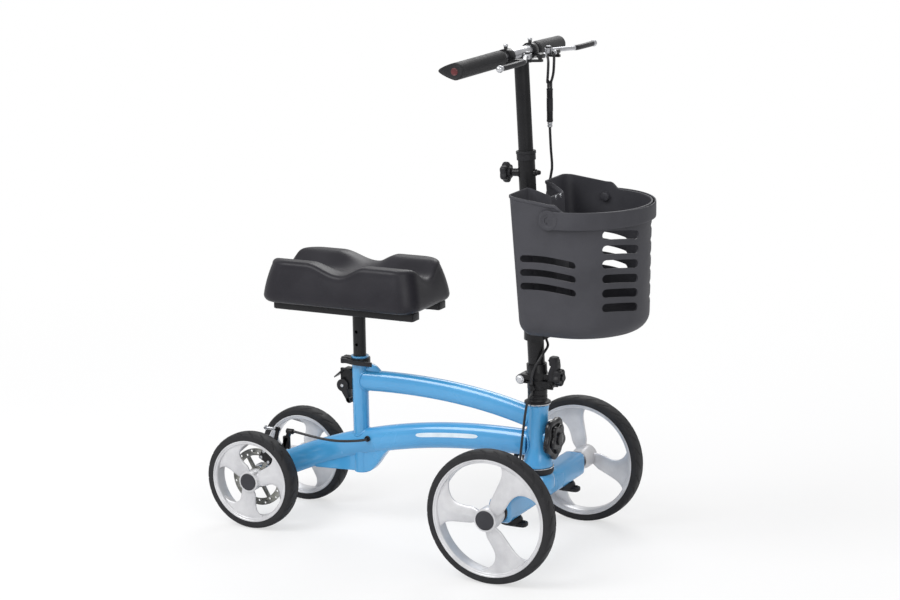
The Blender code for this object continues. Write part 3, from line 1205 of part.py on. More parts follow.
def make_column_collar():
    top = COLUMN_TOP + SEAT_GAP
    low = COLUMN_TOP - COLLAR_HEIGHT
    collar = revolve([(COLUMN_RADIUS + SEAT_GAP, low), (COLLAR_RADIUS, low),
                      (COLLAR_RADIUS, top + COLLAR_CAP / 2), (COLLAR_RADIUS - COLLAR_CAP / 2, top + COLLAR_CAP),
                      (STEM_RADIUS + SEAT_GAP, top + COLLAR_CAP), (STEM_RADIUS + SEAT_GAP, top),
                      (COLUMN_RADIUS + SEAT_GAP, top)], 16, bored=True)
    pivot = COLUMN_FRAME @ Vector((0, 0, COLUMN_TOP))
    piece("column_collar", placed(collar, COLUMN_FRAME), BLACK_PLASTIC, pivot)


# Hand knob whose stud goes through the column's wall towards the stem
def make_height_knob():
    start = COLUMN_RADIUS + HEIGHT_BOSS_LENGTH + SEAT_GAP
    face = COLUMN_RADIUS + HEIGHT_KNOB_STANDOFF
    star = star_knob(HEIGHT_KNOB_RADIUS, HEIGHT_KNOB_LOBE_DEPTH, HEIGHT_KNOB_LOBES, face,
                     face + HEIGHT_KNOB_DEPTH)
    hub = cylinder(HEIGHT_KNOB_HUB_RADIUS, start, face + HEIGHT_KNOB_DEPTH / 2)
    stud = cylinder(HEIGHT_STUD_RADIUS, STEM_RADIUS + 2 * SEAT_GAP, face, 12)
    place = COLUMN_FRAME @ at(0, 0, HEIGHT_BOLT_RISE)
    piece("height_knob", placed(fused(star, hub, stud), place @ TO_REAR), BLACK_PLASTIC, place.translation)


def column_axis_x(level):
    return WHEELBASE - (level - FOLD_Z) * tan(COLUMN_LEAN)


# Carrier clamped on the column, with a plate under the basket and a clip for the cable
def make_bracket():
    top = BASKET_FLOOR_Z - SEAT_GAP
    low = top - BRACKET_PLATE_THICKNESS
    centre = column_axis_x(low)
    outer = COLUMN_RADIUS + BRACKET_WALL
    collar = placed(cylinder(outer, BRACKET_LOW_Z, low + BRACKET_PLATE_THICKNESS / 2, 16), at(centre, 0, 0))
    neck = outer + BRACKET_NECK_HALF / 2
    half_plate = [(centre, BRACKET_NECK_HALF), (centre + neck, BRACKET_NECK_HALF),
                  (centre + neck + BRACKET_NECK_HALF, BRACKET_HALF_WIDTH),
                  (centre + BRACKET_REACH, BRACKET_HALF_WIDTH)]
    plate = prism(half_plate + [(x, -y) for x, y in reversed(half_plate)], low, top)
    rib_end = centre + BRACKET_REACH * BRACKET_RIB_SHARE
    rib = placed(prism([(centre, low + OVERLAP), (centre, BRACKET_LOW_Z + OVERLAP),
                        (centre + outer + OVERLAP, BRACKET_LOW_Z + OVERLAP),
                        (rib_end, low), (rib_end, low + OVERLAP)],
                       -BRACKET_RIB_HALF, BRACKET_RIB_HALF), SIDE_VIEW)
    bracket = fused(collar, plate, rib, cable_lug(*CLIP_LUG))
    bore = placed(cylinder(COLUMN_RADIUS + SEAT_GAP, BRACKET_LOW_Z - FOLD_Z - COLUMN_RADIUS,
                           top - FOLD_Z + COLUMN_RADIUS, 16), COLUMN_FRAME)
    bracket = cut(bracket, bore, cable_lug_bore(*CLIP_LUG))
    piece("basket_bracket", bracket, BLACK_PLASTIC, (centre, 0, BRACKET_LOW_Z))


# Plan outline of the basket at one height: a notch round the column, straight sides and a round nose
def basket_outline(level, inset):
    drop = BASKET_TOP_Z - level
    back = BASKET_BACK_X + BASKET_BACK_DRAFT * drop + inset
    half = BASKET_HALF_WIDTH - BASKET_SIDE_DRAFT * drop - inset
    nose = BASKET_NOSE - BASKET_SIDE_DRAFT * drop - inset
    corner = max(BASKET_REAR_CORNER - inset, BASKET_WALL)
    side = []
    for k in range(NOTCH_SPANS + 1):
        t = k / NOTCH_SPANS
        side.append((back + BASKET_NOTCH_DEPTH * (1 - smoothstep(t)),
                     BASKET_NOTCH_HALF + inset + BASKET_NOTCH_SPREAD * t))
    for k in range(CORNER_SPANS + 1):
        a = pi / 2 * k / CORNER_SPANS
        side.append((back + corner - corner * cos(a), half - corner + corner * sin(a)))
    for k in range(NOSE_SPANS):
        a = pi / 2 * k / NOSE_SPANS
        side.append((BASKET_NOSE_X + nose * sin(a), half * cos(a)))
    return side + [(BASKET_NOSE_X + nose, 0)] + [(x, -y) for x, y in reversed(side)]


def basket_rim(inset):
    ring = []
    for x, y in basket_outline(BASKET_TOP_Z, inset):
        slope = BASKET_SIDE_FALL * min(1, max(0, (x - BASKET_BACK_X) / BAIL_PIVOT_AHEAD))
        step = (BASKET_FRONT_DROP - BASKET_SIDE_FALL) * smoothstep((x - BASKET_NOSE_X) / BASKET_STEP_LENGTH)
        ring.append((x, y, BASKET_TOP_Z - slope - step))
    return ring


def basket_shell():
    sections = []
    for inset, radius in ((0, BASKET_FLOOR_RADIUS), (BASKET_WALL, BASKET_FLOOR_RADIUS - BASKET_WALL)):
        rings = []
        for k in range(FLOOR_SPANS + 1):
            a = pi / 2 * k / FLOOR_SPANS
            level = BASKET_FLOOR_Z + inset + radius * (1 - cos(a))
            rings.append([(x, y, level) for x, y in basket_outline(level, inset + radius * (1 - sin(a)))])
        rings.append(basket_rim(inset))
        sections += rings if inset == 0 else rings[::-1]
    return loft(sections)


# Cutters of the long side slots, which fall towards the front
def side_slots():
    cutters = []
    for number in range(SIDE_SLOT_COUNT):
        base = SIDE_SLOT_FIRST_Z - number * SIDE_SLOT_PITCH
        lower = []
        upper = []
        for k in range(SLOT_SPANS + 1):
            t = k / SLOT_SPANS
            x = SIDE_SLOT_START_X + SIDE_SLOT_LENGTH * t
            lower.append((x, base - SIDE_SLOT_BOW * t * t))
            upper.append((x, base + SIDE_SLOT_HEIGHT - SIDE_SLOT_BOW * t * t))
        tip = SIDE_SLOT_HEIGHT / 2
        ends = [(upper[-1][0] + tip / 2, upper[-1][1] - tip), (lower[0][0] - tip / 2, lower[0][1] + tip)]
        outline = lower + ends[:1] + upper[::-1] + ends[1:]
        for low, high in ((SLOT_INNER_Y, SLOT_OUTER_Y), (-SLOT_OUTER_Y, -SLOT_INNER_Y)):
            cutters.append(placed(prism(outline, low, high), SIDE_VIEW))
    return cutters


def nose_slots():
    cutters = []
    turns = [NOSE_SLOT_FROM + (NOSE_SLOT_TO - NOSE_SLOT_FROM) * k / SLOT_SPANS for k in range(SLOT_SPANS + 1)]
    for number in range(NOSE_SLOT_COUNT):
        base = NOSE_SLOT_FIRST_Z - number * NOSE_SLOT_PITCH
        for side in (-1, 1):
            near = [(BASKET_NOSE_X + SLOT_INNER_Y * cos(a), side * SLOT_INNER_Y * sin(a)) for a in turns]
            far = [(BASKET_NOSE_X + SLOT_OUTER_Y * cos(a), side * SLOT_OUTER_Y * sin(a)) for a in turns]
            cutters.append(prism(near + far[::-1], base, base + NOSE_SLOT_HEIGHT))
    return cutters


def bail_half_width():
    return BASKET_HALF_WIDTH - BASKET_SIDE_DRAFT * (BASKET_TOP_Z - BAIL_PIVOT_Z) + BAIL_GAP


def make_basket():
    reach = bail_half_width() + BAIL_THICKNESS
    start = bail_half_width() - BAIL_GAP - BASKET_WALL / 2
    bosses = [placed(cylinder(BAIL_BOSS_RADIUS, *span, 12), at(BAIL_PIVOT_X, 0, BAIL_PIVOT_Z) @ TO_Y)
              for span in ((start, reach), (-reach, -start))]
    basket = fused(basket_shell(), gathered(*bosses))
    basket = cut(basket, gathered(*side_slots()), gathered(*nose_slots()))
    piece("basket", basket, BASKET_PLASTIC, (BASKET_NOSE_X, 0, BASKET_FLOOR_Z))


# Carrying handle that lies round the basket's nose and swings up on two bosses
def make_bail():
    inner_y = bail_half_width()
    inner_x = BASKET_NOSE + BAIL_GAP
    turns = [pi * k / BAIL_SPANS - pi / 2 for k in range(BAIL_SPANS + 1)]
    path = [(cos(a), sin(a), abs(sin(a))) for a in turns]
    sections = []
    for across, along, share in path:
        half = (BAIL_FRONT_HEIGHT + (BAIL_HEIGHT - BAIL_FRONT_HEIGHT) * share) / 2
        near = (BASKET_NOSE_X + inner_x * across, inner_y * along)
        far = (BASKET_NOSE_X + (inner_x + BAIL_THICKNESS) * across, (inner_y + BAIL_THICKNESS) * along)
        sections.append([(*near, BAIL_PIVOT_Z - half), (*far, BAIL_PIVOT_Z - half + BAIL_EASE),
                         (*far, BAIL_PIVOT_Z + half - BAIL_EASE), (*near, BAIL_PIVOT_Z + half)])
    start = [(BAIL_PIVOT_X, y, z) for x, y, z in sections[0]]
    end = [(BAIL_PIVOT_X, y, z) for x, y, z in sections[-1]]
    band = loft([start] + sections + [end])
    inside = inner_y - SEAT_GAP
    outside = inner_y + BAIL_THICKNESS + SEAT_GAP
    hinge = at(BAIL_PIVOT_X, 0, BAIL_PIVOT_Z) @ TO_Y
    spans = ((inside, outside), (-outside, -inside))
    eyes = [placed(cylinder(BAIL_EYE_RADIUS, *span, 16), hinge) for span in spans]
    hole = placed(cylinder(BAIL_BOSS_RADIUS + SEAT_GAP, -outside - OVERLAP, outside + OVERLAP, 12), hinge)
    bail = cut(fused(band, gathered(*eyes)), hole)
    piece("basket_handle", bail, BASKET_PLASTIC, (BAIL_PIVOT_X, 0, BAIL_PIVOT_Z))


# Middle of the handlebar tube at a distance across
def bar_point(y):
    return Vector((BAR_CENTRE.x - abs(y) * tan(BAR_SWEEP), y, BAR_CENTRE.z - abs(y) * BAR_DROP / BAR_HALF_WIDTH))


# A solid round the bar: the same outline of back-and-up offsets at each distance across
def along_bar(outline, *distances):
    return loft([[bar_point(y) + Vector((x, 0, z)) for x, z in outline] for y in distances])


def circle(radius, steps=16):
    return [(radius * cos(2 * pi * k / steps), radius * sin(2 * pi * k / steps)) for k in range(steps)]


# Inner steering tube with the handlebar welded across its top
def make_stem():
    low = COLUMN_TOP - STEM_OVERLAP
    high = COLUMN_TOP + STEM_REACH
    tube = placed(cylinder(STEM_RADIUS, low, high, 16), COLUMN_FRAME)
    bar = along_bar(circle(BAR_RADIUS), -BAR_HALF_WIDTH, 0, BAR_HALF_WIDTH)
    hollow = cylinder(STEM_RADIUS - STEM_WALL, low - OVERLAP, high - 2 * BAR_RADIUS, 16)
    stem = cut(fused(tube, bar), placed(hollow, COLUMN_FRAME))
    piece("stem", stem, BLACK_PAINT, BAR_CENTRE)


# Section of a grip: round in front, drawn out to a soft edge behind
def grip_outline(wing):
    points = []
    for k in range(GRIP_SIDES):
        a = 2 * pi * k / GRIP_SIDES
        back = max(0, -cos(a))
        points.append((GRIP_RADIUS * max(0, cos(a)) - wing * back,
                       GRIP_RADIUS * sin(a) * (1 - GRIP_PINCH * back)))
    return points


def make_grips():
    end = BAR_HALF_WIDTH + GRIP_END_WALL
    start = end - GRIP_LENGTH
    for side, name in ((-1, "grip_right"), (1, "grip_left")):
        sections = []
        for k in range(GRIP_SPANS + 1):
            t = k / GRIP_SPANS
            wing = GRIP_RADIUS + (GRIP_WING - GRIP_RADIUS) * t ** 2
            scale = GRIP_CUFF if k == 0 else 1
            centre = bar_point(side * (start + GRIP_LENGTH * t))
            sections.append([centre + scale * Vector((x, 0, z)) for x, z in grip_outline(wing)])
        hole = along_bar(circle(BAR_RADIUS + SEAT_GAP), side * (start - OVERLAP),
                         side * (BAR_HALF_WIDTH + SEAT_GAP))
        piece(name, cut(loft(sections), hole), GRIP_RUBBER, bar_point(side * start))


def lever_pivot():
    pivot = bar_point(LEVER_PIVOT_Y)
    return Vector((pivot.x + LEVER_PIVOT_REACH, LEVER_PIVOT_Y, BAR_CENTRE.z))


# Clamp on the bar with the plate and post that carry the brake lever, and the cable's barrel
def make_perches():
    level = BAR_CENTRE.z
    half = PERCH_WIDTH / 2
    ring_radius = BAR_RADIUS + PERCH_WALL
    top = level - LEVER_THICKNESS / 2 - SEAT_GAP
    low = top - PERCH_PLATE
    pivot = lever_pivot()
    barrel_x = pivot.x + BARREL_REACH
    barrel_end = LEVER_PIVOT_Y - PERCH_PIVOT_RADIUS + BARREL_OVERLAP
    for side, name in ((-1, "lever_perch_right"), (1, "lever_perch_left")):
        ring = along_bar(circle(ring_radius, 15), PERCH_Y - half, PERCH_Y + half)
        barrel_middle = barrel_end - BARREL_LENGTH / 2
        plate = prism([(bar_point(PERCH_Y).x, PERCH_Y - half), (pivot.x, barrel_middle),
                       (barrel_x + BARREL_RADIUS, barrel_middle), (barrel_x + BARREL_RADIUS, barrel_end),
                       (pivot.x + PERCH_PIVOT_RADIUS, LEVER_PIVOT_Y + PERCH_PIVOT_RADIUS / 2),
                       (pivot.x, LEVER_PIVOT_Y + PERCH_PIVOT_RADIUS), (bar_point(PERCH_Y).x, PERCH_Y + half)],
                      low, top)
        head_low = level + LEVER_THICKNESS / 2 + SEAT_GAP
        stand = at(pivot.x, pivot.y, 0)
        post = placed(cylinder(LEVER_POST_RADIUS, low + OVERLAP, head_low + OVERLAP, 12), stand)
        head = placed(cylinder(LEVER_HEAD_RADIUS, head_low, head_low + LEVER_HEAD_HEIGHT, 12), stand)
        barrel = placed(cylinder(BARREL_RADIUS, barrel_end - BARREL_LENGTH, barrel_end, 12),
                        at(barrel_x, 0, level) @ TO_Y)
        foot = box((barrel_x - BARREL_RADIUS / 2, barrel_x + BARREL_RADIUS / 2),
                   (barrel_end - BARREL_LENGTH / 2, barrel_end - OVERLAP), (low + OVERLAP, level))
        stud = placed(cylinder(PERCH_STUD_RADIUS, 0, ring_radius + PERCH_STUD_HEIGHT, 10),
                      Matrix.Translation(bar_point(PERCH_Y)))
        perch = fused(ring, plate, gathered(post, barrel), gathered(head, foot), stud)
        bore = along_bar(circle(BAR_RADIUS + SEAT_GAP), PERCH_Y - PERCH_WIDTH, PERCH_Y + PERCH_WIDTH)
        inlet = placed(cylinder(CABLE_RADIUS + RUNNING_GAP, barrel_end - BARREL_LENGTH - OVERLAP,
                                barrel_end - BARREL_LENGTH / 2, 12), at(barrel_x, 0, level) @ TO_Y)
        perch = cut(perch, bore, inlet)
        piece(name, on_side(perch, side), BLACK_PAINT, bar_point(side * PERCH_Y))


# Brake lever: an eye on the perch's post, a blade that runs along the grip and a round tip
def make_brake_levers():
    level = BAR_CENTRE.z
    pivot = lever_pivot()
    tip = Vector((pivot.x + LEVER_TIP_OUT, LEVER_TIP_Y, level - LEVER_TIP_DROP))
    for side, name in ((-1, "brake_lever_right"), (1, "brake_lever_left")):
        eye = placed(cylinder(PERCH_PIVOT_RADIUS, level - LEVER_THICKNESS / 2, level + LEVER_THICKNESS / 2),
                     at(pivot.x, pivot.y, 0))
        sections = []
        for k in range(LEVER_SPANS + 1):
            t = k / LEVER_SPANS
            y = pivot.y + (tip.y - pivot.y) * t
            x = pivot.x + (tip.x - pivot.x) * smoothstep(2 * t) + LEVER_BOW * sin(pi * t)
            z = pivot.z + (tip.z - pivot.z) * t
            half_x = LEVER_WIDTH / 2
            half_z = LEVER_THICKNESS / 2 * (LEVER_SLIM if k else LEVER_ROOT_SLIM)
            sections.append([(x + u * half_x, y, z + v * half_z) for u, v in circle(1, 8)])
        blade_solid = loft(sections)
        ball = bmesh.new()
        bmesh.ops.create_uvsphere(ball, u_segments=8, v_segments=6, radius=LEVER_BALL_RADIUS,
                                  matrix=Matrix.Translation(tip))
        hole = cylinder(LEVER_POST_RADIUS + SEAT_GAP, level - LEVER_THICKNESS, level + LEVER_THICKNESS, 12)
        hole.transform(at(pivot.x, pivot.y, 0))
        lever = cut(fused(eye, blade_solid, ball), hole)
        piece(name, on_side(lever, side), BLACK_PLASTIC, (pivot.x, side * pivot.y, level))


# Sleeve that joins both lever cables into the one that runs down
def make_splitter():
    neck = SPLITTER_TOP_Z - SPLITTER_LENGTH
    foot = neck - SPLITTER_NECK_LENGTH
    body = revolve([(0, foot), (SPLITTER_NECK_RADIUS, foot), (SPLITTER_NECK_RADIUS, neck),
                    (SPLITTER_RADIUS, neck), (SPLITTER_RADIUS, SPLITTER_TOP_Z), (0, SPLITTER_TOP_Z)], 14)
    place = at(SPLITTER_X, SPLITTER_Y, 0)
    piece("cable_splitter", placed(body, place), BLACK_PLASTIC, place @ Vector((0, 0, foot)))


def grommet(length):
    return sleeve(CABLE_RADIUS + RUNNING_GAP, GROMMET_RADIUS, SEAT_GAP, length, 12)


def make_grommets():
    rear = at(GROMMET_REAR_X, -LOWER_TUBE_WIDTH / 2, GROMMET_REAR_Z) @ Matrix.Rotation(pi / 2, 4, "X")
    piece("cable_grommet_rear", placed(grommet(GROMMET_HEIGHT), rear), BLACK_PLASTIC, rear.translation)
    under = lower_tube_under(GROMMET_FRONT_X)
    front = at(GROMMET_FRONT_X, 0, under) @ Matrix.Rotation(pi, 4, "X")
    piece("cable_grommet_front", placed(grommet(GROMMET_HEIGHT), front), BLACK_PLASTIC, front.translation)


# Points that keep a cable straight through the mouth of the clip it sits in
def mouth(place, heading):
    return [Vector(place) + Vector(heading) * step for step in (-MOUTH_DEPTH, MOUTH_DEPTH, 2 * MOUTH_DEPTH)]


# Places along a cable: a share of the way between its ends, and how far it bows out sideways there
def bows(start, end, shares):
    start = Vector(start)
    end = Vector(end)
    return [start + (end - start) * share + Vector(out) for share, out in shares]


# Sheathed brake cables, each between two clips it is held in
def make_cables():
    down = (0, 0, -1)
    up = (0, 0, 1)
    pivot = lever_pivot()
    barrel_x = pivot.x + BARREL_REACH
    barrel_y = LEVER_PIVOT_Y - PERCH_PIVOT_RADIUS + BARREL_OVERLAP - BARREL_LENGTH
    side = CABLE_RADIUS + SEAT_GAP
    splitter_top = SPLITTER_TOP_Z + RUNNING_GAP
    splitter_foot = SPLITTER_TOP_Z - SPLITTER_LENGTH - SPLITTER_NECK_LENGTH - RUNNING_GAP
    for name, across, cable_bows in (("cable_right", -1, CABLE_RIGHT_BOWS), ("cable_left", 1, CABLE_LEFT_BOWS)):
        start = (barrel_x, across * barrel_y, BAR_CENTRE.z)
        end = (SPLITTER_X + across * side, SPLITTER_Y, splitter_top)
        lead = (end[0], end[1], end[2] + SPLITTER_LEAD)
        cable(name, mouth(start, (0, -across, 0)) + bows(start, end, cable_bows) + [lead, end])
    clip_foot = Vector(CLIP_LUG)
    clip_head = clip_foot + Vector((0, 0, CABLE_LUG_HEIGHT))
    base_foot = Vector(BASE_LUG)
    base_head = base_foot + Vector((0, 0, CABLE_LUG_HEIGHT))
    start = (SPLITTER_X, SPLITTER_Y, splitter_foot)
    cable("cable_upper", [start, mouth(start, up)[0]] + bows(start, clip_head, CABLE_UPPER_BOWS)
          + mouth(clip_head, up)[::-1])
    cable("cable_middle", mouth(clip_foot, down) + bows(clip_foot, base_head, CABLE_MIDDLE_BOWS)
          + mouth(base_head, up)[::-1])
    end = (GROMMET_FRONT_X, 0, lower_tube_under(GROMMET_FRONT_X) - GROMMET_HEIGHT)
    cable("cable_lower", mouth(base_foot, down) + bows(base_foot, end, CABLE_LOWER_BOWS)
          + mouth(end, down)[::-1])
    start = (GROMMET_REAR_X, -LOWER_TUBE_WIDTH / 2 - GROMMET_HEIGHT, GROMMET_REAR_Z)
    end = (STOP_X + STOP_LENGTH / 2, -STOP_Y, STOP_Z)
    cable("cable_rear", mouth(start, (0, -1, 0)) + bows(start, end, CABLE_REAR_BOWS)
          + mouth(end, (1, 0, 0))[::-1])


# Seat post: a tube with a row of height holes through it
def make_seat_post():
    post = sleeve(POST_RADIUS - POST_WALL, POST_RADIUS, POST_BOTTOM_Z, POST_TOP_Z, 16)
    holes = []
    for number in range(POST_HOLE_COUNT):
        level = POST_TOP_Z - POST_HOLE_TOP_DROP - number * POST_HOLE_PITCH
        holes.append(placed(cylinder(POST_HOLE_RADIUS, -POST_RADIUS - OVERLAP, POST_RADIUS + OVERLAP, 6),
                            at(0, 0, level) @ TO_Y))
    post = placed(cut(post, gathered(*holes)), at(SEAT_TUBE_X, 0, 0))
    piece("seat_post", post, BLACK_PAINT, (SEAT_TUBE_X, 0, POST_BOTTOM_Z))


# Two square rails joined by a plate, with a short socket over the post
def make_seat_frame():
    top = RAIL_BOTTOM_Z + RAIL_HEIGHT
    rails = []
    for side in (-1, 1):
        middle = side * RAIL_Y
        rails.append(eased(box((RAIL_START_X, RAIL_END_X), (middle - RAIL_WIDTH / 2, middle + RAIL_WIDTH / 2),
                               (RAIL_BOTTOM_Z, top)), RAIL_EASE))
    half = CROSS_PLATE_LENGTH / 2
    plate = box((SEAT_TUBE_X - half, SEAT_TUBE_X + half), (-RAIL_Y, RAIL_Y),
                (RAIL_BOTTOM_Z + SEAT_GAP, RAIL_BOTTOM_Z + CROSS_PLATE_THICKNESS))
    socket = sleeve(POST_RADIUS + SEAT_GAP, CROSS_PLATE_BOSS_RADIUS, RAIL_BOTTOM_Z - SOCKET_LENGTH,
                    RAIL_BOTTOM_Z + OVERLAP, 16)
    frame = fused(gathered(*rails), plate, placed(socket, at(SEAT_TUBE_X, 0, 0)))
    piece("seat_frame", frame, BLACK_PAINT, (SEAT_TUBE_X, 0, RAIL_BOTTOM_Z))


def rounded_rectangle(half_x, half_y, corner):
    points = []
    for number in range(4):
        sx, sy = ((1, 1), (-1, 1), (-1, -1), (1, -1))[number]
        centre = (sx * (half_x - corner), sy * (half_y - corner))
        for k in range(CORNER_SPANS + 1):
            a = pi / 2 * (number + k / CORNER_SPANS)
            points.append((centre[0] + corner * cos(a), centre[1] + corner * sin(a)))
        nx, ny = ((-1, 1), (-1, -1), (1, -1), (1, 1))[number]
        follower = (nx * (half_x - corner), ny * (half_y - corner))
        spans = PAD_LONG_SPANS if number % 2 == 0 else PAD_SHORT_SPANS
        begin = points[-1]
        turn = pi / 2 * (number + 1)
        finish = (follower[0] + corner * cos(turn), follower[1] + corner * sin(turn))
        for k in range(1, spans):
            t = k / spans
            points.append((begin[0] + (finish[0] - begin[0]) * t, begin[1] + (finish[1] - begin[1]) * t))
    return points


# Height of the pad's upper face: four raised corners between a valley across and a trough along
def pad_level(x, y):
    across = PAD_VALLEY_SHARE * swell(x / PAD_VALLEY_HALF)
    along = swell(y / PAD_TROUGH_HALF)
    return PAD_BOTTOM_Z + PAD_HEIGHT - PAD_TROUGH_DEPTH * (1 - (1 - across) * (1 - along))


def pad_ring(inset, sink, share):
    half_x = PAD_LENGTH / 2
    half_y = PAD_WIDTH / 2
    foot = PAD_BOTTOM_Z + PAD_BOTTOM_EDGE
    ring = []
    full = rounded_rectangle(half_x - inset, half_y - inset, PAD_CORNER)
    drawn = rounded_rectangle(half_x - inset - PAD_FLARE, half_y - inset - PAD_FLARE, PAD_CORNER)
    for (x0, y0), (x1, y1) in zip(full, drawn):
        level = pad_level(x1 * share, y1 * share)
        t = (level - foot) / (PAD_HEIGHT - PAD_BOTTOM_EDGE)
        ring.append(((x0 + (x1 - x0) * t) * share, (y0 + (y1 - y0) * t) * share, level - sink))
    return ring


def make_knee_pad():
    half_x = PAD_LENGTH / 2
    half_y = PAD_WIDTH / 2
    edge = PAD_BOTTOM_EDGE
    low = [(x, y, PAD_BOTTOM_Z) for x, y in rounded_rectangle(half_x - edge, half_y - edge, PAD_CORNER - edge)]
    step = edge * PAD_BOTTOM_TURN
    turn = [(x, y, PAD_BOTTOM_Z + edge * PAD_BOTTOM_TURN_RISE)
            for x, y in rounded_rectangle(half_x - step, half_y - step, PAD_CORNER)]
    wide = [(x, y, PAD_BOTTOM_Z + edge) for x, y in rounded_rectangle(half_x, half_y, PAD_CORNER)]
    top_turn = PAD_TOP_EDGE * PAD_TOP_TURN
    rings = [low, turn, wide, pad_ring(0, PAD_TOP_EDGE, 1), pad_ring(top_turn, top_turn, 1)]
    rings.append(pad_ring(PAD_TOP_EDGE, 0, 1))
    rings += [pad_ring(PAD_TOP_EDGE, 0, share) for share in PAD_RINGS]
    pad = placed(loft(rings), at(SEAT_TUBE_X, 0, 0))
    piece("knee_pad", pad, PAD_VINYL, (SEAT_TUBE_X, 0, PAD_BOTTOM_Z))


# Split collar that squeezes the seat tube, with its ears and bolt behind
def make_seat_clamp():
    low = CLAMP_TOP_Z - CLAMP_HEIGHT
    bore = SEAT_TUBE_RADIUS + SEAT_GAP
    outer = bore + CLAMP_WALL
    middle = (low + CLAMP_TOP_Z) / 2
    ring = cylinder(outer, low, CLAMP_TOP_Z, 16)
    ears = box((-outer - CLAMP_EAR_LENGTH, 0), (-CLAMP_EAR_HALF, CLAMP_EAR_HALF),
               (low + OVERLAP, CLAMP_TOP_Z - OVERLAP))
    hollow = cylinder(bore, low - OVERLAP, CLAMP_TOP_Z + OVERLAP, 16)
    slit = box((-2 * outer - CLAMP_EAR_LENGTH, 0), (-CLAMP_SLIT / 2, CLAMP_SLIT / 2),
               (low - OVERLAP, CLAMP_TOP_Z + OVERLAP))
    clamp = cut(fused(ring, ears), hollow, slit)
    bolt = placed(cylinder(CLAMP_BOLT_RADIUS, -CLAMP_EAR_HALF + OVERLAP, CLAMP_EAR_HALF + CLAMP_NUT_HEIGHT, 12),
                  at(-CLAMP_BOLT_REACH, 0, middle) @ TO_Y)
    nut = placed(cylinder(CLAMP_NUT_RADIUS, CLAMP_EAR_HALF - OVERLAP, CLAMP_EAR_HALF + CLAMP_NUT_HEIGHT / 2, 6),
                 at(-CLAMP_BOLT_REACH, 0, middle) @ TO_Y)
    clamp = fused(clamp, bolt, nut)
    piece("seat_clamp_collar", placed(clamp, at(SEAT_TUBE_X, 0, 0)), BLACK_PAINT, (SEAT_TUBE_X, 0, low))


# Quick-release lever, curved round the near side of the seat tube
def make_seat_clamp_lever():
    middle = CLAMP_TOP_Z - CLAMP_HEIGHT / 2
    low = middle - LEVER_ARM_HEIGHT / 2
    high = middle + LEVER_ARM_HEIGHT / 2
    pivot_x = -CLAMP_BOLT_REACH
    pivot_y = -CLAMP_EAR_HALF - SEAT_GAP - CAM_RADIUS
    outer = []
    inner = []
    for k in range(CLAMP_LEVER_SPANS + 1):
        t = k / CLAMP_LEVER_SPANS
        x = pivot_x + LEVER_ARM_LENGTH * t
        y = pivot_y - CLAMP_LEVER_OUT * smoothstep(2 * t)
        thick = LEVER_ARM_THICKNESS * (1 - LEVER_ARM_TAPER * t)
        outer.append((x, y - thick / 2))
        inner.append((x, y + thick / 2))
    band = prism(outer + inner[::-1], low, high)
    cam = placed(cylinder(CAM_RADIUS, low - SEAT_GAP, high + SEAT_GAP), at(pivot_x, pivot_y, 0))
    lever = placed(fused(cam, band), at(SEAT_TUBE_X, 0, 0))
    piece("seat_clamp_lever", lever, BLACK_PLASTIC, (SEAT_TUBE_X + pivot_x, pivot_y, middle))


# Hood behind the seat tube that shelters the height trigger, with the tongue it turns on
def make_pin_bracket():
    face = SEAT_TUBE_X - SEAT_TUBE_RADIUS - SEAT_GAP
    top = PIN_HOOD_TOP_Z
    wall = PIN_BRACKET_WALL
    reach = PIN_BRACKET_DEPTH
    half = PIN_BRACKET_WIDTH / 2
    flat = face - reach * PIN_HOOD_FLAT
    hood = prism([(face, top), (flat, top), (face - reach, top - PIN_HOOD_FALL),
                  (face - reach, top - PIN_HOOD_FALL - wall), (flat + wall / 2, top - wall), (face, top - wall)],
                 -half, half)
    pivot = (TRIGGER_X, TRIGGER_Z)
    tongue = prism([(face, top - wall / 2), (TRIGGER_X - TONGUE_RADIUS, top - wall / 2),
                    (TRIGGER_X - TONGUE_RADIUS, TRIGGER_Z), (TRIGGER_X, TRIGGER_Z - TONGUE_RADIUS),
                    (face, TRIGGER_Z - TONGUE_RADIUS)], -TONGUE_HALF, TONGUE_HALF)
    pin = placed(cylinder(TRIGGER_PIN_RADIUS, -half, half, 12), at(pivot[0], 0, pivot[1]) @ TO_Y)
    bracket = fused(placed(gathered(tongue), SIDE_VIEW), placed(hood, SIDE_VIEW), pin)
    piece("seat_pin_bracket", bracket, BLACK_PAINT, (face, 0, top))


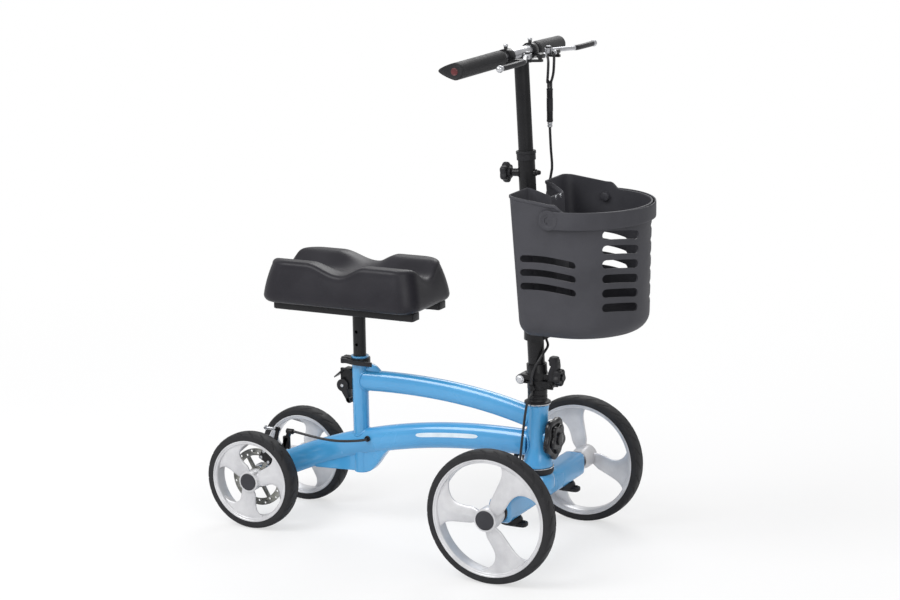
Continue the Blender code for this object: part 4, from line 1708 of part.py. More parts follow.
# Finger trigger under the hood, with two cheeks on the tongue's pin
def make_trigger():
    half = PIN_BRACKET_WIDTH / 2 - SEAT_GAP
    eye = placed(cylinder(TRIGGER_EYE_RADIUS, -half, half), at(TRIGGER_X, 0, TRIGGER_Z) @ TO_Y)
    tail = placed(prism([(TRIGGER_X - TRIGGER_EYE_RADIUS + OVERLAP, TRIGGER_Z),
                         (TRIGGER_X + TRIGGER_TAIL_X - TRIGGER_TAIL_WIDTH, TRIGGER_Z - TRIGGER_TAIL_DROP),
                         (TRIGGER_X + TRIGGER_TAIL_X, TRIGGER_Z - TRIGGER_TAIL_DROP),
                         (TRIGGER_X + TRIGGER_EYE_RADIUS - OVERLAP, TRIGGER_Z)], -half, half), SIDE_VIEW)
    solid = fused(eye, tail)
    reach = 2 * TRIGGER_EYE_RADIUS
    slot = box((TRIGGER_X - reach, TRIGGER_X + reach), (-TONGUE_HALF - SEAT_GAP, TONGUE_HALF + SEAT_GAP),
               (TRIGGER_Z - TONGUE_RADIUS - RUNNING_GAP, TRIGGER_Z + reach))
    hole = placed(cylinder(TRIGGER_PIN_RADIUS + SEAT_GAP, -half - OVERLAP, half + OVERLAP, 12),
                  at(TRIGGER_X, 0, TRIGGER_Z) @ TO_Y)
    piece("seat_pin_trigger", cut(solid, slot, hole), BLACK_PLASTIC, (TRIGGER_X, 0, TRIGGER_Z))


# Silver plate that carries the caliper from the rear axle tube
def make_adapter():
    low = CALIPER_FACE_Y - SEAT_GAP - ADAPTER_THICKNESS
    high = CALIPER_FACE_Y - SEAT_GAP
    inner = REAR_AXLE_TUBE_RADIUS + SEAT_GAP
    ring = sleeve(inner, inner + ADAPTER_RING_WALL, low, high, 16)
    arm = box((inner + ADAPTER_RING_WALL / 2, ADAPTER_REACH),
              (-CALIPER_HALF_WIDTH, ADAPTER_ARM_WIDTH - CALIPER_HALF_WIDTH), (low, high))
    plate = fused(ring, arm)
    piece("caliper_bracket", placed(plate, CALIPER_FRAME), BRIGHT_STEEL, (0, -high, REAR_AXLE_Z))


# Disc brake caliper that straddles the rotor, with the arm's pivot boss and the cable stop
def make_caliper():
    low = CALIPER_FACE_Y
    pad_in = ROTOR_INNER_Y - ROTOR_GAP
    pad_out = ROTOR_OUTER_Y + ROTOR_GAP
    outside = pad_out + CALIPER_OUTER_THICKNESS
    bridge_r = ROTOR_RADIUS + BRIDGE_GAP
    profile = [(CALIPER_INNER_RADIUS, low), (CALIPER_OUTER_RADIUS, low), (CALIPER_OUTER_RADIUS, outside),
               (CALIPER_INNER_RADIUS, outside), (CALIPER_INNER_RADIUS, pad_out), (bridge_r, pad_out),
               (bridge_r, pad_in), (CALIPER_INNER_RADIUS, pad_in)]
    body = placed(prism(profile, -CALIPER_HALF_WIDTH, CALIPER_HALF_WIDTH), Matrix.Rotation(pi / 2, 4, "X"))
    body = placed(eased(body, CALIPER_EASE), CALIPER_FRAME)
    boss = placed(cylinder(CALIPER_BOSS_RADIUS, low - CALIPER_BOSS_HEIGHT, low + OVERLAP),
                  CALIPER_FRAME @ at(ARM_PIVOT_R, ARM_PIVOT_V, 0))
    strap_half = STRAP_THICKNESS / 2
    strap = prism([(STRAP_X, STRAP_Z - STRAP_DEPTH), (STRAP_X + STRAP_THICKNESS, STRAP_Z - STRAP_DEPTH / 2),
                   (STOP_X + strap_half, STOP_Z), (STOP_X - strap_half, STOP_Z), (STRAP_X - strap_half, STRAP_Z)],
                  STOP_Y - STRAP_HALF_IN, STOP_Y + STRAP_HALF_OUT)
    strap.transform(SIDE_VIEW)
    barrel = placed(cylinder(STOP_RADIUS, STOP_X - STOP_LENGTH / 2, STOP_X + STOP_LENGTH / 2, 12),
                    at(0, -STOP_Y, STOP_Z) @ TO_X)
    caliper = fused(body, boss, strap, barrel)
    inlet = placed(cylinder(CABLE_RADIUS + RUNNING_GAP, STOP_X, STOP_X + STOP_LENGTH, 12),
                   at(0, -STOP_Y, STOP_Z) @ TO_X)
    caliper = cut(caliper, inlet)
    piece("caliper_body", caliper, BLACK_PAINT, (0, -low, REAR_AXLE_Z))


def arm_pivot():
    high = CALIPER_FACE_Y - CALIPER_BOSS_HEIGHT - SEAT_GAP
    return CALIPER_FRAME @ Vector((ARM_PIVOT_R, ARM_PIVOT_V, high))


# Arm that the cable pulls towards its stop
def make_caliper_arm():
    pivot = arm_pivot()
    tip = Vector((pivot.x + CALIPER_ARM_LEAN, 0, STOP_Z))
    along = Vector((tip.x - pivot.x, 0, tip.z - pivot.z))
    length = along.length
    turn = at(pivot.x, pivot.y, pivot.z) @ Matrix.Rotation(atan2(along.x, along.z), 4, "Y")
    half = CALIPER_ARM_WIDTH / 2
    tip_half = half * CALIPER_ARM_TAPER
    bar = prism([(-half, 0), (half, 0), (tip_half, length), (-tip_half, length)], 0,
                CALIPER_ARM_THICKNESS - OVERLAP)
    bar.transform(Matrix.Rotation(pi / 2, 4, "X"))
    bar.transform(at(0, CALIPER_ARM_THICKNESS, 0))
    hub = placed(cylinder(CALIPER_BOSS_RADIUS - OVERLAP, 0, CALIPER_ARM_THICKNESS + OVERLAP), TO_Y)
    clamp = placed(cylinder(half, 0, CALIPER_ARM_THICKNESS + OVERLAP, 12), at(0, 0, length) @ TO_Y)
    arm = fused(bar, hub, clamp)
    piece("caliper_arm", placed(arm, turn), BRIGHT_STEEL, pivot)


for item in list(bpy.data.objects):
    bpy.data.objects.remove(item, do_unlink=True)
root = bpy.data.objects.new("knee_walker", None)
root.location = (FOOTPRINT_SHIFT, 0, 0)
bpy.context.collection.objects.link(root)

make_wheels()
make_rotor()
make_rear_axle()
make_main_frame()
make_headset()
make_steering_knob()
make_front_beam()
make_front_axles()
make_releases()
make_fold_base()
make_fold_yoke()
make_fold_pin()
make_fold_latch()
make_column()
make_column_collar()
make_height_knob()
make_bracket()
make_basket()
make_bail()
make_stem()
make_grips()
make_perches()
make_brake_levers()
make_splitter()
make_grommets()
make_cables()
make_seat_post()
make_seat_frame()
make_knee_pad()
make_seat_clamp()
make_seat_clamp_lever()
make_pin_bracket()
make_trigger()
make_adapter()
make_caliper()
make_caliper_arm()
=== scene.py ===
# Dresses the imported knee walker: paint, rubber, moulded plastic, the shaped pad and the small hardware.
# Metres in the walker's own frame: +X is the way it rolls, +Y its left side, +Z up.
# A profile in a dictionary is in millimetres, as (radius, height) pairs.
import json
from math import cos, pi, radians, sin, tan

import bpy
from mathutils import Matrix, Vector


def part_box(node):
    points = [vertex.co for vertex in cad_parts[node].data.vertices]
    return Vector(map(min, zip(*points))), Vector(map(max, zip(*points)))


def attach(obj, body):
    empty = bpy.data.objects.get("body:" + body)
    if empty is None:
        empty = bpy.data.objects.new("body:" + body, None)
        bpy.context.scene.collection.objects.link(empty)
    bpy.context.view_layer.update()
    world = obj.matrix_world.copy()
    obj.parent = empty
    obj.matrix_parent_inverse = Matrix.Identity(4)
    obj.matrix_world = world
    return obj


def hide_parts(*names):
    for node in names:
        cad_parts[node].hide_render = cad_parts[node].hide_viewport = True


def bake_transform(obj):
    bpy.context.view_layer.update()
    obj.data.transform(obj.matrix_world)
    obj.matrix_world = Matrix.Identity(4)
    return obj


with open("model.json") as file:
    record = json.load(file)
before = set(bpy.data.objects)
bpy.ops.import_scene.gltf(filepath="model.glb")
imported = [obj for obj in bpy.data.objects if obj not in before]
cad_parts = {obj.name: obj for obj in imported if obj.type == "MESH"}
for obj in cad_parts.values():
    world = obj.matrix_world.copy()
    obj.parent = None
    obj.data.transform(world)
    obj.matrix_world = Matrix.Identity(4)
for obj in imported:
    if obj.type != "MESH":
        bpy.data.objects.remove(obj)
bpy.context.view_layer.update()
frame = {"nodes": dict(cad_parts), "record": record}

nodes = frame["nodes"]
print("frame loaded:", len(nodes), "nodes")

# Where the walker's main axes stand
place = {"frontX": 0.22045, "rearX": -0.35175, "seatX": -0.16175, "frontAxleZ": 0.127, "rearAxleZ": 0.0975,
         "frontTrack": 0.4115, "rearTrack": 0.2066, "foldX": 0.19245, "foldZ": 0.3385, "columnLean": 2.65}
sides = ((-1, "right"), (1, "left"))
toX = Matrix.Rotation(pi / 2, 4, "Y")
toY = Matrix.Rotation(-pi / 2, 4, "X")
toRear = Matrix.Rotation(-pi / 2, 4, "Y")
fromSide = Matrix.Rotation(pi / 2, 4, "X")


def at(x, y, z):
    return Matrix.Translation((x, y, z))


def facing(side, x=0, y=0, z=0):
    # a place whose own Z points to the walker's right (-1) or left (1)
    return at(x, y, z) @ Matrix.Rotation(-side * pi / 2, 4, "X")


def outward(x, y, z):
    return facing(1 if y > 0 else -1, x, y, z)


steererStand = at(place["frontX"], 0, 0)
seatStand = at(place["seatX"], 0, 0)
rearStand = at(place["rearX"], 0, 0)
rearAxleStand = at(place["rearX"], 0, place["rearAxleZ"]) @ toY
columnFrame = at(place["frontX"], 0, place["foldZ"]) @ Matrix.Rotation(-radians(place["columnLean"]), 4, "Y")


def clearChoice():
    if bpy.context.object and bpy.context.object.mode != "OBJECT":
        bpy.ops.object.mode_set(mode="OBJECT")
    bpy.ops.object.select_all(action="DESELECT")


def only(item):
    clearChoice()
    item.select_set(True)
    bpy.context.view_layer.objects.active = item


def editAll(item):
    only(item)
    bpy.ops.object.mode_set(mode="EDIT")
    bpy.ops.mesh.select_all(action="SELECT")


def endEditing(item):
    bpy.ops.mesh.select_all(action="SELECT")
    bpy.ops.mesh.normals_make_consistent(inside=False)
    bpy.ops.object.mode_set(mode="OBJECT")
    return item


def tidyMesh(item, distance=0.00001):
    # merges what coincides and turns the faces outwards
    editAll(item)
    bpy.ops.mesh.remove_doubles(threshold=distance)
    bpy.ops.mesh.dissolve_degenerate(threshold=distance)
    return endEditing(item)


def settle(item, matrix):
    # moves a finished piece to its place and puts that place in its mesh
    only(item)
    item.matrix_world = matrix @ item.matrix_world
    bpy.ops.object.transform_apply(location=True, rotation=True, scale=True)
    return item


def shadeRound(item, degrees=40):
    only(item)
    bpy.ops.object.shade_smooth_by_angle(angle=radians(degrees))
    return item


def applyModifier(item, kind, **settings):
    only(item)
    change = item.modifiers.new(kind.lower(), kind)
    for key, value in settings.items():
        setattr(change, key, value)
    bpy.ops.object.modifier_apply(modifier=change.name)
    return item


def softened(item, width, degrees=30):
    applyModifier(item, "BEVEL", width=width, segments=2, limit_method="ANGLE",
                  angle_limit=radians(degrees), harden_normals=False)
    return shadeRound(item, degrees + 5)


def turned(name, profile, steps=64, matrix=None, rounding=0, degrees=30, level=0, unit=0.001, closed=True):
    # a profile drawn by extruding one vertex, closed where it has a bore, then spun about Z
    points = [(r * unit, h * unit + level) for r, h in profile]
    if closed and points[0][0]:
        points.append(points[0])
    clearChoice()
    bpy.ops.mesh.primitive_plane_add(size=0.001)
    item = bpy.context.object
    item.name = name
    editAll(item)
    bpy.ops.mesh.merge(type="CENTER")
    bpy.ops.transform.translate(value=(points[0][0], 0, points[0][1]))
    for (r0, h0), (r1, h1) in zip(points, points[1:]):
        bpy.ops.mesh.extrude_region_move(TRANSFORM_OT_translate={"value": (r1 - r0, 0, h1 - h0)})
    bpy.ops.mesh.select_all(action="SELECT")
    bpy.ops.mesh.spin(steps=steps, angle=2 * pi, center=(0, 0, 0), axis=(0, 0, 1))
    tidyMesh(item)
    if rounding:
        softened(item, rounding, degrees)
    if matrix:
        settle(item, matrix)
    return shadeRound(item, degrees)


def shapedGrid(name, around, along, spot, wrapped=True, closed=True):
    # a grid primitive whose points go where spot(u, v) says, with u round the piece and v along it
    clearChoice()
    bpy.ops.mesh.primitive_grid_add(x_subdivisions=around, y_subdivisions=along, size=1)
    item = bpy.context.object
    item.name = name
    for point in item.data.vertices:
        u = round((point.co.x + 0.5) * around) / around
        v = round((point.co.y + 0.5) * along) / along
        point.co = spot(0 if wrapped and u == 1 else u, v)
    editAll(item)
    bpy.ops.mesh.remove_doubles(threshold=0.000002)
    if closed:
        bpy.ops.mesh.select_all(action="SELECT")
        bpy.ops.mesh.fill_holes(sides=0)
    return endEditing(item)


def stacked(name, rings):
    # a closed skin over rings that all have the same number of points
    count, last = len(rings[0]), len(rings) - 1
    return shapedGrid(name, count, last, lambda u, v: rings[round(v * last)][round(u * count) % count])


def block(name, low, high, rounding=0.001):
    clearChoice()
    size = [b - a for a, b in zip(low, high)]
    bpy.ops.mesh.primitive_cube_add(size=1, location=[(a + b) / 2 for a, b in zip(low, high)], scale=size)
    item = bpy.context.object
    item.name = name
    bpy.ops.object.transform_apply(location=True, rotation=True, scale=True)
    return softened(item, rounding)


def curveMesh(name, lines, closed=True, ripple=(1, 1), **settings):
    # lines of points as one curve, made a mesh; a ripple changes its thickness from point to point
    clearChoice()
    curve = bpy.data.curves.new(name, "CURVE")
    for key, value in settings.items():
        setattr(curve, key, value)
    for points in lines:
        line = curve.splines.new("POLY")
        line.points.add(len(points) - 1)
        for k, (knot, point) in enumerate(zip(line.points, points)):
            knot.co = (*point, 1)
            knot.radius = ripple[k % 2]
        line.use_cyclic_u = closed
    item = bpy.data.objects.new(name, curve)
    bpy.context.collection.objects.link(item)
    only(item)
    bpy.ops.object.convert(target="MESH")
    return bpy.context.object


def plate(name, outlines, thickness, matrix=None, rounding=0.0005):
    # a flat curve with its holes, thickened both ways from its own plane
    lines = [[(x, y, 0) for x, y in outline] for outline in outlines]
    item = curveMesh(name, lines, dimensions="2D", fill_mode="BOTH", extrude=thickness / 2 - rounding,
                     bevel_depth=rounding, bevel_resolution=1, offset=-rounding)
    tidyMesh(item)
    if matrix:
        settle(item, matrix)
    return shadeRound(item, 35)


def ring(radius, count=32, centre=(0, 0)):
    angles = [2 * pi * k / count for k in range(count)]
    return [(centre[0] + radius * cos(a), centre[1] + radius * sin(a)) for a in angles]


def joined(name, *items):
    only(items[0])
    for other in items[1:]:
        other.select_set(True)
    if len(items) > 1:
        bpy.ops.object.join()
    items[0].name = name
    items[0].data.name = name
    return items[0]


def carved(item, cutter):
    applyModifier(item, "BOOLEAN", operation="DIFFERENCE", solver="EXACT", object=cutter)
    bpy.data.objects.remove(cutter)
    return item


def roundedCopy(node, width=0.0005):
    # the CAD node's own shape, merged, with its real edges eased
    item = nodes[node].copy()
    item.data = nodes[node].data.copy()
    item.name = node + "Fine"
    for key in list(item.keys()):
        del item[key]
    item.parent = None
    bpy.context.collection.objects.link(item)
    item.hide_viewport = item.hide_render = False
    tidyMesh(item, 0.00002)
    bpy.ops.object.mode_set(mode="EDIT")
    bpy.ops.mesh.select_all(action="SELECT")
    bpy.ops.mesh.dissolve_limited(angle_limit=radians(1))
    bpy.ops.object.mode_set(mode="OBJECT")
    return softened(item, width)


def smoothstep(t):
    t = min(1, max(0, t))
    return t * t * (3 - 2 * t)


def signed(value, power):
    return (1 if value > 0 else -1) * abs(value) ** power


def curveThrough(points, steps):
    # points on a smooth curve through given ones
    points = [Vector(p) for p in points]
    ends = [2 * points[0] - points[1]] + points + [2 * points[-1] - points[-2]]
    dense = []
    for k in range(1, len(ends) - 2):
        a, b, c, d = ends[k - 1:k + 3]
        for step in range(steps):
            t = step / steps
            dense.append((2 * b + (c - a) * t + (2 * a - 5 * b + 4 * c - d) * t ** 2
                          + (3 * b - a - 3 * c + d) * t ** 3) / 2)
    return dense + [points[-1]]


# Materials, with the sizes of their patterns in millimetres

def toLinear(code):
    channels = []
    for k in (1, 3, 5):
        c = int(code[k:k + 2], 16) / 255
        channels.append(c / 12.92 if c <= 0.04045 else ((c + 0.055) / 1.055) ** 2.4)
    return (*channels, 1)


def addNode(tree, kind, settings=(), links=()):
    node = tree.nodes.new("ShaderNode" + kind)
    for key, value in dict(settings).items():
        if isinstance(key, int) or key in node.inputs:
            node.inputs[key].default_value = value
        else:
            setattr(node, key, value)
    for key, source in dict(links).items():
        tree.links.new(source, node.inputs[key])
    return node


def surface(name, colour, dark, roughness, cloud, grain, bump, depth, drift=0.06, fleck=None, fleckFrom=0.6,
            fleckShare=0.35, stretch=(1, 1, 1), metallic=0.0, coat=0.0, coatRoughness=0.1, sheen=0.0,
            specular=0.5):
    # base colour clouded by slow wear, a fine grain as bump, and roughness that drifts with the clouds
    material = bpy.data.materials.new(name)
    material.use_nodes = True
    material.diffuse_color = toLinear(colour)
    tree = material.node_tree
    shader = tree.nodes["Principled BSDF"]
    for key, value in (("Metallic", metallic), ("Coat Weight", coat), ("Coat Roughness", coatRoughness),
                       ("Sheen Weight", sheen), ("Specular IOR Level", specular)):
        shader.inputs[key].default_value = value
    spot = addNode(tree, "TexCoord").outputs["Object"]
    stretched = addNode(tree, "Mapping", {"Scale": stretch}, {"Vector": spot}).outputs[0]
    clouds = addNode(tree, "TexNoise", {"Scale": 1000 / cloud, "Detail": 3.0}, {"Vector": spot}).outputs[0]
    grains = addNode(tree, "TexNoise", {"Scale": 1000 / grain, "Detail": 2.0},
                     {"Vector": stretched}).outputs[0]
    worn = addNode(tree, "MapRange", {"From Min": 0.3, "From Max": 0.62}, {"Value": clouds})
    shades = addNode(tree, "Mix", {"data_type": "RGBA", 6: toLinear(dark), 7: toLinear(colour)},
                     {0: worn.outputs[0]})
    specks = addNode(tree, "MapRange", {"From Min": fleckFrom, "From Max": 0.75, "To Max": fleckShare},
                     {"Value": grains})
    flecked = addNode(tree, "Mix", {"data_type": "RGBA", 7: toLinear(fleck or colour)},
                      {0: specks.outputs[0], 6: shades.outputs[2]})
    dulled = addNode(tree, "MapRange", {"From Min": 0.3, "From Max": 0.7, "To Min": roughness - drift,
                                                  "To Max": roughness + drift}, {"Value": clouds})
    relief = addNode(tree, "Bump", {"Strength": bump, "Distance": depth / 1000}, {"Height": grains})
    tree.links.new(flecked.outputs[2], shader.inputs["Base Color"])
    tree.links.new(dulled.outputs[0], shader.inputs["Roughness"])
    tree.links.new(relief.outputs[0], shader.inputs["Normal"])
    return material


# powder-coated steel tube: glossy sky-blue baked paint with a faint orange peel about 2 mm across
skyPowderCoat = surface("skyPowderCoat", "#469ACF", "#3F90C5", 0.25, cloud=120, grain=2.2, bump=0.08,
                        depth=0.15, drift=0.04, coat=0.7, coatRoughness=0.07)
# black powder-coated steel: deep black with a soft satin sheen
blackPowderCoat = surface("blackPowderCoat", "#1C1C1E", "#151517", 0.3, cloud=50, grain=1.2, bump=0.1,
                          depth=0.1, specular=0.25)
# glass-filled nylon for the knobs, collars and levers, and for the black sheath of painted dark reflection on
# the brake levers: matt black with a fine moulded grain of 0.8 mm
mouldedNylon = surface("mouldedNylon", "#222225", "#1B1B1E", 0.44, cloud=30, grain=0.8, bump=0.25, depth=0.12,
                       specular=0.25, fleck="#3A3A3F", fleckShare=0.4)
# polished nylon of the steering knob: black with a wet-looking shine
glossNylon = surface("glossNylon", "#1B1B1E", "#161618", 0.2, cloud=30, grain=0.8, bump=0.05, depth=0.06,
                     specular=0.4)
# pressed hub caps: charcoal nylon, a shade paler than the knobs
capNylon = surface("capNylon", "#35353A", "#2D2D31", 0.5, cloud=30, grain=0.8, bump=0.25, depth=0.12,
                   specular=0.3, fleck="#4A4A4F", fleckShare=0.4)
# polypropylene basket: charcoal with a spark-eroded texture about 1 mm across and a dusty bloom
texturedPolypropylene = surface("texturedPolypropylene", "#3F3F44", "#36363B", 0.56, cloud=70, grain=1,
                                bump=0.3, depth=0.15, drift=0.08, specular=0.3, fleck="#4F4F54",
                                fleckShare=0.4)
# injection-moulded resin with silver flake, as wheel centres are: pale grey, a soft metallic drift
silverResin = surface("silverResin", "#D2D2D4", "#BFBFC2", 0.36, cloud=35, grain=0.9, bump=0.06, depth=0.1,
                      metallic=0.35, fleck="#DEDEE0", fleckFrom=0.55, fleckShare=0.5)
# solid polyurethane tyre: dark grey, dull, with a dusty film on its raised faces
tyreRubber = surface("tyreRubber", "#29292B", "#202022", 0.6, cloud=20, grain=1.2, bump=0.3, depth=0.2,
                     drift=0.1, specular=0.25, fleck="#454547", fleckFrom=0.58, fleckShare=0.5)
# thermoplastic rubber of the hand grips: soft matt black with a velvet bloom
gripRubber = surface("gripRubber", "#262628", "#1D1D1F", 0.56, cloud=20, grain=0.9, bump=0.3, depth=0.15,
                     sheen=0.04, specular=0.25, fleck="#3B3B3E", fleckShare=0.3)
# self-skinned polyurethane foam: violet-black skin with a fine leather-like grain of about 1.5 mm
foamSkin = surface("foamSkin", "#27262B", "#212025", 0.4, cloud=60, grain=1.5, bump=0.35, depth=0.18,
                   drift=0.05, specular=0.22, fleck="#45444B", fleckShare=0.3)
# zinc-plated steel of bolts, nuts and pins: bright and slightly blotched
zincSteel = surface("zincSteel", "#C9CACD", "#AEB0B4", 0.28, cloud=6, grain=0.7, bump=0.1, depth=0.1,
                    metallic=1.0)
# brushed aluminium of the handlebar's bare middle and the levers: fine lines across the bar
brushedAluminium = surface("brushedAluminium", "#CDCED1", "#B7B8BC", 0.32, cloud=30, grain=0.6, bump=0.12,
                           depth=0.1, metallic=1.0, stretch=(1, 0.08, 1))
# ground steel of the brake disc: grey with swirling grinding marks
groundSteel = surface("groundSteel", "#A2A29E", "#86867F", 0.34, cloud=12, grain=0.6, bump=0.2, depth=0.1,
                      metallic=1.0)
# vinyl cable sheath: black, smooth and a little shiny
cableVinyl = surface("cableVinyl", "#1E1E21", "#161618", 0.38, cloud=20, grain=0.8, bump=0.1, depth=0.08)
# dull red polycarbonate of the plain discs in the grips' ends
redInsert = surface("redInsert", "#5C2225", "#501D20", 0.4, cloud=10, grain=0.8, bump=0.1, depth=0.1)
# printed film of the stripe: pale silver-grey, a little duller than the paint, with a dusty drift
stripeFilm = surface("stripeFilm", "#D9E4EC", "#C8D6E0", 0.4, cloud=20, grain=0.8, bump=0.05, depth=0.05)
slotFinish = {"frame_paint": skyPowderCoat, "wheel_resin": silverResin, "tyre_rubber": tyreRubber,
              "black_plastic": mouldedNylon, "basket_plastic": texturedPolypropylene,
              "black_paint": blackPowderCoat, "bright_steel": zincSteel, "rotor_steel": groundSteel,
              "grip_rubber": gripRubber, "pad_vinyl": foamSkin, "cable_sheath": cableVinyl}
slotOf = {part["node"]: part["material_slot"] for part in frame["record"]["subparts"]}
bodyOf = {node: body for body, members in frame["record"]["behaviour"]["bodies"].items() for node in members}


def paint(item, material):
    item.data.materials.clear()
    item.data.materials.append(material)


def finish(item, material, body, slot, *replaced):
    # paints a finished piece, seats it on its body and hides the CAD nodes that it stands for
    paint(item, material)
    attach(item, body)
    if replaced:
        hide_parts(*replaced)


def stands(item, material, node):
    # a piece that takes the body of the CAD node it stands for
    finish(item, material, bodyOf[node], slotOf[node], node)


def bright(item, body):
    finish(item, zincSteel, body, "bright_steel")


for name, node in nodes.items():
    paint(node, slotFinish[slotOf[name]])
print("materials ready")

# Camera at the photograph's angle, a long lens about 4.6 m away
view = {"place": (2.07153, -3.97903, 1.48924), "azimuth": 27.07, "elevation": 12.8, "roll": -0.89,
        "lens": 96.16, "filmWidth": 36, "farthest": 60}
az, el, roll = (radians(view[key]) for key in ("azimuth", "elevation", "roll"))
back = Vector((cos(el) * sin(az), -cos(el) * cos(az), sin(el)))
right = Vector((cos(az), sin(az), 0))
up = back.cross(right)
across = cos(roll) * right + sin(roll) * up
upright = cos(roll) * up - sin(roll) * right
bpy.ops.object.camera_add()
camera = bpy.context.object
camera.name = "camera"
camera.data.lens = view["lens"]
camera.data.sensor_width = view["filmWidth"]
camera.data.clip_end = view["farthest"]
camera.matrix_world = at(*view["place"]) @ Matrix((across, upright, back)).transposed().to_4x4()
bpy.context.scene.camera = camera
bpy.context.scene.view_settings.view_transform = "Standard"
print("camera ready")

# Studio: three soft lamps, an even white surround and a pale floor that keeps the shadow
studio = {"surround": 0.60, "aim": (0, 0, 0.35), "floorSize": 24, "floorGlow": 0.62, "glowFrom": 0.5,
          "glowTo": 2.6, "floorColour": "#E9E9EA", "lamps": {"keyLamp": (95, (-1.4, -2.4, 3.2), 2.4),
                                                             "fillLamp": (31, (2.5, -2.3, 2.0), 2.2),
                                                             "rimLamp": (46, (-0.6, 2.6, 2.8), 2.2)}}
for name, (power, where, size) in studio["lamps"].items():
    bpy.ops.object.light_add(type="AREA", location=where)
    lamp = bpy.context.object
    lamp.name = name
    lamp.data.energy = power
    lamp.data.shape = "DISK"
    lamp.data.size = size
    lamp.rotation_euler = (Vector(where) - Vector(studio["aim"])).to_track_quat("Z", "Y").to_euler()
# the surround is full white to the camera and through clear pieces, and dimmer as a light
world = bpy.data.worlds.new("surround")
bpy.context.scene.world = world
world.use_nodes = True
tree = world.node_tree
path = addNode(tree, "LightPath")
seen = addNode(tree, "Math", {"operation": "MAXIMUM"},
               {0: path.outputs["Is Camera Ray"], 1: path.outputs["Is Transmission Ray"]})
strength = addNode(tree, "MapRange", {"To Min": studio["surround"], "To Max": 1.0},
                   {"Value": seen.outputs[0]})
tree.nodes["Background"].inputs[0].default_value = (1, 1, 1, 1)
tree.links.new(strength.outputs[0], tree.nodes["Background"].inputs[1])
bpy.ops.mesh.primitive_plane_add(size=studio["floorSize"])
floor = bpy.context.object
floor.name = "floor"
floorPaper = bpy.data.materials.new("backgroundPaper")
floorPaper.use_nodes = True
tree = floorPaper.node_tree
shader = tree.nodes["Principled BSDF"]
shader.inputs["Base Color"].default_value = toLinear(studio["floorColour"])
shader.inputs["Roughness"].default_value = 0.9
shader.inputs["Specular IOR Level"].default_value = 0.1
path = addNode(tree, "LightPath")
spot = addNode(tree, "TexCoord").outputs["Object"]
away = addNode(tree, "VectorMath", {"operation": "LENGTH"}, {0: spot})
glowing = addNode(tree, "MapRange", {"interpolation_type": "SMOOTHSTEP", "From Min": studio["glowFrom"],
                                               "From Max": studio["glowTo"], "To Min": studio["floorGlow"],
                                               "To Max": 1.0}, {"Value": away.outputs["Value"]})
share = addNode(tree, "Math", {"operation": "MULTIPLY"},
                {0: path.outputs["Is Camera Ray"], 1: glowing.outputs[0]})
glow = addNode(tree, "Emission", {"Color": (1, 1, 1, 1), "Strength": 1.0})
mixed = addNode(tree, "MixShader", (), {0: share.outputs[0], 1: shader.outputs[0], 2: glow.outputs[0]})
tree.links.new(mixed.outputs[0], tree.nodes["Material Output"].inputs["Surface"])
paint(floor, floorPaper)
print("studio ready")

# Knee pad: moulded foam with four raised corners, a valley across and a trough along
pad = {"length": 0.339, "width": 0.190, "shift": -0.004, "low": 0.4568, "height": 0.082, "flare": 0.0135,
       "corner": 0.038, "bottomEdge": 0.012, "topEdge": 0.010, "valleyAt": 0.006, "valleyRear": 0.074,
       "valleyFront": 0.054, "valleyShare": 0.70, "troughHalf": 0.057, "troughDepth": 0.0265,
       "sideBulge": 0.0012, "cornerSteps": 12, "longSteps": 44, "shortSteps": 26, "edgeSteps": 6,
       "sideSteps": 8, "topSteps": 24, "fill": 0.95}


def swell(t):
    return cos(pi * t / 2) ** 2 if abs(t) < 1 else 0


def padOutline(inset, corner):
    # a rounded rectangle with the same number of points for every inset
    halfX, halfY = pad["length"] / 2 - inset - corner, pad["width"] / 2 - inset - corner
    turns = pad["cornerSteps"]
    corners = ((1, 1), (-1, 1), (-1, -1), (1, -1))
    points = []
    for number, (sx, sy) in enumerate(corners):
        for k in range(turns + 1):
            a = pi / 2 * (number + k / turns)
            points.append((sx * halfX + corner * cos(a), sy * halfY + corner * sin(a)))
        nx, ny = corners[(number + 1) % 4]
        goal = (nx * halfX + corner * cos(a), ny * halfY + corner * sin(a))
        begin = points[-1]
        steps = pad["shortSteps"] if number % 2 else pad["longSteps"]
        for k in range(1, steps):
            points.append([begin[n] + (goal[n] - begin[n]) * k / steps for n in (0, 1)])
    return points


def padLevel(x, y):
    ahead = x - pad["valleyAt"]
    across = pad["valleyShare"] * swell(ahead / pad["valleyFront" if ahead > 0 else "valleyRear"])
    along = swell(y / pad["troughHalf"])
    return pad["low"] + pad["height"] - pad["troughDepth"] * (1 - (1 - across) * (1 - along))


def padTopRing(inset, sink, share=1):
    # a ring on the drafted side or the crowned top, at the level that the top has there
    foot = pad["low"] + pad["bottomEdge"]
    points = []
    for (x0, y0), (x1, y1) in zip(padOutline(inset, pad["corner"]),
                                  padOutline(inset + pad["flare"], pad["corner"])):
        level = padLevel(x1 * share, y1 * share)
        t = (level - foot) / (pad["height"] - pad["bottomEdge"])
        points.append(((x0 + (x1 - x0) * t) * share, (y0 + (y1 - y0) * t) * share, level - sink))
    return points


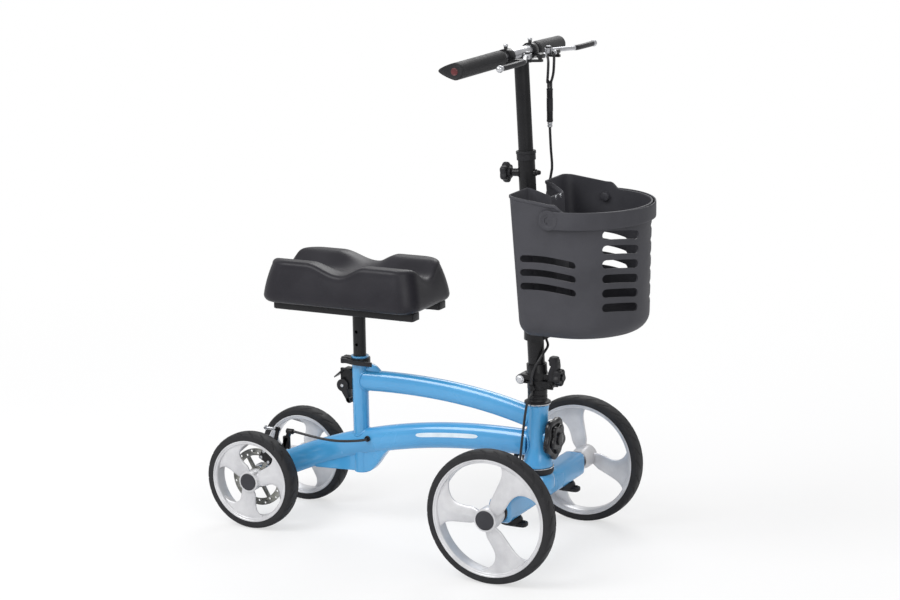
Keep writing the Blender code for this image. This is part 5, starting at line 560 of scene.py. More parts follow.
def makeKneePad():
    edge, crest, steps, top = pad["bottomEdge"], pad["topEdge"], pad["sideSteps"], pad["topSteps"]
    quarter = [pi / 2 * k / pad["edgeSteps"] for k in range(pad["edgeSteps"] + 1)]
    rings = []
    for a in quarter:
        inset = edge * (1 - sin(a))
        level = pad["low"] + edge * (1 - cos(a))
        rings.append([(x, y, level) for x, y in padOutline(inset, pad["corner"] - inset)])
    low, high = rings[-1], padTopRing(0, crest)
    for t in [k / steps for k in range(1, steps)]:
        bulge = 1 + pad["sideBulge"] * 8 * t * (1 - t) / pad["width"]
        rings.append([[(a + (b - a) * t) * (bulge if n < 2 else 1) for n, (a, b) in enumerate(zip(p, q))]
                      for p, q in zip(low, high)])
    rings += [padTopRing(crest * (1 - cos(a)), crest * (1 - sin(a))) for a in quarter]
    rings += [padTopRing(crest, 0, 1 - k / top) for k in range(1, top)]
    item = settle(stacked("kneePadFine", rings), seatStand @ at(pad["shift"], 0, 0))
    stands(shadeRound(item, 50), foamSkin, "knee_pad")


makeKneePad()
print("knee pad ready")

# Wheels: solid tyres with slanted shoulder grooves on moulded centres with three broad swept blades
wheelSizes = {"tyreDepth": 0.0149, "rimDepth": 0.0085, "bladeHalf": 0.0165, "rootShare": 0.67, "flare": 2.4,
              "thickness": 0.007, "crease": 0.003, "sweep": radians(9), "grooveDepth": 0.0024,
              "groovePitch": 0.028, "grooveWidth": 0.0027, "grooveSlant": 1.0, "crownSteps": 24,
              "crownPower": 0.75, "grooveSteps": 16, "seatGap": 0.0003, "seatEdge": 0.002,
              "shoulderShare": 0.45, "grooveFrom": (0.2, 0.12), "grooveTo": (0.97, 0.04),
              "grooveRise": 0.0015, "rootSink": 0.005, "tipSink": 0.003, "rootLevel": 0.011,
              "tipLevel": 0.010, "bladePower": 0.8, "edgePower": 0.45, "hubWaist": 0.003, "hubWall": 0.0065,
              "hubPocket": 0.0092, "hubBack": -0.0195, "waistStep": (0.0014, -0.010), "bore": 0.0066,
              "capInset": 0.0035, "capGap": 0.0003, "capSide": [(0, 0), (0, 0.0009), (-0.0016, 0.0018)],
              "capFlat": (0.7, 0.0020), "capCrown": 0.0021, "capSink": -0.002}
wheelKinds = {"front": {"radius": 0.127, "width": 0.0326, "hubRadius": 0.022, "hubReach": 0.0265},
              "rear": {"radius": 0.0975, "width": 0.0338, "hubRadius": 0.0205, "hubReach": 0.0195}}
wheelPlaces = {"front_right": ("front", -1, 48), "front_left": ("front", 1, 114),
               "rear_right": ("rear", -1, 10), "rear_left": ("rear", 1, 80)}


def makeTyre(name, kind, matrix):
    radius, half, depth = kind["radius"], kind["width"] / 2, wheelSizes["tyreDepth"]
    steps, power = wheelSizes["crownSteps"], wheelSizes["crownPower"]
    seat, shoulder = radius - depth + wheelSizes["seatGap"], radius - depth * wheelSizes["shoulderShare"]
    (fadeFrom, fadeIn), (endFrom, fadeOut) = wheelSizes["grooveFrom"], wheelSizes["grooveTo"]
    count = round(2 * pi * radius / wheelSizes["groovePitch"])
    side = [(seat, half), (seat + wheelSizes["seatEdge"], half), ((seat + shoulder) / 2, half),
            (shoulder, half)]
    profile = [(r, -h) for r, h in side]
    for k in range(1, steps):
        a = -pi / 2 + pi * k / steps
        profile.append((shoulder + (radius - shoulder) * cos(a) ** power, half * signed(sin(a), power)))
    profile += side[::-1] + [(seat, -half)]

    def spot(u, v):
        r, h = profile[round(v * (len(profile) - 1))]
        share = abs(h) / half
        window = (smoothstep((share - fadeFrom) / fadeIn) * (1 - smoothstep((share - endFrom) / fadeOut))
                  * smoothstep((r - shoulder) / wheelSizes["grooveRise"]))
        turn = u * count + wheelSizes["grooveSlant"] * (share - 0.5) + (0.5 if h > 0 else 0)
        gap = abs(turn - round(turn)) * wheelSizes["groovePitch"]
        r -= wheelSizes["grooveDepth"] * window * (1 - smoothstep(gap / wheelSizes["grooveWidth"]))
        return (r * cos(2 * pi * u), r * sin(2 * pi * u), h)

    item = shapedGrid(name, count * wheelSizes["grooveSteps"], len(profile) - 1, spot, closed=False)
    return shadeRound(settle(item, matrix))


def makeBlade(name, kind, start):
    barrel = kind["radius"] - wheelSizes["tyreDepth"] - wheelSizes["rimDepth"]
    inner, outer = kind["hubRadius"] - wheelSizes["rootSink"], barrel + wheelSizes["tipSink"]
    half, root = kind["width"] / 2, wheelSizes["rootShare"]

    def spot(u, v):
        r = inner + (outer - inner) * v
        spread = wheelSizes["bladeHalf"] * (root + (1 - root) * smoothstep(4 * v) + wheelSizes["flare"]
                                            * v ** 5)
        share = signed(cos(2 * pi * u), wheelSizes["bladePower"])
        rise = wheelSizes["thickness"] / 2 * abs(sin(2 * pi * u)) ** wheelSizes["edgePower"]
        rise = rise + wheelSizes["crease"] * (1 - abs(share)) if sin(2 * pi * u) > 0 else -rise
        level = (1 - v) * (kind["hubReach"] - wheelSizes["rootLevel"]) + v * (half - wheelSizes["tipLevel"])
        a = start + wheelSizes["sweep"] * sin(pi * v) + share * spread / r
        return (r * cos(a), r * sin(a), level + rise)

    return shadeRound(shapedGrid(name, 64, 40, spot))


def makeWheelCentre(name, kind, turn, matrix):
    seat, half = kind["radius"] - wheelSizes["tyreDepth"], kind["width"] / 2
    barrel = seat - wheelSizes["rimDepth"]
    side = [(seat - 0.0026, half), (seat - 0.0034, half - 0.0012), (barrel + 0.0022, half - 0.0016),
            (barrel + 0.0006, half - 0.0040), (barrel, half - 0.0085)]
    rim = turned(name + "Rim", [(seat, -half), (seat, half)] + side + [(r, -h) for r, h in reversed(side)],
                 128, rounding=0.0005, degrees=24, unit=1)
    hubRadius, reach = kind["hubRadius"], kind["hubReach"]
    waist, pocket = hubRadius - wheelSizes["hubWaist"], hubRadius - wheelSizes["hubWall"]
    bottom, back, bore = reach - wheelSizes["hubPocket"], wheelSizes["hubBack"], wheelSizes["bore"]
    out, up = wheelSizes["waistStep"]
    barrelLine = [(waist, back), (waist + out, up), (hubRadius, 0), (hubRadius, reach), (pocket, reach),
                  (pocket, bottom), (bore, bottom), (bore, back)]
    hub = turned(name + "Hub", barrelLine, rounding=0.0007, degrees=24, unit=1)
    blades = [makeBlade(name + "Blade", kind, turn + 2 * pi * k / 3) for k in range(3)]
    return settle(joined(name, rim, hub, *blades), matrix)


for where, (end, side, turn) in wheelPlaces.items():
    kind = wheelKinds[end]
    stand = facing(side, place[end + "X"], side * place[end + "Track"] / 2, place[end + "AxleZ"])
    stands(makeTyre("tyreFine_" + where, kind, stand), tyreRubber, "tyre_" + where)
    stands(makeWheelCentre("wheelFine_" + where, kind, -side * radians(turn), stand), silverResin,
           "wheel_" + where)
    cap = kind["hubRadius"] - wheelSizes["capInset"]
    plug, sink, (share, high) = cap - wheelSizes["capInset"], wheelSizes["capSink"], wheelSizes["capFlat"]
    outline = [(0, sink), (plug, sink), (plug, 0), *((cap + r, h) for r, h in wheelSizes["capSide"]),
               (cap * share, high), (0, wheelSizes["capCrown"])]
    cover = turned("hubCapFine_" + where, outline, 64, stand, rounding=0.0003, degrees=25,
                   level=kind["hubReach"] + wheelSizes["capGap"], unit=1)
    stands(cover, capNylon, "hub_cap_" + where)
print("wheels ready")

# Brake disc: drilled band on six spokes
disc = {"radius": 0.058, "band": 0.014, "hub": 0.0195, "thickness": 0.002, "spoke": 0.0085, "bore": 0.0066,
        "spokes": 6, "holes": 24, "holeRadius": 0.0022, "holeInsets": (0.0095, 0.0042), "sideways": -0.0825}


def windowArc(radius, middle, half, steps):
    angles = [middle - half + 2 * half * k / steps for k in range(steps + 1)]
    return [(radius * cos(a), radius * sin(a)) for a in angles]


def makeRotor():
    inner, hub, spoke = disc["radius"] - disc["band"], disc["hub"], disc["spoke"] / 2
    outlines = [ring(disc["radius"], 96), ring(disc["bore"], 24)]
    half = pi / disc["spokes"]
    for number in range(disc["spokes"]):
        middle = half * (2 * number + 1)
        outlines.append(windowArc(inner, middle, half - spoke / inner, 10)
                        + windowArc(hub + 0.002, middle, spoke / hub - half, 6))
    for number in range(disc["holes"]):
        a = 2 * pi * number / disc["holes"]
        out = disc["radius"] - disc["holeInsets"][number % 2]
        outlines.append(ring(disc["holeRadius"], 10, (out * cos(a), out * sin(a))))
    stand = at(place["rearX"], disc["sideways"], place["rearAxleZ"]) @ toY
    stands(plate("brakeRotorFine", outlines, disc["thickness"], stand, 0.0002), groundSteel, "brake_rotor")


makeRotor()
print("brake disc ready")

# Welded frame: two curved oval tubes, seat tube, flared head tube, axle tube, gussets and their weld beads
weldment = {"lower": (0.050, 0.038), "top": (0.041, 0.030), "ovalPower": 0.83, "wheelbase": 0.5722,
            "lowerBow": (0.458, 0.226), "topBow": (0.578, 0.308), "lowerRise": 0.041, "topDrop": 0.031,
            "topStart": 0.050, "seatAhead": 0.190, "seatRadius": 0.0159, "seatBore": 0.0130,
            "headLow": 0.1686, "headHigh": 0.2886, "headTopRadius": 0.0205, "headFootRadius": 0.0285,
            "headBore": 0.0170, "flareHigh": 0.040, "seatLow": 0.111, "seatHigh": 0.346, "clampTop": 0.343,
            "knobRise": 0.0574, "beadRadius": 0.0021, "beadRipple": (0.9, 1.12), "gussetWidth": 0.024,
            "ribWidth": 0.009, "gussetEdge": 0.0018, "axle": [(6.3, -80.9), (17.2, -80.9), (18, -80.1),
                                                              (18, 80.1), (17.2, 80.9), (6.3, 80.9)],
            "boss": [(4.3, 16), (14, 16), (14, 29), (13, 30), (4.3, 30)]}
stripe = {"middle": 0.035, "length": 0.13, "height": 0.0055, "raised": 0.16, "outBy": 0.00025, "film": 0.0003}


def bendThrough(a, b, c, t):
    return (1 - t) ** 2 * a + 2 * t * (1 - t) * b + t ** 2 * c


def lowerLine(t):
    length, (ahead, crest) = weldment["wheelbase"], weldment["lowerBow"]
    x = bendThrough(0, ahead * length, length, t)
    rise = bendThrough(place["rearAxleZ"], crest, weldment["headLow"] + weldment["lowerRise"], t)
    return Vector((x + place["rearX"], 0, rise))


def topLine(t):
    length, (ahead, crest) = weldment["wheelbase"] - weldment["seatAhead"], weldment["topBow"]
    x = bendThrough(0, ahead * length, length, t)
    rise = bendThrough(weldment["seatHigh"] - weldment["topStart"], crest,
                       weldment["headHigh"] - weldment["topDrop"], t)
    return Vector((x + place["seatX"], 0, rise))


def lineAtX(line, x):
    # the parameter where a tube's middle line stands at x
    low, high = 0.0, 1.0
    for _ in range(30):
        middle = (low + high) / 2
        low, high = (middle, high) if line(middle).x < x else (low, middle)
    return low


def ovalPoint(a, height, width):
    return signed(cos(a), weldment["ovalPower"]) * width / 2, signed(sin(a),
                                                                     weldment["ovalPower"]) * height / 2


def tubeSpot(line, t, a, size, outBy=0.0):
    ahead = (line(min(1, t + 0.002)) - line(max(0, t - 0.002))).normalized()
    y, rise = ovalPoint(a, size[0] + 2 * outBy, size[1] + 2 * outBy)
    return line(t) + Vector((0, 1, 0)) * y + ahead.cross(Vector((0, 1, 0))) * rise


def makeTube(name, line, first, last, size):
    return shadeRound(shapedGrid(name, 72, 64, lambda u, v: tubeSpot(line, first + (last - first) * v,
                                                                     2 * pi * u, size)))


def weldBead(name, points):
    # a rippled bead along a closed line
    return shadeRound(curveMesh(name, [points], ripple=weldment["beadRipple"], dimensions="3D",
                                bevel_depth=weldment["beadRadius"], bevel_resolution=2), 60)


def beadRound(line, size, middleX, radius, side):
    # where an oval tube meets an upright round one
    points = []
    for a in [2 * pi * k / 120 for k in range(120)]:
        y = ovalPoint(a, *size)[0]
        t = lineAtX(line, middleX + side * max(0, radius ** 2 - y ** 2) ** 0.5)
        points.append(tubeSpot(line, t, a, size))
    return points


def beadOver(line, size, middleX, radius):
    # where an upright round tube comes out of an oval one
    points = []
    for a in [2 * pi * k / 80 for k in range(80)]:
        x, y = middleX + radius * cos(a), radius * sin(a)
        share = min(1, abs(2 * y / size[1])) ** (1 / weldment["ovalPower"])
        rise = (1 - share ** 2) ** (weldment["ovalPower"] / 2) * size[0] / 2
        points.append((x, y, line(lineAtX(line, x)).z + rise))
    return points


def frameGussets():
    # two plates under the lower tube and a swept rib behind the seat tube's top, in x from the rear axle
    seatX, low, edge = weldment["seatAhead"], weldment["seatLow"] + 0.002, weldment["gussetEdge"]

    def under(x):
        return lowerLine(lineAtX(lowerLine, x + place["rearX"])).z - weldment["lower"][0] / 2

    def gusset(name, outline, width):
        return plate(name, [outline], width, rearStand @ fromSide, edge)

    rear, front, start = seatX - 0.105, seatX + 0.072, seatX + weldment["seatRadius"]
    heel, tip = under(rear), rear + 0.006
    crown = (seatX, under(seatX) + 0.014)
    back = [(rear, heel + 0.006), (rear + 0.002, heel + 0.001), (tip, heel - 0.001)]
    back += [(tip + (seatX - tip) * k / 8, heel - 0.001 + (low - heel + 0.001) * k / 8) for k in range(1, 9)]
    nose = [(start + (front - start) * k / 16, low + (under(front) + 0.003 - low) * smoothstep(k / 16))
            for k in range(17)]
    crest, edgeX = weldment["seatHigh"] - 0.0295, seatX + 0.0213
    sweep = [(edgeX + (seatX + 0.055 - edgeX) * k / 14, crest + 0.0145
              * (1 - smoothstep((k / 14) ** 1.5) * 1.3)) for k in range(15)]
    rib = [(seatX, crest - 0.008), (seatX + 0.056, crest - 0.008), *sweep[::-1],
           (edgeX, weldment["clampTop"] - 0.0193), (seatX, weldment["clampTop"] - 0.0193)]
    return [gusset("rearGusset", back + [crown], weldment["gussetWidth"]),
            gusset("frontGusset", [(seatX, low), *nose, (front, under(front) + 0.014), crown],
                   weldment["gussetWidth"]), gusset("upperGusset", rib, weldment["ribWidth"])]


def makeWeldment():
    base, top, bore, seatBore = (weldment[key] for key in ("headLow", "headHigh", "headBore", "seatBore"))
    foot, neck, radius = (weldment[key] for key in ("headFootRadius", "headTopRadius", "seatRadius"))
    low, high, clampTop = weldment["seatLow"], weldment["seatHigh"], weldment["clampTop"] + 0.0003
    lip = radius + 0.0015
    lower, upper = weldment["lower"], weldment["top"]
    last = 1 - bore / weldment["wheelbase"]
    flare = [(foot + (neck - foot) * smoothstep(k / 10) ** 0.8, base + 0.004 + weldment["flareHigh"] * k / 10)
             for k in range(11)]
    head = [(bore, base), (foot - 0.0006, base), (foot, base + 0.0006), *flare, (neck, top - 0.009),
            (neck + 0.0012, top - 0.0055), (neck + 0.0012, top), (bore, top)]
    seat = [(seatBore, low), (radius - 0.0006, low), (radius, low + 0.0006), (radius, clampTop),
            (lip, clampTop), (lip, high), (seatBore, high)]
    tubes = [makeTube("lowerTube", lowerLine, 0.022, last, lower),
             makeTube("topTube", topLine, 0.0, last, upper)]
    rounds = [turned("headTube", head, 96, steererStand, degrees=28, unit=1),
              turned("seatTube", seat, 80, seatStand, degrees=28, unit=1),
              turned("axleTube", weldment["axle"], 80, rearAxleStand, degrees=28),
              turned("knobBoss", weldment["boss"], 48, steererStand @ at(0, 0, base + weldment["knobRise"])
                     @ toX, degrees=28)]
    gussets = frameGussets()
    # the seat tube stays open inside for its post
    well = [(0, low + 0.001), (seatBore, low + 0.001), (seatBore, high - 0.001), (0, high - 0.001)]
    for crossing in tubes + gussets:
        shadeRound(carved(crossing, turned("seatHole", well, 80, seatStand, unit=1)))
    beads = {"headLowerBead": beadRound(lowerLine, lower, place["frontX"], 0.0222, -1),
             "headTopBead": beadRound(topLine, upper, place["frontX"], 0.0207, -1),
             "seatTopBead": beadRound(topLine, upper, place["seatX"], radius, 1),
             "seatUpperBead": beadOver(lowerLine, lower, place["seatX"], radius)}
    welds = [weldBead(name, points) for name, points in beads.items()]
    stands(joined("mainFrameFine", *tubes, *rounds, *gussets, *welds), skyPowderCoat, "main_frame")


def makeStripe(name, side):
    # a plain pale stripe where such a frame carries its lettering
    middle, size = lineAtX(lowerLine, stripe["middle"]), weldment["lower"]
    half = stripe["length"] / 2 / weldment["wheelbase"]

    def spot(u, v):
        narrow = (1 - abs(2 * v - 1) ** 12) ** 0.5
        a = (0 if side > 0 else pi) + (u - 0.5) * narrow * 2 * stripe["height"] / size[1] * side
        return tubeSpot(lowerLine, middle + half * (2 * v - 1), a + stripe["raised"] * side, size,
                        stripe["outBy"])

    item = shapedGrid(name, 6, 48, spot, wrapped=False, closed=False)
    applyModifier(item, "SOLIDIFY", thickness=stripe["film"], offset=-1)
    finish(shadeRound(item), stripeFilm, "frame", "frame_paint")


makeWeldment()
makeStripe("stripeRight", -1)
makeStripe("stripeLeft", 1)
print("frame ready")

# Steering: bearing cups with a bright edge, lock nut, lobed knob, cross beam, stub axles and releases
bearings = {"lowerAt": 0.1543, "upperAt": 0.2889, "nutAt": 0.3012,
            "lowerCup": [(14.9, 0), (26.2, 0), (28.8, 1.9), (30, 4.2), (30, 14), (14.9, 14)],
            "lowerEdge": [(29.7, 12.5), (30.4, 12.7), (30.4, 13.8), (29.7, 14)],
            "upperCup": [(14.9, 0), (22.2, 0), (25, 2.4), (25.2, 6.2), (24, 7), (19.6, 8), (19, 9),
                         (18.8, 12), (14.9, 12)], "upperEdge": [(22.2, 0.2), (23.6, 0.2), (25.6, 2.4),
                                                                (25.6, 4), (24.6, 4)],
            "nut": [(14.6, 0), (18.2, 0), (18.8, 0.6), (18.8, 6), (18, 6.8), (18, 8), (18.8, 8.8),
                    (18.8, 18.4), (18.2, 19), (14.6, 19)]}
lockKnob = {"rise": 0.226, "stud": [(0, 17.2), (4, 17.2), (4, 34), (0, 34)],
            "base": {"radius": 0.042, "depth": 0.15, "lobes": 5, "low": 0.0278, "high": 0.0400,
                     "hubRadius": 0.026}, "tier": {"radius": 0.030, "depth": 0.24, "lobes": 5, "low": 0.0385,
                                                   "high": 0.0462, "hubRadius": 0.012, "hubRise": 0.0026}}
beam = {"halfHeight": 0.023, "halfDepth": 0.022, "end": 0.1753, "taper": 0.008, "power": 0.42,
        "drawIn": 0.86, "crown": [(0, 127), (31.8, 127), (31.8, 143.5), (30.5, 148.5), (27.5, 153.2),
                                  (27, 154), (14.3, 154), (14.3, 334.2), (0, 334.2)], "beadX": 0.0205,
        "beadY": 0.0322, "beadRise": 0.0228, "stub": [(0, 136.3), (6, 136.3), (6, 175.6), (19, 175.6),
                                                      (19.5, 176.3), (19.5, 180.15), (18.6, 182.65),
                                                      (16.8, 185.05), (16, 185.65), (6, 185.65), (6, 223.2),
                                                      (0, 223.2)],
        "nut": [(0, 223), (9.5, 223), (9.5, 227.6), (8.5, 228.4), (0, 228.4)]}
release = {"y": 0.120, "clearance": 0.0003, "thickness": 0.0085, "paddleDrop": 0.0135, "paddleEdge": 0.002,
           "rib": ((0.003, -0.0018, -0.0105), (0.029, 0.0018, -0.0060)), "ribEdge": 0.0006,
           "knob": [(0, -14), (19, -14), (21.5, -12), (22.2, -9), (21.6, -5), (19, -1), (16, 0), (0, 0)],
           "stem": [(0, -6), (6, -6), (6, 8), (0, 8)], "paddle": [(0, 11), (20, 11.2), (29, 10), (32, 6),
                                                                  (32.5, 0)], "heel": [(-9, 8), (-12, 0)]}


def starKnob(name, matrix, radius, depth, lobes, low, high, hubRadius, hubRise=0.0):
    # soft lobes, a rounded rim and a raised cap in the middle
    hub, crest = hubRadius / radius, 1 + hubRise / (high - low)
    rings = [(0.0, 0.0), (0.82, 0.0), (0.93, 0.04), (0.985, 0.16), (1.0, 0.35), (1.0, 0.62), (0.975, 0.8),
             (0.92, 0.92), (0.84, 1.0), (0.70, 0.95), (0.52, 0.86), (hub * 1.05, 0.85), (hub, 0.85),
             (hub * 0.98, 1 + (crest - 1) * 0.7), (hub * 0.84, crest), (0.0, crest)]

    def spot(u, v):
        share, rise = rings[round(v * (len(rings) - 1))]
        lobed = smoothstep((share * radius - hubRadius) / (radius - hubRadius) * 2.5)
        r = share * radius * (1 - depth * (0.5 - 0.5 * cos(2 * pi * lobes * u)) * lobed)
        return (r * cos(2 * pi * u), r * sin(2 * pi * u), low + (high - low) * rise)

    return shadeRound(settle(shapedGrid(name, lobes * 20, len(rings) - 1, spot, closed=False), matrix), 32)


def makeBearings():
    for name, key, level, rounding in (("lower", "lowerCup", "lowerAt", 0.0004),
                                       ("upper", "upperCup", "upperAt", 0.0003)):
        cup = turned(key + "Fine", bearings[key], 80, steererStand, rounding, level=bearings[level])
        stands(cup, mouldedNylon, "headset_" + name + "_cup")
        bright(turned(key + "Edge", bearings[name + "Edge"], 80, steererStand, level=bearings[level],
                      closed=False), "frame")
    stands(turned("lockNutFine", bearings["nut"], 64, steererStand, degrees=28, level=bearings["nutAt"]),
           blackPowderCoat, "headset_lock_nut")
    stand = steererStand @ at(0, 0, lockKnob["rise"]) @ toX
    knob = starKnob("steeringKnobBase", stand, **lockKnob["base"])
    tier = starKnob("steeringKnobTier", stand, **lockKnob["tier"])
    stud = turned("steeringStud", lockKnob["stud"], 24, stand)
    stands(joined("steeringKnobFine", knob, tier, stud), glossNylon, "steering_lock_knob")


def beamSpot(u, v):
    # a square tube with soft corners, drawn in at both ends
    end = beam["end"]
    stops = [-end, -end + 0.0015, -end + 0.004, -end + 0.008, -end + 0.012]
    stops += [stops[-1] * (1 - k / 20) for k in range(1, 20)]
    stops = stops + [0] + [-y for y in reversed(stops)]
    y = stops[round(v * (len(stops) - 1))]
    scale = beam["drawIn"] + (1 - beam["drawIn"]) * smoothstep((end - abs(y)) / beam["taper"])
    return (place["frontX"] + signed(cos(2 * pi * u), beam["power"]) * beam["halfDepth"] * scale, y,
            place["frontAxleZ"] + signed(sin(2 * pi * u), beam["power"]) * beam["halfHeight"] * scale)


def makeBeam():
    tube = shadeRound(shapedGrid("beamTube", 96, 48, beamSpot))
    crown = turned("beamCrown", beam["crown"], 80, steererStand, degrees=28)
    level = place["frontAxleZ"] + beam["beadRise"]
    bead = weldBead("crownBead", [(place["frontX"] + beam["beadX"] * x, beam["beadY"] * y, level) for x,
                                  y in ring(1, 90)])
    stands(joined("frontBeamFine", tube, crown, bead), skyPowderCoat, "front_axle_beam")


def makeStubAxle(side, name):
    axle = turned("stubAxle", beam["stub"], degrees=28)
    nut = turned("wheelNut", beam["nut"], 6, degrees=20)
    settle(joined(name + "Fine", axle, nut), facing(side, place["frontX"], 0, place["frontAxleZ"]))
    stands(axle, blackPowderCoat, name)


def makeRelease(side, name):
    face = place["frontAxleZ"] - beam["halfHeight"] - release["clearance"]
    knob = turned("releaseKnob", release["knob"], 48, degrees=32, level=face)
    stem = turned("releaseStem", release["stem"], 24, level=face)
    half = [(x / 1000, y / 1000) for x, y in release["paddle"]]
    heel = [(x / 1000, y / 1000) for x, y in release["heel"]]
    outline = [(x, -y) for x, y in half] + half[-2::-1] + heel + [(x, -y) for x, y in heel[-2::-1]]
    paddle = plate("releasePaddle", [outline], release["thickness"], at(0, 0, face - release["paddleDrop"]),
                   release["paddleEdge"])
    rib = block("releaseRib", *((x, y, face + z) for x, y, z in release["rib"]), release["ribEdge"])
    item = settle(joined(name + "Fine", knob, stem, paddle, rib), at(place["frontX"], side * release["y"], 0))
    stands(item, mouldedNylon, name)


makeBearings()
makeBeam()
for side, hand in sides:
    makeStubAxle(side, "front_axle_" + hand)
    makeRelease(side, "axle_release_" + hand)
print("steering ready")

# Basket: moulded shell with a rolled rim, slotted sides and nose, and a carrying band on two eyes
basket = {"back": 0.2212, "straight": 0.094, "nose": 0.1269, "half": 0.131, "floorZ": 0.448, "top": 0.711,
          "wall": 0.003, "floorRadius": 0.030, "corner": 0.020, "notchHalf": 0.024, "notchDepth": 0.040,
          "notchSpread": 0.018, "notchDip": 0.012, "backDraft": 0.0625, "sideDraft": 0.02,
          "stepLength": 0.020, "frontDrop": 0.024, "sideFall": 0.011, "pivotAhead": 0.085,
          "pivotDrop": 0.039, "lipHeight": 0.006, "lip": [(-1.08, -5), (-1.2, -4.2), (-1.2, -1.4),
                                                          (-0.72, -0.4), (0.2, 0), (2, 0), (2.9, -0.9)],
          "boss": [(0, -11.5), (6.2, -11.5), (8.2, -10.5), (8.8, -8.5), (8.8, -3), (6, -2.8), (6, 6.2),
                   (5.2, 7.1), (0, 7.1)]}
slots = {"sideCount": 3, "sidePitch": 0.0255, "sideDrop": 0.1215, "sideAhead": 0.0255,
         "sideSize": (0.1075, 0.0130), "sideArch": (0.012, 0.0185), "noseCount": 6, "nosePitch": 0.0268,
         "noseDrop": 0.0745, "noseTurn": 13, "noseSize": (0.083, 0.0160), "noseArch": 0.008, "cutFrom": 0.08,
         "cutDepth": 0.12}
band = {"height": 0.033, "front": 0.028, "thickness": 0.0035, "gap": 0.0036, "straightShare": 0.04,
        "eye": [(6.4, -0.3), (17.8, -0.3), (18.5, 0.5), (18.5, 3.1), (18, 3.8), (16.5, 4.1), (11, 3.7),
                (10, 3.1), (6.8, 3.1), (6.4, 3.1)]}
noseX = basket["back"] + basket["straight"]
pivotX, pivotZ = basket["back"] + basket["pivotAhead"], basket["top"] - basket["pivotDrop"]
pivotHalf = basket["half"] - basket["sideDraft"] * basket["pivotDrop"]


def basketOutline(level, inset):
    drop = basket["top"] - level
    back = basket["back"] + basket["backDraft"] * drop + inset
    half = basket["half"] - basket["sideDraft"] * drop - inset
    nose = basket["nose"] - basket["sideDraft"] * drop - inset
    corner = max(basket["corner"] - inset, 0.003)
    side = [(back + basket["notchDepth"] * (1 - smoothstep(k / 16)),
             basket["notchHalf"] + inset + basket["notchSpread"] * k / 16) for k in range(17)]
    begin = side[-1][1]
    side += [(back, begin + (half - corner - begin) * k / 8) for k in range(1, 8)]
    for a in [pi / 2 * k / 10 for k in range(11)]:
        side.append((back + corner - corner * cos(a), half - corner + corner * sin(a)))
    side += [(back + corner + (noseX - back - corner) * k / 14, half) for k in range(1, 14)]
    side += [(noseX + nose * sin(pi / 2 * k / 44), half * cos(pi / 2 * k / 44)) for k in range(44)]
    return side + [(noseX + nose, 0)] + [(x, -y) for x, y in reversed(side)]


def rimLevel(x, y):
    # the rim dips round the column and falls towards the nose
    dip = basket["notchDip"] * (1 - smoothstep((abs(y) - basket["notchHalf"]) / basket["notchSpread"]))
    slope = basket["sideFall"] * min(1, max(0, (x - basket["back"]) / basket["pivotAhead"]))
    step = (basket["frontDrop"] - basket["sideFall"]) * smoothstep((x - noseX) / basket["stepLength"])
    return basket["top"] - (dip if x < noseX else 0) - slope - step


def basketRings(inset, radius):
    # the rounded floor edge, then rings that climb to the rim, which falls towards the front
    floorZ, foot = basket["floorZ"], basket["floorZ"] + basket["floorRadius"]
    rings = []
    for a in [pi / 2 * k / 8 for k in range(9)]:
        level = floorZ + inset + radius * (1 - cos(a))
        rings.append([(x, y, level) for x, y in basketOutline(level, inset + radius * (1 - sin(a)))])
    for k in range(1, 9):
        climbing = []
        for n, (x, y) in enumerate(basketOutline(basket["top"], inset)):
            level = foot + (rimLevel(x, y) - basket["lipHeight"] - foot) * k / 8
            climbing.append((*basketOutline(level, inset)[n], level))
        rings.append(climbing)
    return rings


def slotPoint(u, length, height):
    # a point on a long slot with round ends: how far along it and how high
    radius, run = height / 2, length - height
    part, t = divmod(4 * u, 1)
    turn = pi * (t - 0.5)
    if part == 0:
        return radius + run * t, 0
    if part == 1:
        return radius + run + radius * cos(turn), radius + radius * sin(turn)
    if part == 2:
        return radius + run * (1 - t), height
    return radius - radius * cos(turn), radius - radius * sin(turn)


def sideSlot(number, side):
    base = basket["top"] - slots["sideDrop"] - slots["sidePitch"] * number
    climb, bend = slots["sideArch"]

    def spot(u, v):
        x, z = slotPoint(u, *slots["sideSize"])
        t = x / slots["sideSize"][0]
        return (basket["back"] + slots["sideAhead"] + x, side * (slots["cutFrom"] + slots["cutDepth"] * v),
                base + z + climb * t - bend * t ** 2)

    return shapedGrid("sideSlot", 48, 2, spot)


def noseSlot(number, side):
    base = basket["top"] - slots["noseDrop"] - slots["nosePitch"] * number

    def spot(u, v):
        x, z = slotPoint(u, *slots["noseSize"])
        a, r = radians(slots["noseTurn"]) + x / basket["nose"], slots["cutFrom"] + slots["cutDepth"] * v
        return (noseX + r * cos(a), side * r * sin(a), base + z - slots["noseArch"]
                * (1 - x / slots["noseSize"][0]) ** 2)

    return shapedGrid("noseSlot", 48, 6, spot)


def makeBasket():
    rim = [[(x, y, rimLevel(x, y) + rise / 1000) for x, y in basketOutline(basket["top"], inset / 1000)]
           for inset, rise in basket["lip"]]
    radius, wall = basket["floorRadius"], basket["wall"]
    shell = stacked("basketShell", basketRings(0, radius) + rim + basketRings(wall, radius - wall)[::-1])
    cutters = [sideSlot(number, side) for number in range(slots["sideCount"]) for side, hand in sides]
    cutters += [noseSlot(number, side) for number in range(slots["noseCount"]) for side, hand in sides]
    carved(shell, joined("slotCutters", *cutters))
    bosses = [turned("bailBoss", basket["boss"], 40, facing(side, pivotX, 0, pivotZ), level=pivotHalf)
              for side, hand in sides]
    stands(shadeRound(joined("basketFine", shell, *bosses), 32), texturedPolypropylene, "basket")


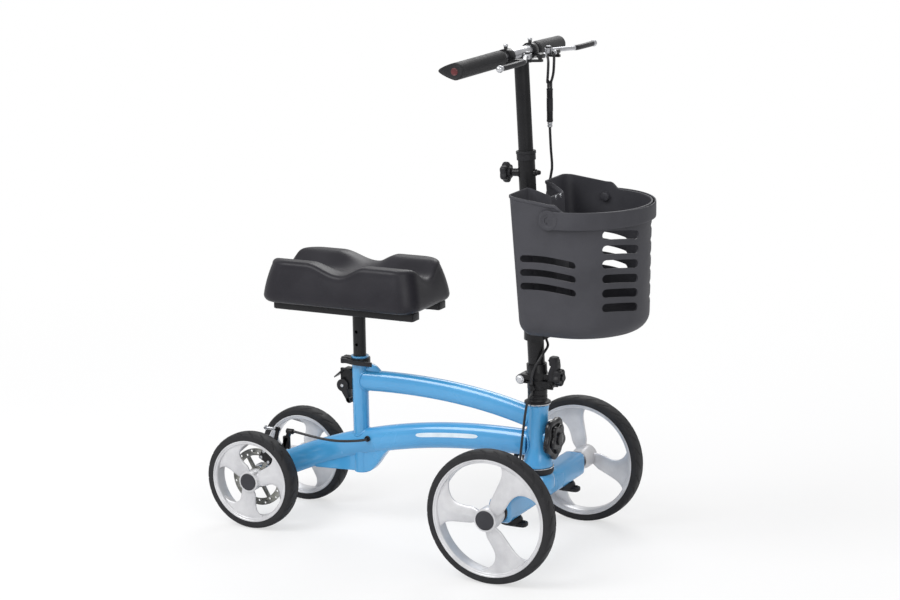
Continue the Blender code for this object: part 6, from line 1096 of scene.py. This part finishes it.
def makeBand():
    inner, innerX, thick = pivotHalf + band["gap"], basket["nose"] + band["gap"], band["thickness"]
    tail = band["straightShare"]

    def spot(u, v):
        a = pi * (2 * min(1, max(0, (v - tail) / (1 - 2 * tail))) - 1) / 2
        lead = (pivotX - noseX) * (smoothstep((tail - v) / tail) + smoothstep((v - 1 + tail) / tail))
        half = (band["front"] + (band["height"] - band["front"]) * abs(sin(a))) / 2
        out = thick / 2 * (1 + signed(cos(2 * pi * u), 0.5))
        return (noseX + lead + (innerX + out) * cos(a), (inner + out) * sin(a),
                pivotZ + signed(sin(2 * pi * u), 0.28) * half)

    strip = shapedGrid("bandStrip", 40, 120, spot)
    eyes = [turned("bandEye", band["eye"], 64, facing(side, pivotX, 0, pivotZ), level=inner) for side,
            hand in sides]
    stands(shadeRound(joined("basketBandFine", strip, *eyes), 38), texturedPolypropylene, "basket_handle")


# domed screws with a hex recess that hold the basket's back to its bracket
basketScrew = {"head": [(0, -2), (3.04, -2), (3.04, 0), (3.8, 0), (3.61, 0.88), (2.508, 1.6), (1.596, 1.6),
                        (1.52, 0.56), (0, 0.56)],
               "places": ((-0.0105, 0.690), (0.0105, 0.690), (-0.0105, 0.655), (0.0105, 0.655))}
makeBasket()
makeBand()
for number, (y, z) in enumerate(basketScrew["places"]):
    x = basket["back"] + basket["backDraft"] * (basket["top"] - z) + basket["notchDepth"] + basket["wall"]
    bright(turned("basketScrew" + str(number), basketScrew["head"], 24, at(x, y, z) @ toX, degrees=32),
           "column")
print("basket ready")

# Column: outer tube, split collar, height knob, inner tube with its handlebar; profiles start at the fold
column = {"boltAt": 0.393, "stemRadius": 0.0138, "stemTop": 0.615,
          "tube": [(14.1, 6), (15.3, 6), (15.9, 6.6), (15.9, 430.4), (15.3, 431), (14.1, 431)],
          "boss": [(0, 11.9), (8.6, 11.9), (8.6, 17.1), (7.5, 17.9), (7.5, 27.2), (6.8, 27.9), (0, 27.9)],
          "boltEnd": [(0, 11.9), (6.2, 11.9), (6.2, 19.4), (5.4, 20.1), (4.6, 20.3), (4.6, 24.4),
                      (3.6, 26.9), (1.8, 27.8), (0, 27.9)], "collar": [(16.2, 417), (17.4, 417),
                                                                       (17.8, 417.4), (17.8, 428.1),
                                                                       (18.7, 428.9), (18.7, 433.3),
                                                                       (17.9, 434.3), (14.1, 434.3),
                                                                       (14.1, 431.4), (16.2, 431.4)],
          "split": ((-0.030, -0.0009, 0.407), (-0.012, 0.0009, 0.4443)), "splitEdge": 0.0001,
          "knob": {"radius": 0.0195, "depth": 0.17, "lobes": 6, "low": 0.0359, "high": 0.0489,
                   "hubRadius": 0.0085, "hubRise": 0.0010}, "hub": [(0, 28.4), (4, 28.4), (4, 30.9),
                                                                    (9.2, 31.5), (9.6, 32.3), (10.6, 36.4),
                                                                    (0, 36.4)],
          "stem": [(12.2, 291), (13.3, 291), (13.8, 291.5), (13.8, 612.8), (12.9, 614.3), (11, 615),
                   (0, 615.4)]}
bar = {"x": 0.19202, "z": 0.95284, "radius": 0.0111, "half": 0.218, "sweep": 6.5, "drop": 0.009}
grip = {"start": 0.072, "length": 0.150, "radius": 0.0158, "wing": 0.033, "pinch": 0.45,
        "boreRadius": 0.0113, "boreFrom": 0.060, "boreLength": 0.15, "endFace": 0.997, "steps": 26,
        "innerEnd": [(0, 0.80), (0, 0.88), (0.003, 0.93), (0.010, 0.95), (0.030, 0.955), (0.036, 1)],
        "outerEnd": [(0.988, 0.99), (0.996, 0.965), (1, 0.92), (1, 0.80), (0.9975, 0.77), (0.9970, 0.60),
                     (0.9970, 0)], "disc": [(0, -0.6), (6.8, -0.6), (6.8, 0.5), (6.2, 0.9), (5.8, 0.6),
                                            (5.2, 0.4), (0, 0.4)]}
# the lever's second grow and span size a black sheath of painted reflection: the dark that the bright blade
# reflects on its outer half
lever = {"pivotY": 0.046, "ahead": 0.040, "tipY": 0.205, "tipAhead": 0.021, "tipDrop": 0.003, "bow": 0.004,
         "ballRadius": 6.5, "half": (0.0045, 0.005), "sleeve": 0.0007, "armSpan": (0.035, 0.995),
         "sleeveSpan": (0.40, 0.955),
         "eye": [(3.3, -5), (7.4, -5), (8, -4.4), (8, 4.4), (7.4, 5), (3.3, 5)]}
perch = {"y": 0.052, "screwTop": [(0, 19.6), (4.2, 19.6), (4.2, 22.2), (3.6, 23.2), (1.8, 23.2), (1.6, 21.5),
                                  (0, 21.5)], "screwLow": [(0, -22.5), (2.6, -22.5), (2.6, -20), (4.4, -20),
                                                           (4.4, -15.8), (0, -15.8)],
         "pivotScrew": [(0, 7.2), (4.8, 7.2), (4.8, 8.3), (4, 9.2), (2, 9.4), (1.8, 8.2), (0, 8.2)],
         "adjusterAt": (0.0215, 0.0258), "adjuster": [(3, 0), (4.6, 0), (4.9, 0.4), (4.9, 4.6), (4.6, 5),
                                                      (3.6, 5), (3.6, 8.5), (3, 8.5)]}
splitter = {"place": (0.23025, 0.042, 0.82104), "radius": 6, "length": 63, "grooves": 7, "pitch": 2.2,
            "upperFrom": 59, "lowerFrom": 19.5, "groove": [(0, 0), (0.7, 0.4), (0.7, 1.1), (0, 1.5)],
            "ferrule": [(0, 0), (4.4, 0), (4.7, -0.4), (4.7, -3.6), (4.2, -4), (4.2, -5.2), (4.7, -5.6),
                        (4.7, -8.6), (3.8, -10), (0, -10)]}


def roundAbout(centre, radius, u):
    return centre + radius * Vector((cos(2 * pi * u), 0, sin(2 * pi * u)))


def barPoint(y):
    away = (y * y + 0.00003) ** 0.5
    return Vector((bar["x"] - away * tan(radians(bar["sweep"])), y,
                   bar["z"] - away * bar["drop"] / bar["half"]))


def makeColumnTube():
    bolt = at(0, 0, column["boltAt"])
    tube = turned("columnTube", column["tube"], 80, degrees=28)
    boss = turned("boltBoss", column["boss"], 40, bolt @ toRear)
    dome = turned("boltEnd", column["boltEnd"], 40, bolt @ toX, degrees=40)
    stands(settle(joined("columnTubeFine", tube, boss, dome), columnFrame), blackPowderCoat, "column_tube")
    collar = turned("columnCollarFine", column["collar"], 80, degrees=28)
    carved(collar, block("collarSplit", *column["split"], column["splitEdge"]))
    stands(shadeRound(settle(collar, columnFrame), 30), mouldedNylon, "column_collar")
    knob = starKnob("knobLobes", bolt @ toRear, **column["knob"])
    hub = turned("knobHub", column["hub"], 40, bolt @ toRear)
    stands(settle(joined("heightKnobFine", knob, hub), columnFrame), mouldedNylon, "height_knob")


def makeStem():
    tube = turned("innerTube", column["stem"], 72, degrees=28, closed=False)
    seam = [(x, y, column["stemTop"] - max(0, bar["radius"] ** 2 - x ** 2) ** 0.5)
            for x, y in ring(column["stemRadius"], 96)]
    stem = joined("stemFine", tube, weldBead("barBead", seam))
    stands(settle(stem, columnFrame), blackPowderCoat, "stem")
    tube = shapedGrid("handlebarTube", 56, 48,
                      lambda u, v: roundAbout(barPoint(bar["half"] * (2 * v - 1)), bar["radius"], u))
    finish(shadeRound(tube), brushedAluminium, "handlebar", "bright_steel")


def makeGrip(name, side):
    # round in front, drawn out to a soft wing behind that grows towards the end
    first, steps = grip["innerEnd"][-1][0], grip["steps"]
    middle = [(first + 0.944 * k / steps, 1) for k in range(1, steps + 1)]
    rings = grip["innerEnd"] + middle + grip["outerEnd"]

    def spot(u, v):
        t, scale = rings[round(v * (len(rings) - 1))]
        a = 2 * pi * u
        behind = max(0, -cos(a))
        wing = grip["radius"] + (grip["wing"] - grip["radius"]) * t ** 2
        x = grip["radius"] * max(0, cos(a)) - wing * behind
        z = grip["radius"] * sin(a) * (1 - grip["pinch"] * behind)
        return barPoint(side * (grip["start"] + grip["length"] * t)) + scale * Vector((x, 0, z))

    item = shapedGrid(name + "Fine", 96, len(rings) - 1, spot)
    hole = shapedGrid("gripHole", 40, 8,
                      lambda u, v: roundAbout(barPoint(side * (grip["boreFrom"] + grip["boreLength"] * v)),
                                               grip["boreRadius"], u))
    stands(shadeRound(carved(item, hole), 38), gripRubber, name)
    end = barPoint(side * (grip["start"] + grip["length"] * grip["endFace"]))
    finish(turned(name + "Disc", grip["disc"], 48, facing(side, *end)), redInsert, "handlebar", "grip_rubber")


def leverPivot(side):
    return Vector((barPoint(lever["pivotY"]).x + lever["ahead"], side * lever["pivotY"], bar["z"]))


def makeLever(name, side):
    # an eye, a slim blade along the grip and a ball at its tip, with a black sheath over the outer half that
    # is painted dark reflection of the bright blade
    pivot = leverPivot(side)
    way = Vector((lever["tipAhead"], side * (lever["tipY"] - lever["pivotY"]), -lever["tipDrop"]))

    def blade(part, span, grow):
        def spot(u, v):
            t = span[0] + (span[1] - span[0]) * v
            drawIn = 1 - 0.12 * (1 - smoothstep(v * 25) * smoothstep((1 - v) * 25)) * (grow > 0)
            halfX, halfZ = lever["half"]
            halfZ *= 0.85 + 0.05 * smoothstep(1 - t * 8)
            return pivot + Vector((way.x * smoothstep(2 * t) + lever["bow"] * sin(pi * t)
                                   + signed(cos(2 * pi * u), 0.8) * (halfX + grow) * drawIn, way.y * t,
                                   way.z * t + signed(sin(2 * pi * u), 0.8) * (halfZ + grow) * drawIn))
        return shadeRound(shapedGrid(part, 28, 60, spot))

    eye = turned("leverEye", lever["eye"], 48, at(*pivot), degrees=28)
    arm = blade("leverArm", lever["armSpan"], 0)
    radius = lever["ballRadius"]
    ball = turned("leverBall", [(radius * sin(pi * k / 16), -radius * cos(pi * k / 16)) for k in range(17)],
                  32, at(*(pivot + way)), degrees=40)
    stands(joined(name + "Fine", eye, arm, ball), brushedAluminium, name)
    # painted reflection: a black sheath over the outer blade stands for the dark that the bright lever
    # reflects there
    finish(blade(name + "DarkReflection", lever["sleeveSpan"], lever["sleeve"]), mouldedNylon, bodyOf[name],
           "black_plastic")


def makePerchScrews(side, hand):
    # clamp screw through the ring, pivot screw on the post and the knurled cable adjuster
    clamp, pivot = barPoint(side * perch["y"]), leverPivot(side)
    ahead, y = perch["adjusterAt"]
    screws = [turned("perchScrewTop", perch["screwTop"], 24, at(*clamp), degrees=28),
              turned("perchScrewLow", perch["screwLow"], 6, at(*clamp), degrees=28),
              turned("pivotScrew", perch["pivotScrew"], 24, at(*pivot), degrees=28),
              turned("adjuster", perch["adjuster"], 28, facing(-side, pivot.x + ahead, side * y, bar["z"]),
                     degrees=28)]
    bright(joined("perchScrews" + hand.title(), *screws), "handlebar")


def makeSplitter():
    stand, radius, length = at(*splitter["place"]), splitter["radius"], splitter["length"]
    profile = [(0, length), (radius - 1.2, length), (radius, length - 1.2)]
    for start in (splitter["upperFrom"], splitter["lowerFrom"]):
        for number in range(splitter["grooves"]):
            profile += [(radius - r, start - splitter["pitch"] * number - h) for r, h in splitter["groove"]]
    profile += [(radius, 1), (radius - 1, 0), (0, 0)]
    stands(turned("cableSplitterFine", profile, 48, stand, degrees=28), mouldedNylon, "cable_splitter")
    bright(turned("splitterFerrule", splitter["ferrule"], 32, stand, degrees=28), "handlebar")


makeColumnTube()
makeStem()
for side, hand in sides:
    makeGrip("grip_" + hand, side)
    makePerchScrews(side, hand)
    makeLever("brake_lever_" + hand, side)
makeSplitter()
print("column and handlebar ready")

# Pieces that are the CAD node's own shape with eased edges: how far, and in which finish
easedPieces = {"lever_perch_right": (0.0006, blackPowderCoat), "lever_perch_left": (0.0006, blackPowderCoat),
               "basket_bracket": (0.0006, blackPowderCoat), "fold_base": (0.0008, blackPowderCoat),
               "fold_yoke": (0.0008, blackPowderCoat), "seat_frame": (0.0008, blackPowderCoat),
               "seat_pin_bracket": (0.0006, blackPowderCoat), "caliper_bracket": (0.0005, zincSteel),
               "caliper_arm": (0.0006, blackPowderCoat), "rear_axle": (0.0006, zincSteel),
               "cable_grommet_front": (0.0007, mouldedNylon), "cable_grommet_rear": (0.0007, mouldedNylon)}
for name, (width, material) in easedPieces.items():
    stands(roundedCopy(name, width), material, name)
print("eased pieces ready")

# Fold joint: latch with its finger tab and lobed knob, the hinge pin and its bright heads
fold = {"pinRadius": 0.004, "headRadius": 0.0066, "headHeight": 0.0036, "latchX": 0.25125, "latchZ": 0.3295,
        "knobZ": 0.3455, "nutRadius": 0.0042, "nutHeight": 0.0030, "latchEdge": 0.0010,
        "tab": ((0.2468, -0.0086, 0.3660), (0.2640, 0.0086, 0.3850)), "tabEdge": 0.0042, "headInset": 0.004,
        "knob": {"radius": 0.0172, "depth": 0.22, "lobes": 5, "low": 0.0070, "high": 0.0215,
                 "hubRadius": 0.0062, "hubRise": 0.0020}}


def hexHead(name, radius, height, matrix, domed=False):
    # a six-sided head on a thin washer, with the bolt's end standing out where it is domed
    start = radius * 0.16
    parts = [turned(name + "Washer", [(0, 0), (radius * 1.25, 0), (radius * 1.25, start), (0, start)], 32,
                    matrix, unit=1), turned(name, [(0, start), (radius, start), (radius, height * 0.85),
                                                   (radius * 0.86, height), (0, height)], 6, matrix,
                                            degrees=25, unit=1)]
    if domed:
        parts.append(turned(name + "End", [(0, 0), (radius * 0.5, 0), (radius * 0.5, radius * 0.35),
                                           (radius * 0.36, radius * 0.5), (0, radius * 0.5)], 24, matrix,
                            level=height, unit=1))
    return joined(name, *parts)


def rodBetween(name, radius, low, high, steps, matrix):
    return turned(name, [(0, low), (radius, low), (radius, high), (0, high)], steps, matrix, unit=1)


def makeFoldJoint():
    tab = block("latchTab", *fold["tab"], fold["tabEdge"])
    knob = starKnob("latchKnob", at(fold["latchX"], 0, fold["knobZ"]) @ toX, **fold["knob"])
    latch = roundedCopy("fold_latch", fold["latchEdge"])
    stands(joined("fold_latchFine", latch, tab, knob), mouldedNylon, "fold_latch")
    low, high = (corner[1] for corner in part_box("fold_pin"))
    x, z = place["foldX"], place["foldZ"]
    pin = [rodBetween("foldPinShank", fold["pinRadius"], low + 0.001, high - 0.001, 32, at(x, 0, z) @ toY)]
    pin += [hexHead("foldPinHead", fold["headRadius"], fold["headHeight"], outward(x, y, z))
            for y in (low + fold["headInset"], high - fold["headInset"])]
    stands(joined("foldPinFine", *pin), zincSteel, "fold_pin")
    for number, corner in enumerate(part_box("fold_latch")):
        nut = hexHead("latchNut" + str(number), fold["nutRadius"], fold["nutHeight"],
                      outward(fold["latchX"], corner[1], fold["latchZ"]), domed=True)
        finish(nut, blackPowderCoat, "latch", "black_paint")


makeFoldJoint()
print("fold joint ready")

# Seat: post with its row of holes, bolts and end plugs of the rails
seat = {"post": [(11.1, 200), (12.7, 200), (12.7, 439.3), (12.3, 439.7), (11.1, 439.7)], "holeRadius": 0.0032,
        "holeCount": 5, "holePitch": 0.0254, "holeTop": 0.3947, "boltX": (-0.285, -0.040), "railY": 0.055,
        "bolt": [(0, 0), (5.2, 0), (5.2, 0.8), (4, 1), (3.6, 2.4), (2, 3), (0, 3)], "railLow": 0.440,
        "plugs": ((-0.00775, -0.00615), (-0.31335, -0.31175)), "plugHalf": 0.0122, "plugZ": (0.4409, 0.4556),
        "plugEdge": 0.0007}


def makeSeat():
    post = turned("seatPostFine", seat["post"], 72, seatStand, degrees=28)
    holes = [rodBetween("postHole", seat["holeRadius"], -0.02, 0.02, 28,
                        seatStand @ at(0, 0, seat["holeTop"] - seat["holePitch"] * k) @ toY)
             for k in range(seat["holeCount"])]
    stands(shadeRound(carved(post, joined("postHoles", *holes)), 28), blackPowderCoat, "seat_post")
    spots = [(x, side * seat["railY"]) for side, hand in sides for x in seat["boltX"]]
    bolts = [turned("railBolt", seat["bolt"], 28, at(x, y, seat["railLow"]) @ toX @ toX) for x, y in spots]
    bright(joined("railBolts", *bolts), "seat")
    low, high = seat["plugZ"]
    plugs = [block("railPlug", (rear, side * seat["railY"] - seat["plugHalf"], low),
                   (front, side * seat["railY"] + seat["plugHalf"], high), seat["plugEdge"])
             for rear, front in seat["plugs"] for side, hand in sides]
    finish(joined("railPlugs", *plugs), mouldedNylon, "seat", "black_plastic")


makeSeat()
print("seat ready")

# Seat clamp and pin trigger: a pressed band flatter than its solid, a round-cheeked trigger and their screws
clamp = {"middle": 0.3335, "lowered": 0.3360, "flatness": 0.62, "boltX": -0.19015,
         "boltEnd": [(0, -1), (3, -1), (3, 1.8), (2.2, 2.6), (0, 2.6)]}
trigger = {"x": -0.19775, "z": 0.283, "tailX": -0.1850, "tailZ": 0.2548, "cheekRadius": 12.6,
           "tailRadius": 5.2, "screw": [(0, -0.6), (3.4, -0.6), (3.4, 0.6), (2.6, 1.5), (1.2, 1.6), (1, 0.8),
                                        (0, 0.8)]}


def makeSeatClamp():
    squash = Matrix.Diagonal((1, 1, clamp["flatness"], 1))
    flatten = at(0, 0, clamp["lowered"]) @ squash @ at(0, 0, -clamp["middle"])
    for name, material in (("seat_clamp_collar", blackPowderCoat), ("seat_clamp_lever", mouldedNylon)):
        stands(settle(roundedCopy(name, 0.0006), flatten), material, name)
    end = outward(clamp["boltX"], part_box("seat_clamp_collar")[1][1], clamp["middle"])
    bright(turned("clampBoltEnd", clamp["boltEnd"], 24, end), "frame")


def makeTrigger():
    low, high = (corner[1] * 1000 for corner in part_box("seat_pin_trigger"))
    cheek, tail = trigger["cheekRadius"], trigger["tailRadius"]
    parts = [turned("triggerTail", [(0, low), (tail - 1, low), (tail, low + 1), (tail, high - 1),
                                    (tail - 1, high), (0, high)], 40,
                    at(trigger["tailX"], 0, trigger["tailZ"]) @ toY)]
    parts += [turned("triggerCheek", [(0, 7), (cheek, 7), (cheek, high - 1.6), (cheek - 1.6, high - 0.2),
                                      (0, high - 0.2)], 48, facing(side, trigger["x"], 0, trigger["z"]))
              for side, hand in sides]
    stands(joined("seat_pin_triggerFine", roundedCopy("seat_pin_trigger", 0.0008), *parts), mouldedNylon,
           "seat_pin_trigger")
    for number, y in enumerate((low / 1000, high / 1000)):
        bright(turned("triggerScrew" + str(number), trigger["screw"], 28,
                      outward(trigger["x"], y, trigger["z"])), "pin_trigger")


makeSeatClamp()
makeTrigger()
print("seat clamp ready")

# Brake caliper: body with its lobe, pull rod with nuts and barrel, and the bolts on its face
caliper = {"lobe": ((-0.3045, -0.0670, 0.156), (-0.2880, -0.0596, 0.183)), "lobeEdge": 0.0034,
           "rodTip": (-0.3184, -0.0565, 0.192), "rodRadius": 0.0014, "rodLength": 0.034, "nutRadius": 0.0040,
           "nutHeight": 0.0034, "nutsAt": (0.0052, 0.0285), "barrelRadius": 0.0030,
           "barrelAt": (0.012, 0.025), "turn": 62, "bolts": ((0.046, -0.009), (0.060, 0.009),
                                                             (0.046, 0.009)),
           "bolt": [(0, -1), (3.4, -1), (3.4, 1), (2.8, 1.8), (1.7, 1.8), (1.5, 0.6), (0, 0.6)]}


def makeBrake():
    lobe = block("caliperLobe", *caliper["lobe"], caliper["lobeEdge"])
    stands(joined("caliper_bodyFine", roundedCopy("caliper_body", 0.0008), lobe), blackPowderCoat,
           "caliper_body")
    tip = at(*caliper["rodTip"])
    parts = [rodBetween("pullRod", caliper["rodRadius"], 0, caliper["rodLength"], 16, tip @ toRear)]
    parts += [hexHead("pullNut", caliper["nutRadius"], caliper["nutHeight"], tip @ at(-behind, 0, 0) @ toRear)
              for behind in caliper["nutsAt"]]
    parts.append(rodBetween("pullBarrel", caliper["barrelRadius"], *caliper["barrelAt"], 24, tip @ toRear))
    bright(joined("pullRod", *parts), bodyOf["caliper_arm"])
    c, s = cos(radians(caliper["turn"])), sin(radians(caliper["turn"]))
    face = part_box("caliper_body")[0][1]
    bolts = [turned("caliperBolt", caliper["bolt"], 24, outward(place["rearX"] + reach * c - across * s,
                                                                face,
                                                                place["rearAxleZ"] + reach * s + across * c))
             for reach, across in caliper["bolts"]]
    bright(joined("caliperBolts", *bolts), "frame")


makeBrake()
print("brake ready")

# Brake cables: sheathed, 5 mm thick, each between two places that hold it
cableWidth = 0.005
cableRoutes = {
    "cable_right": [(0.24827, -0.029, 0.95284), (0.24827, -0.023, 0.95284), (0.24827, -0.02, 0.95284),
                    (0.24826, -0.00801, 0.94984), (0.24229, 0.00996, 0.93784), (0.23427, 0.02602, 0.91581),
                    (0.22747, 0.03805, 0.89583), (0.22745, 0.042, 0.89664), (0.22745, 0.042, 0.88464)],
    "cable_left": [(0.24827, 0.029, 0.95284), (0.24827, 0.023, 0.95284), (0.24827, 0.02, 0.95284),
                   (0.25028, 0.01804, 0.94882), (0.24926, 0.02002, 0.93484), (0.24224, 0.03199, 0.91281),
                   (0.23405, 0.03998, 0.89583), (0.23305, 0.042, 0.89664), (0.23305, 0.042, 0.88464)],
    "cable_upper": [(0.23025, 0.042, 0.81044), (0.23025, 0.042, 0.80744), (0.22727, 0.05203, 0.77008),
                    (0.22029, 0.07197, 0.73509), (0.2153, 0.07804, 0.7151), (0.20823, 0.06805, 0.66013),
                    (0.20927, 0.04596, 0.58016), (0.22121, 0.02803, 0.50481), (0.22873, 0.02132, 0.45483),
                    (0.23045, 0.0204, 0.432), (0.23045, 0.0204, 0.429), (0.23045, 0.0204, 0.423)],
    "cable_middle": [(0.23045, 0.0204, 0.419), (0.23045, 0.0204, 0.413), (0.23045, 0.0204, 0.41),
                     (0.23949, 0.00603, 0.40197), (0.23644, -0.013, 0.38803), (0.22723, -0.02352, 0.368),
                     (0.22127, -0.02498, 0.35001), (0.21985, -0.024, 0.3375), (0.21985, -0.024, 0.3345),
                     (0.21985, -0.024, 0.3285)],
    "cable_lower": [(0.21985, -0.024, 0.3245), (0.21985, -0.024, 0.3185), (0.21985, -0.024, 0.3155),
                    (0.21327, -0.03201, 0.29601), (0.20423, -0.03202, 0.23806), (0.19729, -0.02904, 0.19001),
                    (0.1912, -0.02095, 0.168), (0.1813, -0.00704, 0.17023), (0.17625, 0.0, 0.17621),
                    (0.17625, 0.0, 0.17921), (0.17625, 0.0, 0.18521)],
    "cable_rear": [(-0.13775, -0.02, 0.184), (-0.13775, -0.026, 0.184), (-0.13775, -0.029, 0.184),
                   (-0.1537, -0.03597, 0.18198), (-0.18676, -0.04801, 0.181), (-0.22171, -0.05602, 0.18403),
                   (-0.27675, -0.06, 0.192), (-0.27975, -0.06, 0.192), (-0.28575, -0.06, 0.192)]}
cableJoints = {"cable_upper": ("handlebar", "column"), "cable_middle": ("column", "steering"),
               "cable_lower": ("steering", "frame")}


def makeCable(name, route):
    points = [tuple(point) for point in curveThrough(route, 12)]
    item = curveMesh(name + "Fine", [points], closed=False, dimensions="3D", bevel_depth=cableWidth / 2,
                     bevel_resolution=3, use_fill_caps=True)
    shadeRound(item, 50)
    length = sum((Vector(b) - Vector(a)).length for a, b in zip(points, points[1:]))
    if name in cableJoints:
        paint(item, cableVinyl)
        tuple(points[0])
        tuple(points[-1])
        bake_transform(item)
        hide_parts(name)
    else:
        stands(item, cableVinyl, name)
    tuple(points[0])


for name, route in cableRoutes.items():
    makeCable(name, route)
print("cables ready")

print("scene finished")
